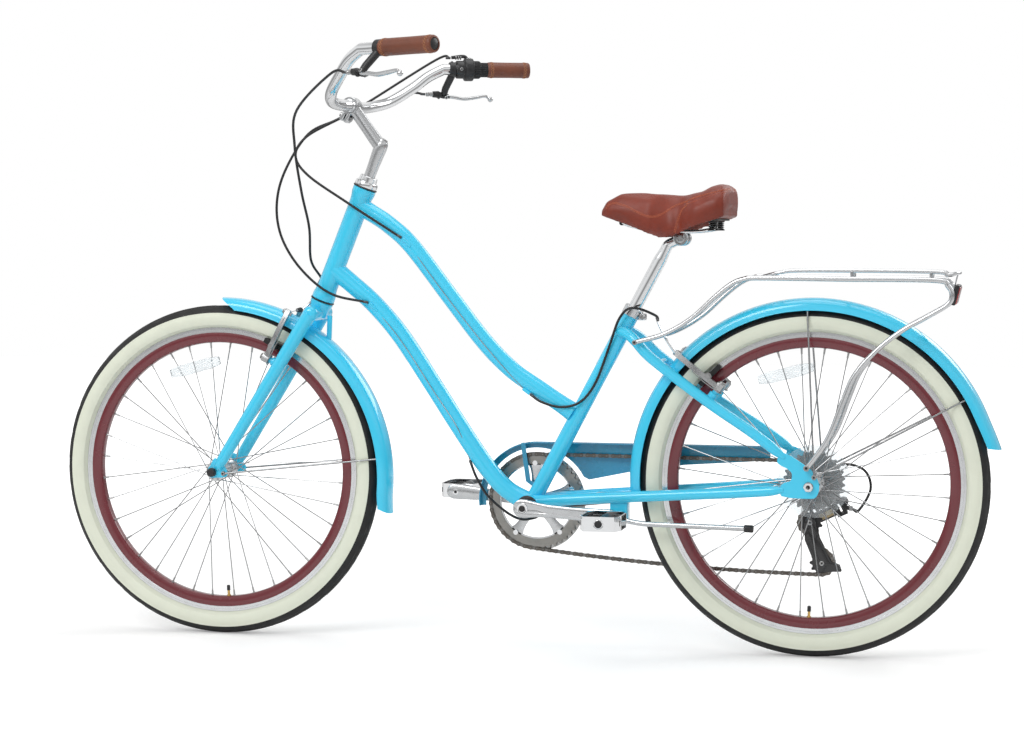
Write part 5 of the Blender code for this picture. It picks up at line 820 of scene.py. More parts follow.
def fender(name, centre, radius, ends, slant, extra=None):
    """A rolled mudguard with a hemmed edge and a lifted tail."""
    deep = 0.0225
    marks = [(-1.0, -deep), (-0.9, -0.0105), (-0.58, -0.003), (0.0, 0.0)]
    marks += [(-across, drop) for across, drop in reversed(marks[:-1])]
    line = [(p.x * 0.029, p.y) for p in path_of([(a, d, 0) for a, d in marks], 4)]
    inner = []
    for i, (y, d) in enumerate(line):
        a, b = line[max(0, i - 1)], line[min(len(line) - 1, i + 1)]
        along = Vector((b[0] - a[0], b[1] - a[1])).normalized()
        inner.append((y + along.y * 0.0015, d - along.x * 0.0015))
    ring = line + inner[::-1]
    bm = bmesh.new()
    rows = []
    steps = 96
    edges = ([], [])
    for i in range(steps + 1):
        share = i / steps
        lift = 0.006 * max(0.0, (share - 0.94) / 0.06) ** 1.5
        row = []
        for y, d in ring:
            short = min(1.0, -d / deep)
            first, last = ends[0] - slant[0] * short, ends[1] + slant[1] * short
            angle = radians(first + (last - first) * share)
            out = radius + d + lift
            row.append(bm.verts.new(centre + Vector((out * cos(angle), y, out * sin(angle)))))
        for edge, at_index in ((edges[0], 0), (edges[1], len(line) - 1)):
            edge.append(row[at_index].co + SIDE * (0.0006 if at_index == 0 else -0.0006))
        rows.append(row)
    skin(bm, rows)
    for edge in edges:
        sweep(bm, edge, 0.0012, 8)
    if extra:
        extra(bm)
    show(name, bm, [BLUE_GLOSS, FINISH["silver_metal"]], 50)


def round_point(centre, radius, degrees, y=0.0):
    """A point on a circle in the side view, at some y."""
    angle = radians(degrees)
    return Vector((centre.x + radius * cos(angle), y, centre.z + radius * sin(angle)))


def fender_strap(bm):
    """The strap that holds the front fender to the fork's crown, with its rivet."""
    rivet = round_point(FENDER_CENTRE, 0.3523, 50.5)
    rod(bm, rivet, head(-0.024, -0.0252), 0.005, 20)
    out = (rivet - FENDER_CENTRE).normalized()
    dome = [(0.0, 0.0), (0.0052, 0.0), (0.0044, 0.0012), (0.0, 0.0018)]
    turned(bm, dome, rivet + out * 0.0012 - BACK * 0.012, out, 20, 1)


def stay(bm, centre, radius, eyelet, degrees):
    """One wire stay, from eyelet to eyelet over the fender."""
    inside, crown = 0.0257, radius - 0.0033
    half = [Vector((eyelet.x, -abs(eyelet.y), eyelet.z)),
            round_point(centre, radius - 0.027, degrees, -inside + 0.0005)]
    half += [round_point(centre, crown - 0.0125, degrees, -inside + 0.0035),
             round_point(centre, crown - 0.0035, degrees, -0.012)]
    sweep(bm, filleted(half + [Vector((p.x, -p.y, p.z)) for p in reversed(half)]), 0.0018, 12)


def fine_stays():
    """Wire stays clipped under each fender, with their eyelets and screws at the dropouts."""
    for word, eyelet, centre, angles, wide, thick, size, tall in (
        ("front", round_point(FRONT, 0.0245, -5, 0.0581), FENDER_CENTRE, (6.5,), 0.0046, 0.0012, 0.004, 0.0022),
        ("rear", round_point(REAR, 0.0215, 60, 0.076), REAR, (91.5, 29.9), 0.0048, 0.0014, 0.0044, 0.0024),
    ):
        bm = bmesh.new()
        for degrees in angles:
            stay(bm, centre, FENDER_RADIUS[word], eyelet, degrees)
        for side in (-1, 1):
            spot = Vector((eyelet.x, side * eyelet.y, eyelet.z))
            turned(bm, [(0.0018, -0.0018), (wide, -0.0018), (wide, thick), (0.0018, thick)], spot, SIDE * side,
                   20)
            screw(bm, spot + SIDE * side * (thick - 0.0002), SIDE * side, size, tall, 1, 2)
        show(word + "_fender_stays", bm, [SPOKE_STEEL, DARK_ZINC, BLACK_PLASTIC], name=word + "_stays")


def fine_rack():
    """The tubular rear carrier with its deck, cross bars, leg feet and reflector bracket."""
    wide, foot = 0.065, 0.0774
    rail = [(0.26, 0.058, 0.595), (0.319, 0.06, 0.612), (0.37, 0.063, 0.6415), (0.414, wide, 0.681)]
    rail += [(0.4455, wide, 0.706), (0.47, wide, 0.716), (0.5, wide, 0.718), (0.66, wide, 0.716)]
    rail += [(0.82, wide, 0.714), (0.844, wide, 0.703), (0.851, wide, 0.686), (0.842, wide, 0.669)]
    rail += [(0.802, 0.0664, 0.6451), (0.76, 0.068, 0.621), (0.713, 0.07, 0.583), (0.675, 0.072, 0.538)]
    rail += [(0.654, 0.074, 0.489), (0.627, foot, 0.42), (0.587, foot, 0.362)]
    deck = [(0.497, 0.018, 0.719), (0.53, 0.03, 0.727), (0.58, 0.03, 0.731), (0.81, 0.03, 0.729)]
    deck += [(0.84, 0.03, 0.723), (0.856, 0.021, 0.726), (0.862, 0.0, 0.727)]
    bm = bmesh.new()
    for side in (1, -1):
        sweep(bm, path_of(placed(rail, side), 7), 0.0047, 20)
        out = SIDE * side
        screw(bm, at(0.589, side * 0.0815, 0.366), out, 0.0056, 0.003, 1, 2)
        screw(bm, at(0.262, side * 0.062, 0.5955), out, 0.005, 0.0026, 1, 2)
        for x in (0.665, 0.81):
            low = at(x + 0.001, side * 0.03, 0.718 - (x - 0.5) * 0.0125 - 0.001)
            rod(bm, low, low + UP * 0.014, 0.0027, 12)
    for x in (0.52, 0.665, 0.81):
        z = 0.718 - (x - 0.5) * 0.0125
        rod(bm, at(x, -wide, z), at(x, wide, z), 0.0035, 16)
    loop = deck + [(x, -y, z) for x, y, z in reversed(deck[:-1])]
    sweep(bm, path_of(placed(loop), 6), 0.0035, 16)
    point = at(0.862, 0, 0.727)
    turn = Matrix.Translation(point) @ Matrix.Rotation(radians(14), 4, SIDE) @ Matrix.Translation(-point)
    block(bm, at(0.859, 0, 0.706), (0.002, 0.022, 0.044), turn, 0, 0.0007, 2)
    looks = [metal("rack_tube", SILVER, 0.2, None, 0.06, 0.2), DARK_ZINC, BLACK_PLASTIC]
    show("rack", bm, looks)
    bm = bmesh.new()
    block(bm, at(0.8652, 0, 0.686), (0.009, 0.08, 0.038), turn, 1, 0.0022, 3)
    block(bm, at(0.869, 0, 0.686), (0.005, 0.074, 0.032), turn, 0, 0.0014, 3)
    show("rack_reflector", bm, [FINISH["red_plastic"], BLACK_PLASTIC], name="reflector")


fine_frame()
fine_fork()
fender("front_fender", FENDER_CENTRE, FENDER_RADIUS["front"], (89.6, -11.5), (5.8, 1.0), fender_strap)
fender("rear_fender", REAR, FENDER_RADIUS["rear"], (184.2, 11.4), (0.5, 1.3))
fine_stays()
fine_rack()


# Bars, levers, shifter and cables
BAR_END = at(-0.0458, 0.3625, 1.14)
CLAMP = at(-0.3133, 0.0, 1.0524)
SWEEP = radians(26.8)
CASE_FACE = -0.1156


def bar_axis(side):
    """The way out along a grip."""
    return Vector((cos(SWEEP), side * sin(SWEEP), 0.0))


def bar_front(side):
    """Square to the grip and level, on the grip's outer side."""
    return Vector((-sin(SWEEP), side * cos(SWEEP), 0.0))


def bar_point(distance, side):
    """A point on a grip's axis, some distance in from its end."""
    return Vector((BAR_END.x, side * BAR_END.y, BAR_END.z)) - bar_axis(side) * distance


def fine_handlebar():
    """The bar in one polished sweep, thicker where the stem holds it."""
    bend = [CLAMP] + placed([(-0.3135, 0.024, 1.0522), (-0.319, 0.062, 1.0518), (-0.315, 0.12, 1.0555),
                             (-0.293, 0.187, 1.069), (-0.259, 0.236, 1.0985), (-0.233, 0.263, 1.123)])
    right = path_of(bend + [bar_point(0.178, 1)], 9) + [bar_point(0.09, 1), bar_point(0.0, 1)]
    left = [Vector((p.x, -p.y, p.z)) for p in reversed(right[1:])]
    bm = bmesh.new()
    path = left + right
    sweep(bm, path, 0.0111, 32, radii=[0.0111 if abs(p.y) > 0.03 else 0.01115 for p in path])
    for side in (-1, 1):
        rod(bm, CLAMP + SIDE * side * 0.016, CLAMP + SIDE * side * 0.023, 0.0128, 32, 0, 0.0113, 0.0008)
    show("handlebar", bm, CHROME_PLATE, 40)


def fine_grip(name, side, length):
    """A stitched grip: a soft sleeve with hemmed ends, crossed stitches by each hem and a dark end cap."""
    place, axis = Vector((BAR_END.x, side * BAR_END.y, BAR_END.z)), bar_axis(side)
    profile = [(0.0116, -length), (0.015, -length), (0.0159, -length + 0.0016), (0.0161, -length + 0.005)]
    for share in (0.15, 0.3, 0.45, 0.6, 0.75, 0.9):
        profile.append((0.016 + 0.0001 * sin(share * 9), -length + 0.005 + (length - 0.009) * share))
    profile += [(0.0161, -0.004), (0.016, 0.0012), (0.0152, 0.0032), (0.0138, 0.0042), (0.0116, 0.0044)]
    bm = bmesh.new()
    turned(bm, profile, place, axis, 48)
    turned(bm, [(0.0, 0.004), (0.01, 0.004), (0.0114, 0.003), (0.0118, 0.001), (0.0, 0.001)], place, axis, 32,
           2)
    matrix = axes(place, axis)
    for middle in (-length + 0.0085, -0.0068):
        for k in range(18):
            a, b = tau * k / 18, tau * (k + 1) / 18
            for first, last in ((a, b), (b, a)):
                spots = []
                for t in (0.0, 0.5, 1.0):
                    turn = first + (last - first) * t
                    size = 0.01615 + 0.00035 * sin(pi * t)
                    spots.append(matrix @ Vector((size * cos(turn), size * sin(turn),
                            middle + (t - 0.5) * 0.0064)))
                sweep(bm, spots, 0.00042, 6, 1)
    looks = [GRIP_SKIN, THREAD, BLACK_PLASTIC]
    show(name, bm, looks, 45)


def fine_stem():
    """A forged quill stem with its expander bolt, bar clamp, clamp lips and clamp bolt."""
    corner = head(0.236 + 0.003 + 0.0003 + 0.0215 + 0.062)
    bm = bmesh.new()
    quill = [(0.0, -0.152), (0.011, -0.152), (0.011, -0.056), (0.0113, -0.04), (0.0122, -0.024)]
    quill += [(0.0131, -0.008), (0.0133, 0.0), (0.0126, 0.0068), (0.0108, 0.0112), (0.0092, 0.0134),
              (0.009, 0.016)]
    turned(bm, quill + [(0.0, 0.016)], corner, HEAD_AXIS, 40)
    nut(bm, corner + HEAD_AXIS * 0.015, HEAD_AXIS, 0.007, 0.005, 1)
    reach = (CLAMP - corner).normalized()
    span = (CLAMP - corner).length
    path = [corner + reach * (span * t) for t in (0.0, 0.2, 0.45, 0.7, 0.88, 1.0)]
    sweep(bm, path, 0.013, 32, radii=[0.0129, 0.0128, 0.0121, 0.012, 0.0126, 0.013])
    half = [(0.0114, 0.015), (0.0158, 0.015), (0.0168, 0.0142), (0.017, 0.0126), (0.017, 0.0)]
    turned(bm, mirrored(half, 0, -1), CLAMP, SIDE, 44)
    down = Vector((-0.45, 0, -0.89)).normalized()
    across = Vector((down.z, 0, -down.x))
    spot = CLAMP + down * 0.024
    place = axes(spot, down, across)
    for shift in (-0.0047, 0.0047):
        block(bm, (shift, 0, -0.0015), (0.0076, 0.026, 0.023), place, 0, 0.0024, 3)
    rod(bm, spot - across * 0.0128, spot + across * 0.014, 0.004, 16, 1)
    screw(bm, spot + across * 0.0085, across, 0.0052, 0.0055, 1, 2)
    nut(bm, spot - across * 0.0105, across, 0.006, 0.0042, 1)
    show("stem", bm, [STEM_ALLOY, DARK_ZINC, BLACK_PLASTIC])


def fine_headset():
    """Cups with stepped lips and the knurled locknut."""
    cup = [(0.0133, 0.0), (0.0225, 0.0), (0.024, -0.0006), (0.024, -0.002), (0.0234, -0.0027),
           (0.0159, -0.0027)]
    cup += [(0.0159, -0.015), (0.0133, -0.015)]
    for word, place, axis in (("upper", head(0.239), HEAD_AXIS), ("lower", head(-0.003), -HEAD_AXIS)):
        bm = bmesh.new()
        turned(bm, cup, place, axis, 44)
        show(f"headset_{word}_cup", bm, BLACK_PLASTIC, name=word + "_cup")
    bm = bmesh.new()
    ring = [(0.0133, 0.0), (0.0133, 0.019), (0.0116, 0.0195), (0.0116, 0.0215), (0.0165, 0.0215),
            (0.0173, 0.0208)]
    ring += [(0.018, 0.012), (0.0181, 0.0112), (0.0212, 0.0104), (0.0222, 0.009), (0.0228, 0.002),
             (0.0222, 0.0)]

    def flats(k, i, radius, height):
        return (radius * (0.985 if i in (7, 8) and k % 8 < 4 else 1.0), height)

    turned(bm, ring, head(0.2393), HEAD_AXIS, 48, 0, flats)
    show("headset_locknut", bm, CHROME_PLATE, name="locknut")


def lever_place(side):
    """A brake lever's clamp centre, its two directions and its pivot."""
    length = 0.124 if side == -1 else 0.085 + 0.03 + 0.036 + 0.0009
    along = bar_axis(side)
    centre = bar_point(length + 0.0065 + 0.0003, side)
    drop = radians(54 if side == -1 else 68)
    lean = bar_front(side) * cos(drop) - UP * sin(drop)
    return centre, along, lean, centre + lean * 0.058 - along * 0.01


def fine_levers():
    """Perches with their clamp bands, hoods, adjusters and pivot bolts, and the forged lever blades."""
    for word, side in (("left", -1), ("right", 1)):
        centre, along, lean, pivot = lever_place(side)
        normal = along.cross(lean)
        bm = bmesh.new()
        band = [(0.0114, -0.0065), (0.0147, -0.0065), (0.0153, -0.0058), (0.0153, 0.0058), (0.0147, 0.0065),
                (0.0114, 0.0065)]
        turned(bm, band, centre, along, 36)
        screw(bm, centre - lean * 0.012 + normal * 0.006, normal, 0.0034, 0.005, 1, 0)
        neck = [centre + lean * 0.012, pivot - lean * 0.016 - along * 0.002,
                pivot - lean * 0.004 - along * 0.004]
        sweep(bm, neck, 0.0075, 20, radii=[0.0077, 0.0074, 0.0068])
        end = pivot - along * 0.042 - lean * 0.004
        for shift in (-0.0062, 0.0062):
            hood = [pivot + along * 0.007, pivot - along * 0.006, end + along * 0.016]
            sweep(bm, [p + normal * shift for p in hood], 0.003, 16, radii=[0.0026, 0.003, 0.0022])
        sweep(bm, [pivot - along * 0.012 - lean * 0.001, end + along * 0.024, end + along * 0.0142], 0.008, 24,
              radii=[0.0078, 0.0072, 0.0064])
        turned(bm, [(0.0, 0.0), (0.0042, 0.0), (0.0046, 0.001), (0.0046, 0.005), (0.0038, 0.006),
                    (0.0038, 0.008), (0.0046, 0.009), (0.0046, 0.015), (0.0, 0.015)], end, along, 20, 1,
               lambda k, i, r, h: (r * (0.93 if k % 2 and h < 0.006 else 1.0), h))
        for way in (-1, 1):
            screw(bm, pivot + normal * way * 0.007, normal * way, 0.0038, 0.0022, 1, 0)
        name = word + "_lever_perch"
        show(name, bm, [BLACK_PLASTIC, DARK_ZINC])
        bm = bmesh.new()
        route = [pivot - along * 0.005, pivot + along * 0.016 + lean * 0.002,
                 pivot + along * 0.04 + lean * 0.0055]
        route += [pivot + along * 0.066 + lean * 0.002, pivot + along * 0.084 - lean * 0.001]
        route += [pivot + along * 0.094 + lean * 0.006]
        path = path_of(route, 8)
        rings = []
        for i, spot in enumerate(path):
            ahead = (path[min(i + 1, len(path) - 1)] - path[max(0, i - 1)]).normalized()
            flat = normal.cross(ahead).normalized()
            share = i / (len(path) - 1)
            wide = 0.0038 + 0.0018 * sin(pi * min(1.0, share * 1.3)) * (share < 0.78)
            thin = 0.0034 - 0.0006 * share
            rings.append([
                bm.verts.new(spot + normal * wide * cos(a) + flat * thin * sin(a))
                for a in (tau * k / 20 for k in range(20))
            ])
        skin(bm, rings)
        ball = route[-1] + along * 0.0015
        knob = [(0.0, -0.0054), (0.0026, -0.005), (0.0046, -0.0034), (0.0055, -0.0012), (0.0055, 0.0012),
                (0.0046, 0.0034)]
        turned(bm, knob + [(0.0026, 0.005), (0.0, 0.0054)], ball, normal, 24)
        rod(bm, pivot - normal * 0.0075, pivot + normal * 0.0075, 0.0025, 14)
        name = word + "_brake_lever"
        show(name, bm, LEVER_ALLOY, 40)


def spout_base():
    """Where the shift cable's spout leaves the shifter's case."""
    return BAR_END + bar_axis(1) * (CASE_FACE - 0.01) + UP * 0.0195 + bar_front(1) * 0.004


def fine_shifter():
    """The ribbed twist grip, the case with its window and click marks, and the cable's spout."""
    axis, place = bar_axis(1), BAR_END.copy()
    start, face = 0.0853, CASE_FACE
    ring = [(0.0119, -start), (0.0146, -start), (0.015, -start - 0.0012), (0.015, -start - 0.0135)]
    ring += [(0.0178, -start - 0.0165), (0.0184, -start - 0.0185), (0.0184, face + 0.001),
             (0.0176, face + 0.0003)]
    ring += [(0.0119, face + 0.0003)]

    def ribs(k, i, radius, height):
        return (radius - (0.001 if k % 4 < 2 and i in (2, 3, 4, 5, 6) else 0.0), height)

    bm = bmesh.new()
    turned(bm, ring, place, axis, 96, 0, ribs)
    show("shifter_grip", bm, GRIP_RUBBER, 30)
    case = [(0.0117, face), (0.0215, face), (0.0229, face - 0.001), (0.0235, face - 0.003),
            (0.0235, face - 0.016)]
    case += [(0.0228, face - 0.0178), (0.02, face - 0.0192), (0.0185, face - 0.0208), (0.0185, face - 0.0335)]
    case += [(0.0176, face - 0.035), (0.0117, face - 0.035)]
    bm = bmesh.new()
    turned(bm, case, place, axis, 56)
    front, base = bar_front(1), spout_base()
    arch = path_of([base, base + UP * 0.008 - axis * 0.008, base + UP * 0.0055 - axis * 0.034], 8)
    sweep(bm, arch, 0.004, 20, radii=[0.0038 - 0.0003 * i / (len(arch) - 1) for i in range(len(arch))])
    ring = [(0.003, 0.0), (0.0044, 0.0), (0.0044, 0.002), (0.003, 0.002)]
    for t in (0.008, 0.013, 0.018):
        turned(bm, ring, base + UP * 0.0055 - axis * (0.034 - t), axis, 20, 1)
    screw(bm, place + axis * (face - 0.027) - front * 0.0175, -front, 0.0034, 0.0022, 1, 0)
    window = place + axis * (face - 0.0095) + UP * 0.0222 - front * 0.0068
    block(bm, (0, 0, 0), (0.009, 0.012, 0.0022), axes(window, (UP * 0.95 - front * 0.3), axis), 2, 0.0006, 2)
    looks = [BLACK_PLASTIC, DARK_ZINC, WHITE_LENS]
    show("shifter_housing", bm, looks, name="shifter_case")


def cable(name, points, first=None):
    """A smooth housing with end caps; where it crosses a joint it is left on no body."""
    path = path_of(points, 10)
    bm = bmesh.new()
    sweep(bm, path, 0.0025, 16)
    for a, b in ((path[0], path[1]), (path[-1], path[-2])):
        along = (b - a).normalized()
        rod(bm, a + along * 0.0002, a + along * 0.01, 0.0027, 16, 1, 0.0027, 0.0004)
    looks = [FINISH["black_housing"], CABLE_CAP]
    piece = emit("fine_" + name, bm, looks, None if first else BODY_OF[name], name, 50)
    if first:
        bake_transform(piece)


def from_lever(side):
    """A housing's first points, straight out of the lever's barrel."""
    _, along, lean, pivot = lever_place(side)
    start = pivot - along * 0.0435 - lean * 0.004
    return [start, start - along * 0.04]


def into_noodle(which):
    """A housing's last points, straight into the brake's noodle."""
    end, knee = NOODLES[which]
    away = (end - knee).normalized()
    return [end + away * 0.016, end + away * 0.0009]


def fine_cables():
    """The five housings along their real routes, and the bare inner wires."""
    middle = placed([
        (-0.36, -0.195, 1.035), (-0.382, -0.145, 0.97), (-0.39, -0.085, 0.885), (-0.39, -0.04, 0.815),
        (-0.402, 0.005, 0.75),
    ])
    cable("front_brake_housing", from_lever(-1) + middle + into_noodle("front"), "steering")
    middle = placed([
        (-0.342, 0.095, 1.042), (-0.356, 0.02, 1.024), (-0.403, -0.016, 0.992), (-0.4215, -0.026, 0.956),
        (-0.395, -0.03, 0.917), (-0.315, -0.029, 0.863), (-0.2075, -0.021, 0.794),
    ])
    cable("rear_brake_loop", from_lever(1) + middle, "steering")
    axis = bar_axis(1)
    start = spout_base() + UP * 0.0047 - axis * 0.0361
    middle = placed([
        (-0.336, 0.14, 1.06), (-0.362, 0.05, 1.028), (-0.402, -0.006, 0.998), (-0.444, -0.025, 0.926),
        (-0.4605, -0.029, 0.86), (-0.45, -0.031, 0.795), (-0.41, -0.033, 0.733), (-0.35, -0.03, 0.685),
        (-0.2755, -0.0222, 0.6674),
    ])
    cable("shift_loop", [start, start - axis * 0.03 - UP * 0.004] + middle, "steering")
    middle = placed([
        (0.048, -0.0125, 0.4908), (0.072, -0.02, 0.477), (0.11, -0.0215, 0.468), (0.148, -0.0215, 0.478),
        (0.178, -0.0205, 0.515), (0.205, -0.0205, 0.585), (0.226, -0.0245, 0.64), (0.252, -0.028, 0.66),
    ])
    cable("rear_brake_housing", middle + into_noodle("rear"), "frame")
    cable("rear_shift_housing", placed([
        (-0.075, -0.008, 0.36), (-0.059, -0.012, 0.324), (-0.033, -0.011, 0.286), (0.015, -0.005, 0.25),
        (0.05, 0.006, 0.248), (0.1, 0.023, 0.269), (0.33, 0.0465, 0.29), (0.49, 0.069, 0.299), (0.54, 0.08,
                0.306),
        (0.58, 0.086, 0.324), (0.635, 0.09, 0.356), (0.68, 0.087, 0.348), (0.694, 0.081, 0.312),
        (0.672, 0.0743, 0.2707), (0.6599, 0.0722, 0.2738),
    ]))
    bm = bmesh.new()
    top = [(-0.1915, -0.0155, 0.778), (-0.13, -0.019, 0.696), (-0.06, -0.019, 0.608), (-0.01, -0.0185, 0.55)]
    down = [(-0.26, -0.0165, 0.652), (-0.21, -0.0195, 0.593), (-0.145, -0.0195, 0.496),
            (-0.095, -0.0192, 0.421)]
    for wire in (top + [(0.034, -0.0115, 0.5018)], down + [(-0.0745, -0.0085, 0.3595)]):
        sweep(bm, path_of(placed(wire), 8), 0.0008, 8)
    emit("bare_cables", bm, SPOKE_STEEL, "frame")


GRIP_SKIN = leather("grip_skin", BROWN, 900.0, 0.5, 0.25)
GRIP_RUBBER = rubber("twist_rubber", BLACK, 0.5, 900.0)
STEM_ALLOY = metal("stem_alloy", (0.6, 0.61, 0.62, 1.0), 0.22)
LEVER_ALLOY = metal("lever_alloy", (0.62, 0.63, 0.64, 1.0), 0.2)
CABLE_CAP = plastic("cable_cap", (0.05, 0.05, 0.052, 1.0), 0.35)
fine_handlebar()
fine_grip("left_grip", -1, 0.124)
fine_grip("right_grip", 1, 0.085)
fine_stem()
fine_headset()
fine_levers()
fine_shifter()
fine_cables()


# Drive and pedals
TILT = radians(4.2)
PITCH = 0.0127
CHAIN_Y = 0.0477
CRANK_LENGTH = 0.17
RING_TEETH, PULLEY_TEETH = 46, 11
PLATE = 0.002  # thickness of a toothed plate
GUIDE = at(0.583, CHAIN_Y, 0.249)
TENSION = at(0.6057, CHAIN_Y, 0.1714)


def crank_way(side):
    """The direction of a crank arm."""
    return Vector((cos(TILT), 0.0, -sin(TILT))) * (1 if side == -1 else -1)


def pitch_radius(teeth):
    """The pitch circle of a sprocket."""
    return PITCH / (2 * sin(pi / teeth))


def gear(bm, centre, y, teeth, inner, slot=0, tip=0.0026):
    """A toothed ring: hollow roots, tapered tips and chamfered teeth, with a round hole."""
    pitch = pitch_radius(teeth)
    count = teeth * 6
    rings = []
    for height, drop in ((-PLATE / 2, 0.0008), (-PLATE / 4, 0.0), (PLATE / 4, 0.0), (PLATE / 2, 0.0008)):
        ring = []
        for k in range(count):
            angle = tau * k / count
            wave = 0.5 - 0.5 * cos(angle * teeth)
            size = pitch - 0.0036 + (0.0036 + tip) * min(1.0, wave * 1.12) ** 1.3
            size -= drop * wave
            ring.append(bm.verts.new(centre + ray(angle) * size + SIDE * (y + height)))
        rings.append(ring)
    for height in (PLATE / 2, -PLATE / 2):
        rings.append([
            bm.verts.new(centre + ray(tau * k / count) * inner + SIDE * (y + height))
            for k in range(count)
        ])
    skin(bm, rings, slot, closed=True)


def fine_cranks():
    """Forged arms with a milled face, ringed end caps, the spider, toothed ring and ring bolts."""
    for side in (-1, 1):
        name = "left_crank" if side == -1 else "chainwheel_crank"
        out, way = SIDE * side, crank_way(side)
        up = Vector((-way.z, 0.0, way.x))
        bm = bmesh.new()
        base = CRANK + out * 0.0705
        rings = []
        marks = [(-0.018, 0.003), (-0.0165, 0.009), (-0.012, 0.0142), (-0.005, 0.0174), (0.004, 0.0176)]
        marks += [(0.016, 0.016), (0.032, 0.0136), (0.05, 0.0122), (0.085, 0.0118), (0.12, 0.0122)]
        marks += [(0.15, 0.0136), (0.164, 0.0147), (0.176, 0.0144), (0.183, 0.0118), (0.187, 0.007),
                  (0.188, 0.0024)]
        for x, w in marks:
            t = 0.0065
            edge = min(0.0032, w * 0.5)
            section = [(-w + edge, -t), (w - edge, -t), (w - edge * 0.3, -t + edge * 0.35), (w, -t + edge),
                       (w, t - edge), (w - edge * 0.3, t - edge * 0.35), (w - edge, t), (w * 0.45, t),
                       (w * 0.38, t - 0.0006), (-w * 0.38, t - 0.0006), (-w * 0.45, t), (-w + edge, t),
                       (-w + edge * 0.3, t - edge * 0.35), (-w, t - edge), (-w, -t + edge),
                       (-w + edge * 0.3, -t + edge * 0.35)]
            rings.append([bm.verts.new(base + way * x + up * a + out * b) for a, b in section])
        skin(bm, rings)
        face = 0.077
        cap = [(0.0, face + 0.0004), (0.0052, face + 0.0004), (0.0064, face + 0.0008), (0.0076, face + 0.0012)]
        cap += [(0.0104, face + 0.0012), (0.011, face + 0.0004), (0.011, face - 0.004), (0.0, face - 0.004)]
        turned(bm, cap, CRANK, out, 40, 1)
        turned(bm, [(0.0, face), (0.0062, face), (0.0062, face + 0.0009), (0.0054, face + 0.0013),
                    (0.0, face + 0.0013)], CRANK, out, 32, 2)
        eye = base + way * CRANK_LENGTH
        rod(bm, eye, eye + out * 0.0935, 0.005, 20, 0)
        turned(bm, [(0.0, -0.002), (0.0072, -0.002), (0.0072, 0.0115), (0.0066, 0.0122), (0.0, 0.0122)], eye,
               out, 28, 0)
        screw(bm, eye - out * 0.006, -out, 0.006, 0.0014, 1, 2)
        looks = [ARM_ALLOY, CHROME_PLATE, BLACK_PLASTIC, RING_STEEL, GUARD_ALLOY]
        if side == 1:
            rod(bm, CRANK - SIDE * 0.07, CRANK + SIDE * 0.067, 0.0085, 28, 3)
            turned(bm, [(0.0, 0.042), (0.0158, 0.042), (0.0165, 0.0428), (0.0165, 0.0655), (0.0, 0.066)], CRANK,
                   SIDE, 40, 0)
            gear(bm, CRANK, CHAIN_Y, RING_TEETH, 0.0745, 3)
            guard = [(0.078, 0.0519), (0.097, 0.0519), (0.097, 0.0535), (0.078, 0.0535)]
            turned(bm, guard, CRANK, SIDE, 120, 4)
            for i in range(5):
                angle = radians(20 + 72 * i)
                limb = ray(angle)
                cross = Vector((-limb.z, 0, limb.x))
                rings = []
                for r, w in ((0.012, 0.012), (0.023, 0.01), (0.036, 0.0086), (0.052, 0.0082), (0.064, 0.01),
                             (0.074, 0.0145), (0.08, 0.0165)):
                    section = [(-w, 0.0486), (-w * 0.8, 0.0482), (w * 0.8, 0.0482), (w, 0.0486)]
                    section += [(w, 0.0527), (w * 0.75, 0.0532), (-w * 0.75, 0.0532), (-w, 0.0527)]
                    rings.append([bm.verts.new(CRANK + limb * r + cross * a + SIDE * y) for a, y in section])
                skin(bm, rings)
                bolt = CRANK + limb * 0.0755
                turned(bm, [(0.0, 0.0452), (0.005, 0.0452), (0.0052, 0.046), (0.0052, 0.047), (0.0, 0.047)],
                       bolt, SIDE, 20, 1)
                turned(bm, [(0.0, 0.053), (0.005, 0.053), (0.005, 0.054), (0.0044, 0.0545), (0.0, 0.0545)],
                       bolt, SIDE, 20, 1)
            turned(bm, [(0.072, 0.0482), (0.08, 0.0482), (0.08, 0.053), (0.072, 0.053)], CRANK, SIDE, 96, 0)
            turned(bm, [(0.01, 0.0482), (0.0235, 0.0482), (0.024, 0.049), (0.023, 0.053), (0.01, 0.053)], CRANK,
                   SIDE, 48, 0)
        show(name, bm, looks, 32)


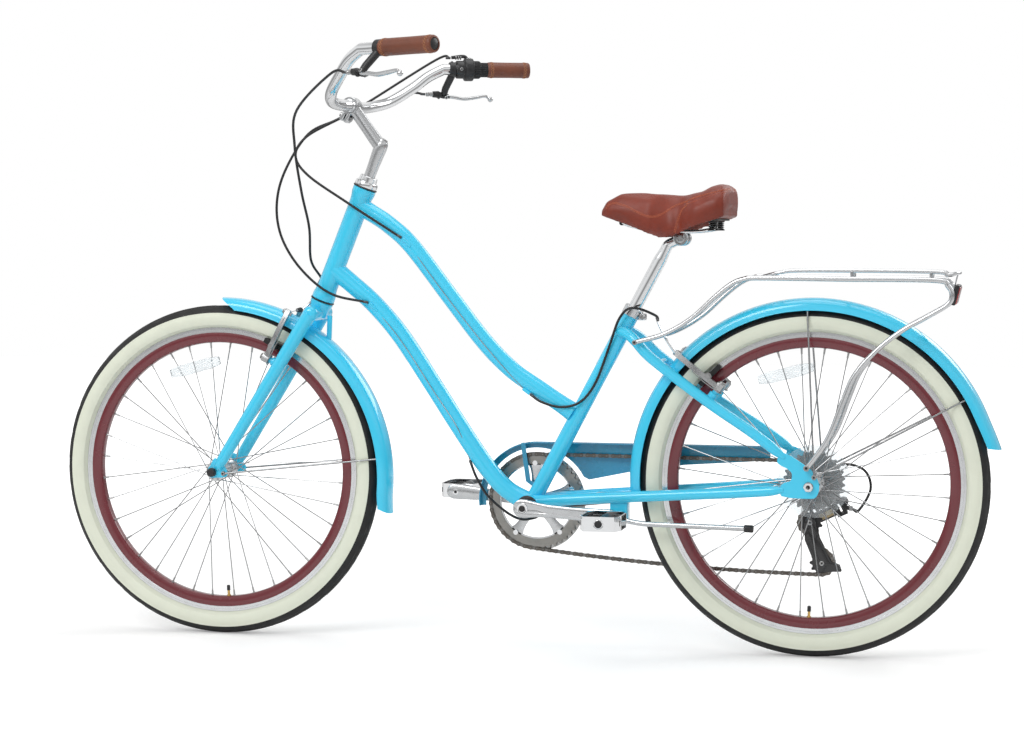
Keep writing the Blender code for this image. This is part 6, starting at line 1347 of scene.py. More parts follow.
def fine_pedals():
    """Boat-shaped cage pedals: serrated plates, orange reflectors, a barrel and a ringed end cap."""
    for word, side in (("left", -1), ("right", 1)):
        name = word + "_pedal"
        out = SIDE * side
        eye = CRANK + crank_way(side) * CRANK_LENGTH
        inner = 0.084
        wide, narrow, length, wall = 0.039, 0.03, 0.095, 0.0035
        plan = [(-narrow, 0.0), (narrow, 0.0), (wide, 0.02), (wide, length - 0.024), (narrow, length)]
        plan += [(-narrow, length), (-wide, length - 0.024), (-wide, 0.02)]
        fine = []
        count = len(plan)
        for i in range(count):
            a, b = Vector(plan[i]), Vector(plan[(i + 1) % count])
            pieces = max(2, int((b - a).length / 0.0032))
            for k in range(pieces):
                fine.append((a.lerp(b, k / pieces), i in (2, 6)))
        bm = bmesh.new()
        rings = []
        for level, cut in ((-0.014, True), (-0.0105, False), (0.0105, False), (0.014, True)):
            ring = []
            for k, (spot, tooth) in enumerate(fine):
                z = level
                if cut and tooth:
                    z = level * (0.86 if k % 2 else 1.0)
                ring.append(bm.verts.new(eye + out * (inner + spot.y) + BACK * spot.x + UP * z))
            rings.append(ring)
        for level in (0.0132, 0.01, -0.01, -0.0132):
            ring = []
            for spot, _ in fine:
                x = spot.x * (1 - wall / wide)
                y = min(max(spot.y, wall), length - wall)
                ring.append(bm.verts.new(eye + out * (inner + y) + BACK * x + UP * level))
            rings.append(ring)
        skin(bm, rings, closed=True)
        barrel = [(0.0058, 0.001), (0.0098, 0.001), (0.0105, 0.002), (0.0105, 0.09), (0.0098, 0.091),
                  (0.0058, 0.091)]
        turned(bm, [(r, h + inner) for r, h in barrel], eye, out, 32, 1)
        cap = [(0.0, length + 0.001), (0.0072, length + 0.001), (0.0084, length + 0.0002),
               (0.0096, length + 0.0004)]
        cap += [(0.0104, length - 0.0008), (0.0104, length - 0.008), (0.0, length - 0.008)]
        faces = turned(bm, [(r, h + inner) for r, h in cap], eye, out, 36, 0)
        for face in faces:
            spot = face.calc_center_median() - eye
            if hypot(spot.x, spot.z) < 0.0073:
                face.material_index = 1
        for way in (-1, 1):
            block(bm, eye + out * (inner + 0.0455) + BACK * way * 0.0362, (0.005, 0.044, 0.0145), None, 2,
                  0.0014, 2)
            block(bm, eye + out * (inner + 0.0455) + BACK * way * 0.0348, (0.004, 0.05, 0.019), None, 1, 0.001,
                  2)
            for spot in (0.016, 0.075):
                block(bm, eye + out * (inner + spot) + BACK * way * 0.0225, (0.03, 0.0052, 0.011), None, 1,
                      0.0012, 2)
        show(name, bm, [CHROME_PLATE, BLACK_PLASTIC, AMBER], 32)


def chain_path():
    """The chain's pins, one pitch apart round its loop."""
    wheels = [((c.x, c.z), pitch_radius(teeth), turn) for c, teeth,
              turn in ((CRANK, RING_TEETH, -1), (REAR, 18, -1), (GUIDE, PULLEY_TEETH, 1),
                       (TENSION, PULLEY_TEETH, -1))]
    links = [(False, 1), (True, 1), (True, -1), (False, 1)]
    runs = []
    for i, (cross, pick) in enumerate(links):
        (c1, r1, _), (c2, r2, _) = wheels[i], wheels[(i + 1) % 4]
        dx, dz = c2[0] - c1[0], c2[1] - c1[1]
        swing = acos((r1 + r2 if cross else r1 - r2) / hypot(dx, dz))
        a1 = atan2(dz, dx) + pick * swing
        a2 = a1 + pi if cross else a1
        runs.append(((c1[0] + r1 * cos(a1), c1[1] + r1 * sin(a1)),
                     (c2[0] + r2 * cos(a2), c2[1] + r2 * sin(a2))))
    path = []
    for i, (start, end) in enumerate(runs):
        sag = 0.008 if i == 3 else 0.0
        for k in range(40):
            t = k / 40
            path.append(Vector((start[0] + (end[0] - start[0]) * t, CHAIN_Y,
                                start[1] + (end[1] - start[1]) * t - 4 * sag * t * (1 - t))))
        centre, radius, turn = wheels[(i + 1) % 4]
        away = runs[(i + 1) % 4][0]
        a1 = atan2(end[1] - centre[1], end[0] - centre[0])
        a2 = atan2(away[1] - centre[1], away[0] - centre[0])
        span = ((a2 - a1) * turn) % tau * turn
        for k in range(24):
            a = a1 + span * k / 24
            path.append(Vector((centre[0] + radius * cos(a), CHAIN_Y, centre[1] + radius * sin(a))))
    total = sum((b - a).length for a, b in zip(path, path[1:] + path[:1]))
    pins = 2 * round(total / PITCH / 2)
    step, spots, gone, index = total / pins, [], 0.0, 0
    loop = path + [path[0]]
    for k in range(pins):
        goal = k * step
        while gone + (loop[index + 1] - loop[index]).length < goal:
            gone += (loop[index + 1] - loop[index]).length
            index += 1
        edge = loop[index + 1] - loop[index]
        spots.append(loop[index] + edge * ((goal - gone) / max(edge.length, 1e-9)))
    return spots


def fine_chain():
    """Every link of the roller chain: waisted outer and inner plates, rollers and pin heads."""
    spots = chain_path()
    count = len(spots)
    bm = bmesh.new()
    for k, spot in enumerate(spots):
        after = spots[(k + 1) % count]
        along = (after - spot).normalized()
        place = axes((spot + after) / 2, SIDE, along)
        half = (after - spot).length / 2
        outer = k % 2 == 0
        shape = []
        for middle, turn in ((half, 0.0), (-half, pi)):
            for degrees in (-75, -38, 0, 38, 75):
                a = turn + radians(degrees)
                shape.append((middle + 0.0041 * cos(a), 0.0041 * sin(a)))
            shape.append((0.0, 0.003 if turn == 0.0 else -0.003))
        for way in (-1, 1):
            level = way * (0.0031 if outer else 0.002)
            slab(bm, shape, 0.0009, place @ Matrix.Translation((0, 0, level)), 0 if outer else 1, 0.00025)
        turned(bm, [(0.0, -0.0036), (0.0014, -0.0036), (0.0017, -0.0032), (0.0017, 0.0032), (0.0014, 0.0036),
                    (0.0, 0.0036)], spot, SIDE, 8, 1)
        turned(bm, [(0.0, -0.0015), (0.0036, -0.0015), (0.0036, 0.0015), (0.0, 0.0015)], spot, SIDE, 10, 1)
    show("chain", bm, [FINISH["dark_steel"], GREY_STEEL], 35)


def fine_freewheel():
    """The sprockets with their spacers, and the two pulleys."""
    bm = bmesh.new()
    turned(bm, [(0.0172, 0.0265), (0.0215, 0.0265), (0.0215, 0.0575), (0.0205, 0.0588), (0.0172, 0.0588)], REAR,
           SIDE, 48)
    for i, teeth in enumerate((28, 24, 22, 20, 18, 16, 14)):
        gear(bm, REAR, 0.0285 + 0.0048 * i, teeth, 0.02, i % 2)
        if i < 6:
            turned(bm, [(0.02, 0.0), (0.0245, 0.0), (0.0245, 0.0024), (0.02, 0.0024)],
                   REAR + SIDE * (0.0297 + 0.0048 * i), SIDE, 40, 2)
    show("freewheel", bm, [GREY_STEEL, FINISH["dark_steel"], BLACK_PLASTIC])
    for name, centre in (("guide_pulley", GUIDE), ("tension_pulley", TENSION)):
        bm = bmesh.new()
        gear(bm, centre, 0.0, PULLEY_TEETH, 0.006, 0, 0.0018)
        turned(bm, [(0.0038, -0.003), (0.008, -0.003), (0.0085, -0.0024), (0.0085, 0.0024), (0.008, 0.003),
                    (0.0038, 0.003)], centre, SIDE, 32, 1)
        show(name, bm, [BLACK_PLASTIC, DARK_ZINC])


ARM_ALLOY = metal("arm_alloy", (0.62, 0.63, 0.64, 1.0), 0.2, None, 0.06, 0.3)
GUARD_ALLOY = metal("guard_alloy", (0.5, 0.5, 0.49, 1.0), 0.3, (1.0, 20.0, 1.0), 0.1)
RING_STEEL = metal("ring_steel", (0.34, 0.33, 0.31, 1.0), 0.34, None, 0.15, 0.5)
fine_cranks()
fine_pedals()
fine_chain()
fine_freewheel()


# Saddle, seatpost, collar and stand
SADDLE_SKIN = leather("saddle_skin", linear(131, 44, 18), 700.0, 0.5, 0.1)
SEAM_SHADE = leather("seam_shade", linear(176, 84, 56), 500.0, 0.6, 0.2)
SEAM_THREAD = rubber("seam_thread", linear(196, 112, 78), 0.7, 2500.0)
BROWN_DARK = plastic("saddle_shell", (0.02, 0.018, 0.016, 1.0), 0.5)


def eased(marks, share):
    """A value between marks of (share, value), eased from one to the next."""
    for (s0, v0), (s1, v1) in zip(marks, marks[1:]):
        if share <= s1:
            t = (share - s0) / (s1 - s0)
            return v0 + (v1 - v0) * t * t * (3 - 2 * t)
    return marks[-1][1]


def saddle_block(shrink):
    """The saddle's stuffed form before it is blown up, a little smaller than it ends."""
    half_marks = [(0, 0.013), (0.07, 0.026), (0.36, 0.038), (0.6, 0.074), (0.8, 0.104), (0.93, 0.104),
                  (1, 0.099)]
    top_marks = [(0, 0.85), (0.06, 0.868), (0.18, 0.8795), (0.48, 0.8745), (0.66, 0.8715), (0.78, 0.877),
                 (0.9, 0.89), (0.955, 0.8945), (1, 0.888)]
    low_line = [(0, 0.835), (0.13, 0.823), (0.295, 0.807), (0.47, 0.7895), (0.56, 0.7895), (0.746, 0.808),
                (0.925, 0.823), (1, 0.832)]
    section = [(0.0, 0.985), (0.4, 0.978), (0.74, 0.89), (0.95, 0.64), (1.0, 0.38), (0.96, 0.04)]
    fine = path_of([(a, b, 0) for a, b in section], 4)
    bm = bmesh.new()
    rows = []
    for i in range(49):
        share = i / 48
        half, top = (eased(m, share) for m in (half_marks, top_marks))
        low = float(np.interp(share, [a for a, _ in low_line], [b for _, b in low_line]))
        half -= shrink
        top -= shrink
        low += shrink * 0.4
        dip = 0.0025 * exp(-((share - 0.62) / 0.2) ** 2)
        x = 0.183 + shrink + (0.257 - 2 * shrink) * share
        tall = top - low
        row = [Vector((x, -half * p.x, low + tall * p.y - dip * (1 - p.x) ** 3)) for p in reversed(fine)]
        row += [Vector((x, half * p.x, low + tall * p.y - dip * (1 - p.x) ** 3)) for p in fine[1:]]
        floor = max(low + 0.001, 0.8305) if 0.17 < share < 0.95 else low + 0.001
        inner = max(0.3 * half, half - 0.01)
        row += [Vector((x, inner, low)), Vector((x, inner * 0.98, floor)), Vector((x, 0.0, floor))]
        row += [Vector((x, -inner * 0.98, floor)), Vector((x, -inner, low))]
        rows.append([bm.verts.new(at(*spot)) for spot in row])
    skin(bm, rows)
    mesh = bpy.data.meshes.new("saddle_block")
    bm.to_mesh(mesh)
    bm.free()
    return mesh


def apply_stack(piece):
    """Bakes an object's modifiers into a new mesh."""
    graph = bpy.context.evaluated_depsgraph_get()
    baked = bpy.data.meshes.new_from_object(piece.evaluated_get(graph), depsgraph=graph)
    piece.modifiers.clear()
    piece.data = baked
    return baked


def relaxed(piece, count):
    """Smooths the cover's vertices a few times."""
    relax = piece.modifiers.new("relax", "SMOOTH")
    relax.factor, relax.iterations = 0.5, count


def rows_of(mesh, key):
    """A vector of each vertex, as the rows of an array."""
    flat = np.empty(len(mesh.vertices) * 3)
    mesh.vertices.foreach_get(key, flat)
    return flat.reshape(-1, 3)


def fine_saddle():
    """A cover drawn over padding: remeshed, blown up as cloth with a capped swell, then smoothed and sewn."""
    scene = bpy.context.scene
    piece = bpy.data.objects.new("saddle_cover", saddle_block(0.0016))
    scene.collection.objects.link(piece)
    even = piece.modifiers.new("even", "REMESH")
    even.mode, even.voxel_size = "VOXEL", 0.004
    apply_stack(piece)
    relaxed(piece, 3)
    mesh = apply_stack(piece)
    start = rows_of(mesh, "co")
    cloth = piece.modifiers.new("pad", "CLOTH")
    cloth.settings.quality = 6
    cloth.settings.mass = 0.2
    cloth.settings.use_pressure = True
    cloth.settings.uniform_pressure_force = 4.0
    cloth.settings.effector_weights.gravity = 0.0
    cloth.settings.tension_stiffness = cloth.settings.compression_stiffness = 18.0
    scene.frame_start, scene.frame_end = 1, 20
    for number in range(1, 21):
        scene.frame_set(number)
    graph = bpy.context.evaluated_depsgraph_get()
    blown = bpy.data.meshes.new_from_object(piece.evaluated_get(graph), depsgraph=graph)
    piece.modifiers.clear()
    scene.frame_set(1)
    move = rows_of(blown, "co") - start
    size = np.linalg.norm(move, axis=1, keepdims=True)
    cap = np.where(rows_of(mesh, "normal")[:, 2:3] < -0.4, 0.0004, 0.0045)
    move *= np.minimum(1.0, cap / np.maximum(size, 1e-9))
    mesh.vertices.foreach_set("co", (start + move).ravel())
    mesh.update()
    relaxed(piece, 8)
    finer = piece.modifiers.new("finer", "SUBSURF")
    finer.levels = finer.render_levels = 1
    mesh = apply_stack(piece)
    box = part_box("saddle")
    low, high = Vector(box[0]), Vector(box[1])
    for vertex in mesh.vertices:
        for axis in range(3):
            spare = 0.005 if axis == 2 else 0.0
            vertex.co[axis] = min(max(vertex.co[axis], low[axis] - spare), high[axis] + spare)
    mesh.materials.clear()
    mesh.materials.append(SADDLE_SKIN)
    mesh.shade_smooth()
    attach(piece, BODY_OF["saddle"])
    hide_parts("saddle")
    sew(piece)


def sew(piece):
    """Light seam lines with raised stitches, laid on the cover on both sides."""
    tree = BVHTree.FromPolygons([v.co[:] for v in piece.data.vertices],
                                [p.vertices[:] for p in piece.data.polygons])
    eye = Vector((1.0465, -4.292, 0.8128))
    wing = [(0.1945, 0.8475), (0.2013, 0.8565), (0.215, 0.859), (0.2287, 0.8551), (0.2424, 0.8493),
            (0.2561, 0.8417)]
    wing += [(0.2717, 0.835), (0.2854, 0.833), (0.2991, 0.8359), (0.3128, 0.8436), (0.3304, 0.8541),
             (0.3481, 0.8608)]
    wing += [(0.3676, 0.869), (0.3989, 0.8775), (0.4342, 0.885)]
    tail = [(0.348, 0.8605), (0.353, 0.857), (0.3422, 0.8455), (0.3353, 0.8302), (0.3305, 0.8129),
            (0.3277, 0.803)]
    upper = [(0.353, 0.857), (0.3774, 0.8656), (0.3989, 0.8733), (0.4224, 0.8781), (0.443, 0.884)]
    bm = bmesh.new()
    for line, stitched in ((wing, True), (tail, True), (upper, False)):
        spots = []
        for spot in path_of([at(x, 0, z) for x, z in line], 10):
            hit, normal, _, _ = tree.ray_cast(eye, (spot - eye).normalized())
            if hit and hit.y < 0.0:
                spots.append((hit, normal if normal.y < 0.2 else -normal))
        for way in (1, -1):
            path = [(Vector((p.x, p.y * way, p.z)), Vector((n.x, n.y * way, n.z))) for p, n in spots]
            if len(path) < 3:
                continue
            sweep(bm, [p - n * 0.00015 for p, n in path], 0.0006, 8, 0)
            gone, length = 0.0, 0.0
            for (a, na), (b, nb) in zip(path, path[1:]):
                edge = (b - a).length
                pieces = max(1, int(edge / 0.0004))
                for k in range(pieces):
                    length += edge / pieces
                    if not stitched or length - gone < 0.0036:
                        continue
                    gone = length
                    t = k / pieces
                    spot, normal = a.lerp(b, t), na.lerp(nb, t).normalized()
                    along = (b - a).normalized()
                    for shift in (-0.0016, 0.0016):
                        cross = along.cross(normal) * shift
                        ends = [spot + cross - along * 0.0011, spot + cross + normal * 0.0003,
                                spot + cross + along * 0.0011]
                        sweep(bm, ends, 0.0004, 6, 1)
    emit("saddle_seams", bm, [SEAM_SHADE, SEAM_THREAD], BODY_OF["saddle"], None, 60)


SADDLE_CLAMP = at(0.343, 0.0, 0.7917)


def fine_seatpost():
    """The seatpost with its bent neck and clamp head."""
    bm = bmesh.new()
    top, clamp = at(0.316, 0.0, 0.7803), SADDLE_CLAMP
    start = SEAT_TOP - SEAT_AXIS * 0.11
    length = (top - start).length
    post = [(0.0, 0.0), (0.0115, 0.0), (0.0124, 0.0012), (0.0124, length - 0.034), (0.0121, length - 0.03)]
    post += [(0.0105, length - 0.016), (0.0103, length - 0.002), (0.0085, length), (0.0, length)]
    turned(bm, post, start, SEAT_AXIS, 44)
    neck = [top - SEAT_AXIS * 0.016, top - SEAT_AXIS * 0.002, top.lerp(clamp, 0.5),
            clamp - Vector((0.004, 0, 0.001))]
    sweep(bm, path_of(neck, 6), 0.01, 28)
    head_ring = [(0.0047, -0.011), (0.01, -0.011), (0.0106, -0.0102), (0.0106, 0.0102), (0.01, 0.011),
                 (0.0047, 0.011)]
    turned(bm, head_ring, clamp, SIDE, 36, 1)
    show("seatpost", bm, [CHROME_PLATE, DARK_ZINC])


def fine_rails():
    """The saddle's rails, clamp discs with their nuts, springs and front bar."""
    bm = bmesh.new()
    clamp = SADDLE_CLAMP
    for side in (-1, 1):
        rail = [(0.228, 0.009, 0.8215), (0.246, 0.012, 0.8155), (0.285, 0.018, 0.807), (0.315, 0.022, 0.8045)]
        rail += [(0.37, 0.022, 0.8045), (0.395, 0.03, 0.807), (0.41, 0.04, 0.811)]
        sweep(bm, path_of(placed(rail, side), 8), 0.0035, 18)
        out = SIDE * side
        disc = [(0.0042, 0.0113), (0.013, 0.0113), (0.0142, 0.0125), (0.0142, 0.0225), (0.013, 0.024)]
        disc += [(0.0105, 0.024), (0.0098, 0.0232), (0.0075, 0.0232), (0.0042, 0.0236)]
        turned(bm, disc, clamp, out, 44)
        nut(bm, clamp + out * 0.0268, out, 0.007, 0.0062, 1)
        rod(bm, clamp + out * 0.029, clamp + out * 0.03, 0.0034, 16, 0)
        foot = at(0.408, side * 0.04, 0.811)
        turned(bm, [(0.0, -0.005), (0.0098, -0.005), (0.01, -0.0042), (0.01, -0.003), (0.0, -0.003)], foot, UP,
               24, 2)
        turned(bm, [(0.0, 0.0113), (0.01, 0.0113), (0.01, 0.013), (0.0, 0.0133)], foot, UP, 24, 2)
        coil = []
        for t in range(73):
            spot = Vector((cos(t * 0.35), sin(t * 0.35), 0.0)) * 0.0078
            coil.append(foot + spot + UP * (-0.003 + 0.0145 * t / 72))
        sweep(bm, coil, 0.0013, 10, 2)
    rod(bm, clamp - SIDE * 0.02, clamp + SIDE * 0.02, 0.004, 16, 1)
    rod(bm, at(0.228, -0.0125, 0.8215), at(0.228, 0.0125, 0.8215), 0.005, 20, 2)
    show("saddle_frame", bm, [CHROME_PLATE, DARK_ZINC, BLACK_PAINT])


def fine_collar():
    """The seat collar: a band, two ears and their bolt."""
    bm = bmesh.new()
    band = [(0.0156, -0.015), (0.0156, 0.0003), (0.0133, 0.0003), (0.0133, 0.0024), (0.014, 0.003),
            (0.018, 0.003)]
    band += [(0.0188, 0.002), (0.0188, -0.014), (0.018, -0.015)]
    turned(bm, band, SEAT_TOP, SEAT_AXIS, 44)
    rear = Vector((SEAT_AXIS.z, 0, -SEAT_AXIS.x))
    spot = SEAT_TOP - SEAT_AXIS * 0.0055 + rear * 0.0218
    for shift in (-0.0058, 0.0058):
        block(bm, spot + SIDE * shift, (0.0125, 0.0068, 0.0125), None, 0, 0.0016, 2)
    for side in (-1, 1):
        screw(bm, spot + rear * 0.0008 + SIDE * side * 0.0092, SIDE * side, 0.0047, 0.005, 1, 2)
    rod(bm, spot - SIDE * 0.012 + rear * 0.0008, spot + SIDE * 0.012 + rear * 0.0008, 0.003, 14, 1)
    show("seat_collar", bm, [ARM_ALLOY, DARK_ZINC, BLACK_PLASTIC], name="collar")


def fine_stand():
    """The folded kickstand leg with its ribbed foot and pivot."""
    bm = bmesh.new()
    pivot = at(0.2335, -0.048, 0.258)
    route = [pivot, pivot + Vector((0.014, -0.002, -0.004)), pivot + Vector((0.04, -0.003, -0.008))]
    route += [pivot + Vector((0.242, -0.004, -0.0115))]
    sweep(bm, filleted(route), 0.005, 22)
    tip = route[-1]
    foot = [(0.0, -0.006), (0.0058, -0.006), (0.007, -0.0045), (0.0072, 0.009), (0.0062, 0.0115), (0.0, 0.012)]

    def ribbed(k, i, radius, height):
        return (radius * (0.95 if k % 3 == 0 and 0 <= height < 0.01 else 1), height)

    turned(bm, foot, tip, BACK - UP * 0.04, 24, 1, ribbed)
    hub = [(0.0, -0.0065), (0.0078, -0.0065), (0.0085, -0.0058), (0.0085, 0.0048), (0.0078, 0.0055),
           (0.0, 0.0055)]
    turned(bm, hub, pivot, SIDE, 32)
    screw(bm, pivot - SIDE * 0.0062, -SIDE, 0.0052, 0.0016, 2, 1)
    rod(bm, pivot, pivot + SIDE * 0.027, 0.004, 16, 2)
    show("kickstand", bm, [ARM_ALLOY, BLACK_PLASTIC, DARK_ZINC])


fine_saddle()
fine_seatpost()
fine_rails()
dressed("saddle_base", BROWN_DARK, 0.0006)
fine_collar()
fine_stand()


# Brakes, derailleur, guard and wheel fittings
CAST = metal("cast_alloy", (0.46, 0.465, 0.47, 1.0), 0.26, None, 0.1, 0.3)
CABLE_STEEL = metal("cable_steel", (0.4, 0.4, 0.41, 1.0), 0.25, (1.0, 8.0, 1.0), 0.3)


def arm_facts(which, side):
    """A brake arm's pivot, its direction, its pivot's axis and its tip."""
    up = ray(BRAKE_SLOPE[which])
    pivot = BRAKE_FOOT[which] + SIDE * side * 0.04
    return pivot, up, brake_axis(which), pivot + up * 0.104 - SIDE * side * 0.003


def fine_arm(which, side):
    """A cast brake arm: grooved black pad, pad nut with washers, spring, pivot bolt, and noodle or anchor."""
    name = f"{which}_brake_arm_{'left' if side == -1 else 'right'}"
    pivot, up, axis, tip = arm_facts(which, side)
    axle = FRONT if which == "front" else REAR
    out = SIDE * side
    radial = pivot - axle
    radial.y = 0
    radial.normalize()
    pad = axle + radial * 0.2795
    carries = (which == "front") == (side == 1)

    def details(bm):
        for face in bm.faces:
            spot = face.calc_center_median()
            if abs(spot.y) < 0.0236 and hypot(spot.x - axle.x, spot.z - axle.z) < 0.2895:
                face.material_index = 1
        end = axis * 0.0085
        turned(bm, [(0.0, 0.0), (0.008, 0.0), (0.008, 0.0008), (0.0062, 0.0014), (0.006, 0.004), (0.0, 0.0042)],
               pivot + end, axis, 24, 2)
        nut(bm, pad + out * 0.049, out, 0.0056, 0.0048, 2)
        turned(bm, [(0.0, 0.0), (0.0072, 0.0), (0.0072, 0.0014), (0.0, 0.0016)], pad + out * 0.0452, out, 24, 2)
        for y, r in ((0.0252, 0.0066), (0.028, 0.006), (0.0308, 0.0068)):
            turned(bm, [(0.0, 0.0), (r, 0.0006), (r, 0.0016), (0.0, 0.0022)], pad + out * y, out, 24, 2
                   if y == 0.028 else 3)
        spring = [pivot + axis * -0.006 + out * 0.01, pivot + axis * -0.0075 + out * 0.0102 + up * 0.012]
        spring += [pivot - axis * 0.008 + out * 0.0085 + up * 0.038,
                   pivot - axis * 0.0068 + out * 0.0062 + up * 0.058]
        sweep(bm, path_of(spring, 6), 0.0008, 8, 2)
        turns = [tau * k / 28 for k in range(28)]
        ring = [pivot - axis * 0.0062 + (up * cos(t) + out * sin(t)) * 0.0108 for t in turns]
        sweep(bm, ring, 0.0008, 6, 2, closed=True)
        if carries:
            path = path_of([*NOODLES[which], tip + out * 0.005, tip - out * 0.002], 10)
            sweep(bm, path, 0.0028, 18, 4)
            far = arm_facts(which, -side)[3] - arm_facts(which, -side)[1] * 0.004
            ribs = [(0.0, 0.002)]
            for k in range(9):
                ribs.append((0.005 - 0.0002 * k + (0.0004 if k % 2 else -0.0004), 0.0022 + 0.0029 * k))
            turned(bm, ribs + [(0.0, 0.0262)], tip, -out, 24, 1)
            rod(bm, tip - out * 0.026, far - out * 0.001, 0.0008, 8, 5)
        else:
            low = tip - up * 0.004
            turned(bm, [(0.0, 0.0), (0.0066, 0.0), (0.0066, 0.0014), (0.0, 0.0016)], low + axis * 0.006, axis,
                   20, 2)
            nut(bm, low + axis * 0.0092, axis, 0.0052, 0.0034, 2)
            sweep(bm, path_of([low - axis * 0.002 + out * 0.004, low + out * 0.01 - up * 0.012,
                               low + out * 0.011 - up * 0.034], 6), 0.0008, 8, 5)
            rod(bm, low + out * 0.011 - up * 0.034, low + out * 0.0111 - up * 0.04, 0.0012, 8, 2)

    dressed(name, [CAST, PAD_RUBBER, DARK_ZINC, BLACK_PLASTIC, CHROME_PLATE, CABLE_STEEL], 0.0007, details, 30)


def fine_derailleur():
    """Hanger, link and cage with their screws, the outer badge panel left plain, and the cage's cut edges."""
    start, end = at(0.633, 0.069, 0.274), at(0.589, 0.069, 0.253)
    run = (end - start).normalized()
    slant = radians(14)
    axis = run.cross(SIDE).normalized() * cos(slant) + SIDE * sin(slant)

    def body_details(bm):
        screw(bm, at(0.643, 0.078, 0.287), SIDE, 0.0086, 0.0024, 1, 0)
        for way in (-1, 1):
            screw(bm, start + axis * way * 0.0145, axis * way, 0.004, 0.0014, 1, 0)
        turned(bm, [(0.0, 0.0), (0.005, 0.0), (0.005, 0.006), (0.004, 0.0068), (0.0, 0.0068)],
               at(0.6545, 0.0715, 0.2748), BACK, 20, 1, lambda k, i, r, h: (r * (0.92 if k % 2 else 1.0), h))

    def link_details(bm):
        middle = start.lerp(end, 0.5)
        face = axis.cross(run).normalized()
        face = face if face.y > 0 else -face
        block(bm, (0, 0, 0), (0.028, 0.013, 0.0016), axes(middle + face * 0.0062, face, run), 2, 0.0006, 2)
        block(bm, (0, 0, 0), (0.027, 0.0125, 0.0016), axes(middle - face * 0.0062, -face, run), 2, 0.0006, 2)
        screw(bm, GUIDE + SIDE * 0.0245, SIDE, 0.008, 0.0016, 1, 0)

    def cage_details(bm):
        for place in (GUIDE, TENSION):
            for way in (-1, 1):
                screw(bm, place + SIDE * way * 0.007, SIDE * way, 0.0046, 0.0012, 1, 0)

    looks = [BLACK_PLASTIC, DARK_ZINC, BEIGE]
    dressed("derailleur_body", looks, 0.0006, body_details)
    dressed("derailleur_link", looks, 0.0007, link_details)
    dressed("derailleur_cage", [BLACK_PAINT, DARK_ZINC], 0.0003, cage_details)


def arc(radius, first, last, count):
    """Side-view points round the bottom bracket, in building coordinates."""
    turns = [radians(first + (last - first) * i / (count - 1)) for i in range(count)]
    return [(CRANK.x - SHIFT + radius * cos(t), CRANK.z + radius * sin(t)) for t in turns]


def fine_guard():
    """The chain guard: a pressed sheet with a turned-in top edge, its strap and its bolt."""
    cz, outer = CRANK.z, 0.117
    top = cz + outer
    bm = bmesh.new()
    shape = arc(outer, 186, 90, 48) + [(0.498, top), (0.5035, top - 0.0015), (0.505, top - 0.006),
                                       (0.505, top - 0.026)]
    shape += [(0.503, top - 0.0285), (0.34, cz + 0.077), (0.236, cz + 0.0615), (0.226, cz + 0.06),
              (0.15, cz + 0.044)]
    shape += arc(outer - 0.012, 28, 186, 56)
    slab(bm, shape, 0.0015, upright(0.05735))
    edge, inside = outer - 0.0006, outer - 0.0024
    rim = arc(edge, 185.7, 90, 48) + [(0.499, cz + edge), (0.499, cz + inside)] + arc(inside, 90, 185.7, 48)
    slab(bm, rim, 0.012, upright(0.0509))
    tab = [(0.017, top - 0.004), (0.0255, top - 0.004), (0.036, cz + 0.042), (0.06, cz + 0.0275)]
    tab += [(0.058, cz + 0.021), (0.0525, cz + 0.0215), (0.027, cz + 0.04)]
    slab(bm, tab, 0.002, upright(0.0375))
    block(bm, at(0.0212, 0.0432, top - 0.0032), (0.008, 0.0134, 0.003), None, 0, 0.0006, 2)
    rod(bm, at(0.056, 0.0154, cz + 0.0245), at(0.056, 0.0382, cz + 0.0245), 0.0026, 14, 1)
    screw(bm, at(0.056, 0.0365, cz + 0.0245), -SIDE, 0.0048, 0.0022, 1, 0)
    for x, z in ((0.0212, top - 0.009), (0.39, top - 0.015)):
        turned(bm, [(0.0, 0.0), (0.0044, 0.0), (0.0036, 0.0009), (0.0, 0.0013)], at(x, 0.0581, z), SIDE, 20, 1)
    show("chain_guard", bm, [FINISH["dark_blue_paint"], DARK_ZINC], 35)


def fine_axle(name, axle, inner, outer, length, capped):
    """An axle with locknuts inside the dropouts and nuts outside them."""
    bm = bmesh.new()
    rod(bm, axle - SIDE * (outer + length - 0.001), axle + SIDE * (outer + length - 0.001), 0.0047, 20, 1, None,
        0.0006)
    for side in (-1, 1):
        out = SIDE * side
        turned(bm, [(0.0, inner - 0.0065), (0.0078, inner - 0.0065), (0.0082, inner - 0.006),
                    (0.0082, inner - 0.0006), (0.0, inner - 0.0003)], axle, out, 32, 1)
        turned(bm, [(0.0, outer), (0.0091, outer), (0.0091, outer + 0.0014), (0.0, outer + 0.0016)], axle, out,
               32, 1)
        if capped:
            cap = [(0.0, outer + 0.0014), (0.0088, outer + 0.0014), (0.0091, outer + 0.003),
                   (0.0088, outer + 0.0085)]
            cap += [(0.007, outer + 0.0112), (0.004, outer + 0.0119), (0.0, outer + 0.012)]
            turned(bm, cap, axle, out, 36, 0)
        else:
            nut(bm, axle + out * (outer + 0.0045), out, 0.0092, 0.006, 2)
    looks = [BLACK_PLASTIC, DARK_ZINC, CHROME_PLATE]
    show(name, bm, looks)


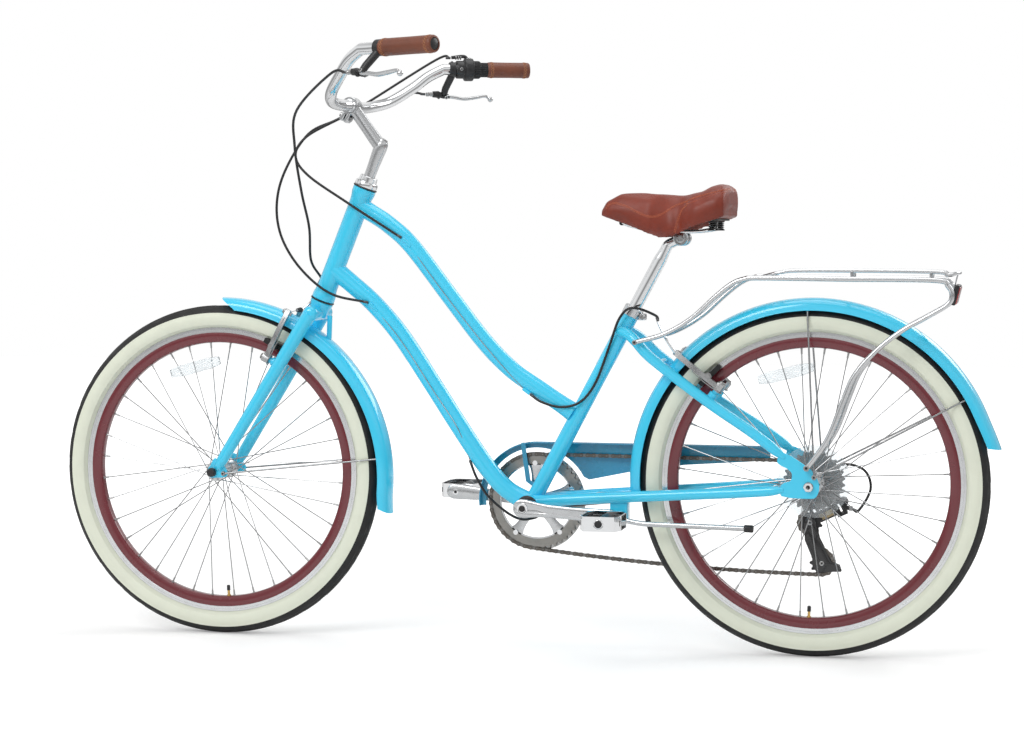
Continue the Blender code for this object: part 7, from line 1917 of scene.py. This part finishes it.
def fine_fittings():
    """The bottom bracket's rings, the axles, the spoke protector and the wheel reflectors."""
    bm = bmesh.new()
    half = [(0.0092, 0.0388), (0.0178, 0.0388), (0.0198, 0.038), (0.0205, 0.0368), (0.0205, 0.0343),
            (0.0172, 0.0343)]
    profile = mirrored(half, 0)

    def notches(k, i, radius, height):
        return (radius * (0.93 if k % 6 == 0 and i in (2, 3, 8, 9) else 1.0), height)

    turned(bm, profile, CRANK, SIDE, 48, 0, notches)
    show("bottom_bracket", bm, BLACK_PLASTIC)
    fine_axle("front_axle", FRONT, 0.05, 0.0553, 0.012, True)
    fine_axle("rear_axle", REAR, 0.0675, 0.0728, 0.0085, False)
    bm = bmesh.new()
    y = 0.0185 + 0.0021 + 0.001 + 0.0003
    disc = [(0.017, y), (0.017, y + 0.0012), (0.024, y + 0.0012), (0.0255, y + 0.0006), (0.064, y + 0.0008)]
    disc += [(0.068, y + 0.0011), (0.0694, y + 0.0008), (0.0694, y - 0.0002), (0.066, y - 0.0003),
             (0.0255, y - 0.0001)]
    turned(bm, disc, REAR, SIDE, 72)
    show("spoke_protector", bm, FINISH["clear_plastic"], name="protector")
    for name in ("front_wheel_reflector", "rear_wheel_reflector"):
        dressed(name, [WHITE_LENS], 0.0012)


for which in ("front", "rear"):
    for side in (-1, 1):
        fine_arm(which, side)
fine_derailleur()
fine_guard()
fine_fittings()


# Camera, lights and floor
AMBIENT = 0.46


def camera():
    """The photograph's view: yaw, pitch and roll of the measured camera."""
    yaw, pitch, roll = 0.23937, -0.06105, -0.003355
    data = bpy.data.cameras.new("camera")
    data.lens, data.sensor_width, data.clip_end = 80.09, 36.0, 50.0
    forward = Vector((-sin(yaw) * cos(pitch), cos(yaw) * cos(pitch), sin(pitch)))
    right = forward.cross(UP).normalized()
    above = right.cross(forward).normalized()
    side = right * cos(roll) + above * sin(roll)
    above = above * cos(roll) - right * sin(roll)
    frame_axes = Matrix((side, above, -forward)).transposed().to_4x4()
    made = bpy.data.objects.new("camera", data)
    made.matrix_world = Matrix.Translation(Vector((1.046532, -4.29198, 0.81279))) @ frame_axes
    bpy.context.scene.collection.objects.link(made)
    bpy.context.scene.camera = made


def lamp(name, place, height, size, watts):
    """A white area lamp that points at the middle of the bike at some height."""
    data = bpy.data.lights.new(name, "AREA")
    data.shape, data.size, data.size_y, data.energy = "RECTANGLE", size[0], size[1], watts
    made = bpy.data.objects.new(name, data)
    direction = UP * height - Vector(place)
    made.location = place
    made.rotation_euler = direction.to_track_quat("-Z", "Y").to_euler()
    bpy.context.scene.collection.objects.link(made)


def surroundings():
    """White to the camera, a soft grey for the light it gives, and bands of grey in reflections."""
    world = bpy.data.worlds.new("studio")
    bpy.context.scene.world = world
    world.use_nodes = True
    g = Graph(world.node_tree)
    path = g.node("ShaderNodeLightPath")
    seen = g.math("MAXIMUM", path.outputs["Is Camera Ray"], path.outputs["Is Transmission Ray"])
    split = g.node("ShaderNodeSeparateXYZ")
    g.link(g.node("ShaderNodeTexCoord").outputs["Generated"], split.inputs[0])
    band = g.node("ShaderNodeValToRGB")
    band.color_ramp.interpolation = "B_SPLINE"
    levels = [(0.0, 0.55), (0.36, 0.75), (0.47, 0.35), (0.52, 0.16), (0.6, 0.9), (0.72, 1.0), (0.86, 0.35),
              (1.0, 0.8)]
    for place, _ in levels[1:-1]:
        band.color_ramp.elements.new(place)
    for element, (place, value) in zip(band.color_ramp.elements, levels):
        element.position = place
        element.color = (value, value, value, 1.0)
    g.link(g.math("ADD", g.math("MULTIPLY", split.outputs[2], 0.5), 0.5), band.inputs[0])
    extra = g.math("MULTIPLY", g.math("SUBTRACT", band.outputs[0], AMBIENT), path.outputs["Is Glossy Ray"])
    plain = g.math("ADD", extra, AMBIENT)
    strength = g.math("ADD", g.math("MULTIPLY", g.math("SUBTRACT", 1.0, plain), seen), plain)
    back = g.tree.nodes["Background"]
    back.inputs["Color"].default_value = (1.0, 1.0, 1.0, 1.0)
    g.link(strength, back.inputs["Strength"])


def paper():
    """Pale paper that fades to white with distance."""
    mesh = bpy.data.meshes.new("floor")
    mesh.from_pydata([(-9, -9, 0), (9, -9, 0), (9, 9, 0), (-9, 9, 0)], [], [(0, 1, 2, 3)])
    made = bpy.data.objects.new("floor", mesh)
    bpy.context.scene.collection.objects.link(made)
    s = Shader("floor_paper")
    s.colour(s.mix(s.noise(3.0), (0.86, 0.86, 0.86, 1.0), (0.9, 0.9, 0.9, 1.0)))
    s.rough(s.remap(s.noise(40.0), 0.3, 0.7, 0.85, 0.95))
    s.main.inputs["Emission Color"].default_value = (1.0, 1.0, 1.0, 1.0)
    path = s.node("ShaderNodeLightPath")
    seen = s.math("MAXIMUM", path.outputs["Is Camera Ray"], path.outputs["Is Transmission Ray"])
    reach = s.node("ShaderNodeVectorMath", operation="LENGTH")
    s.link(s.node("ShaderNodeNewGeometry").outputs["Position"], reach.inputs[0])
    far = s.remap(reach.outputs["Value"], 1.2, 3.2, 0.24, 0.8)
    s.link(s.math("MULTIPLY", seen, far), s.main.inputs["Emission Strength"])
    mesh.materials.append(s.material)


camera()
surroundings()
paper()
lamp("key", (-1.6, -3.4, 3.6), 0.5, (3.0, 2.0), 95)
lamp("rim", (2.4, 2.6, 2.6), 0.6, (2.5, 1.8), 45)
lamp("top", (0.3, 0.2, 4.2), 0.4, (3.5, 2.4), 45)
bpy.context.scene.view_settings.view_transform = "Standard"
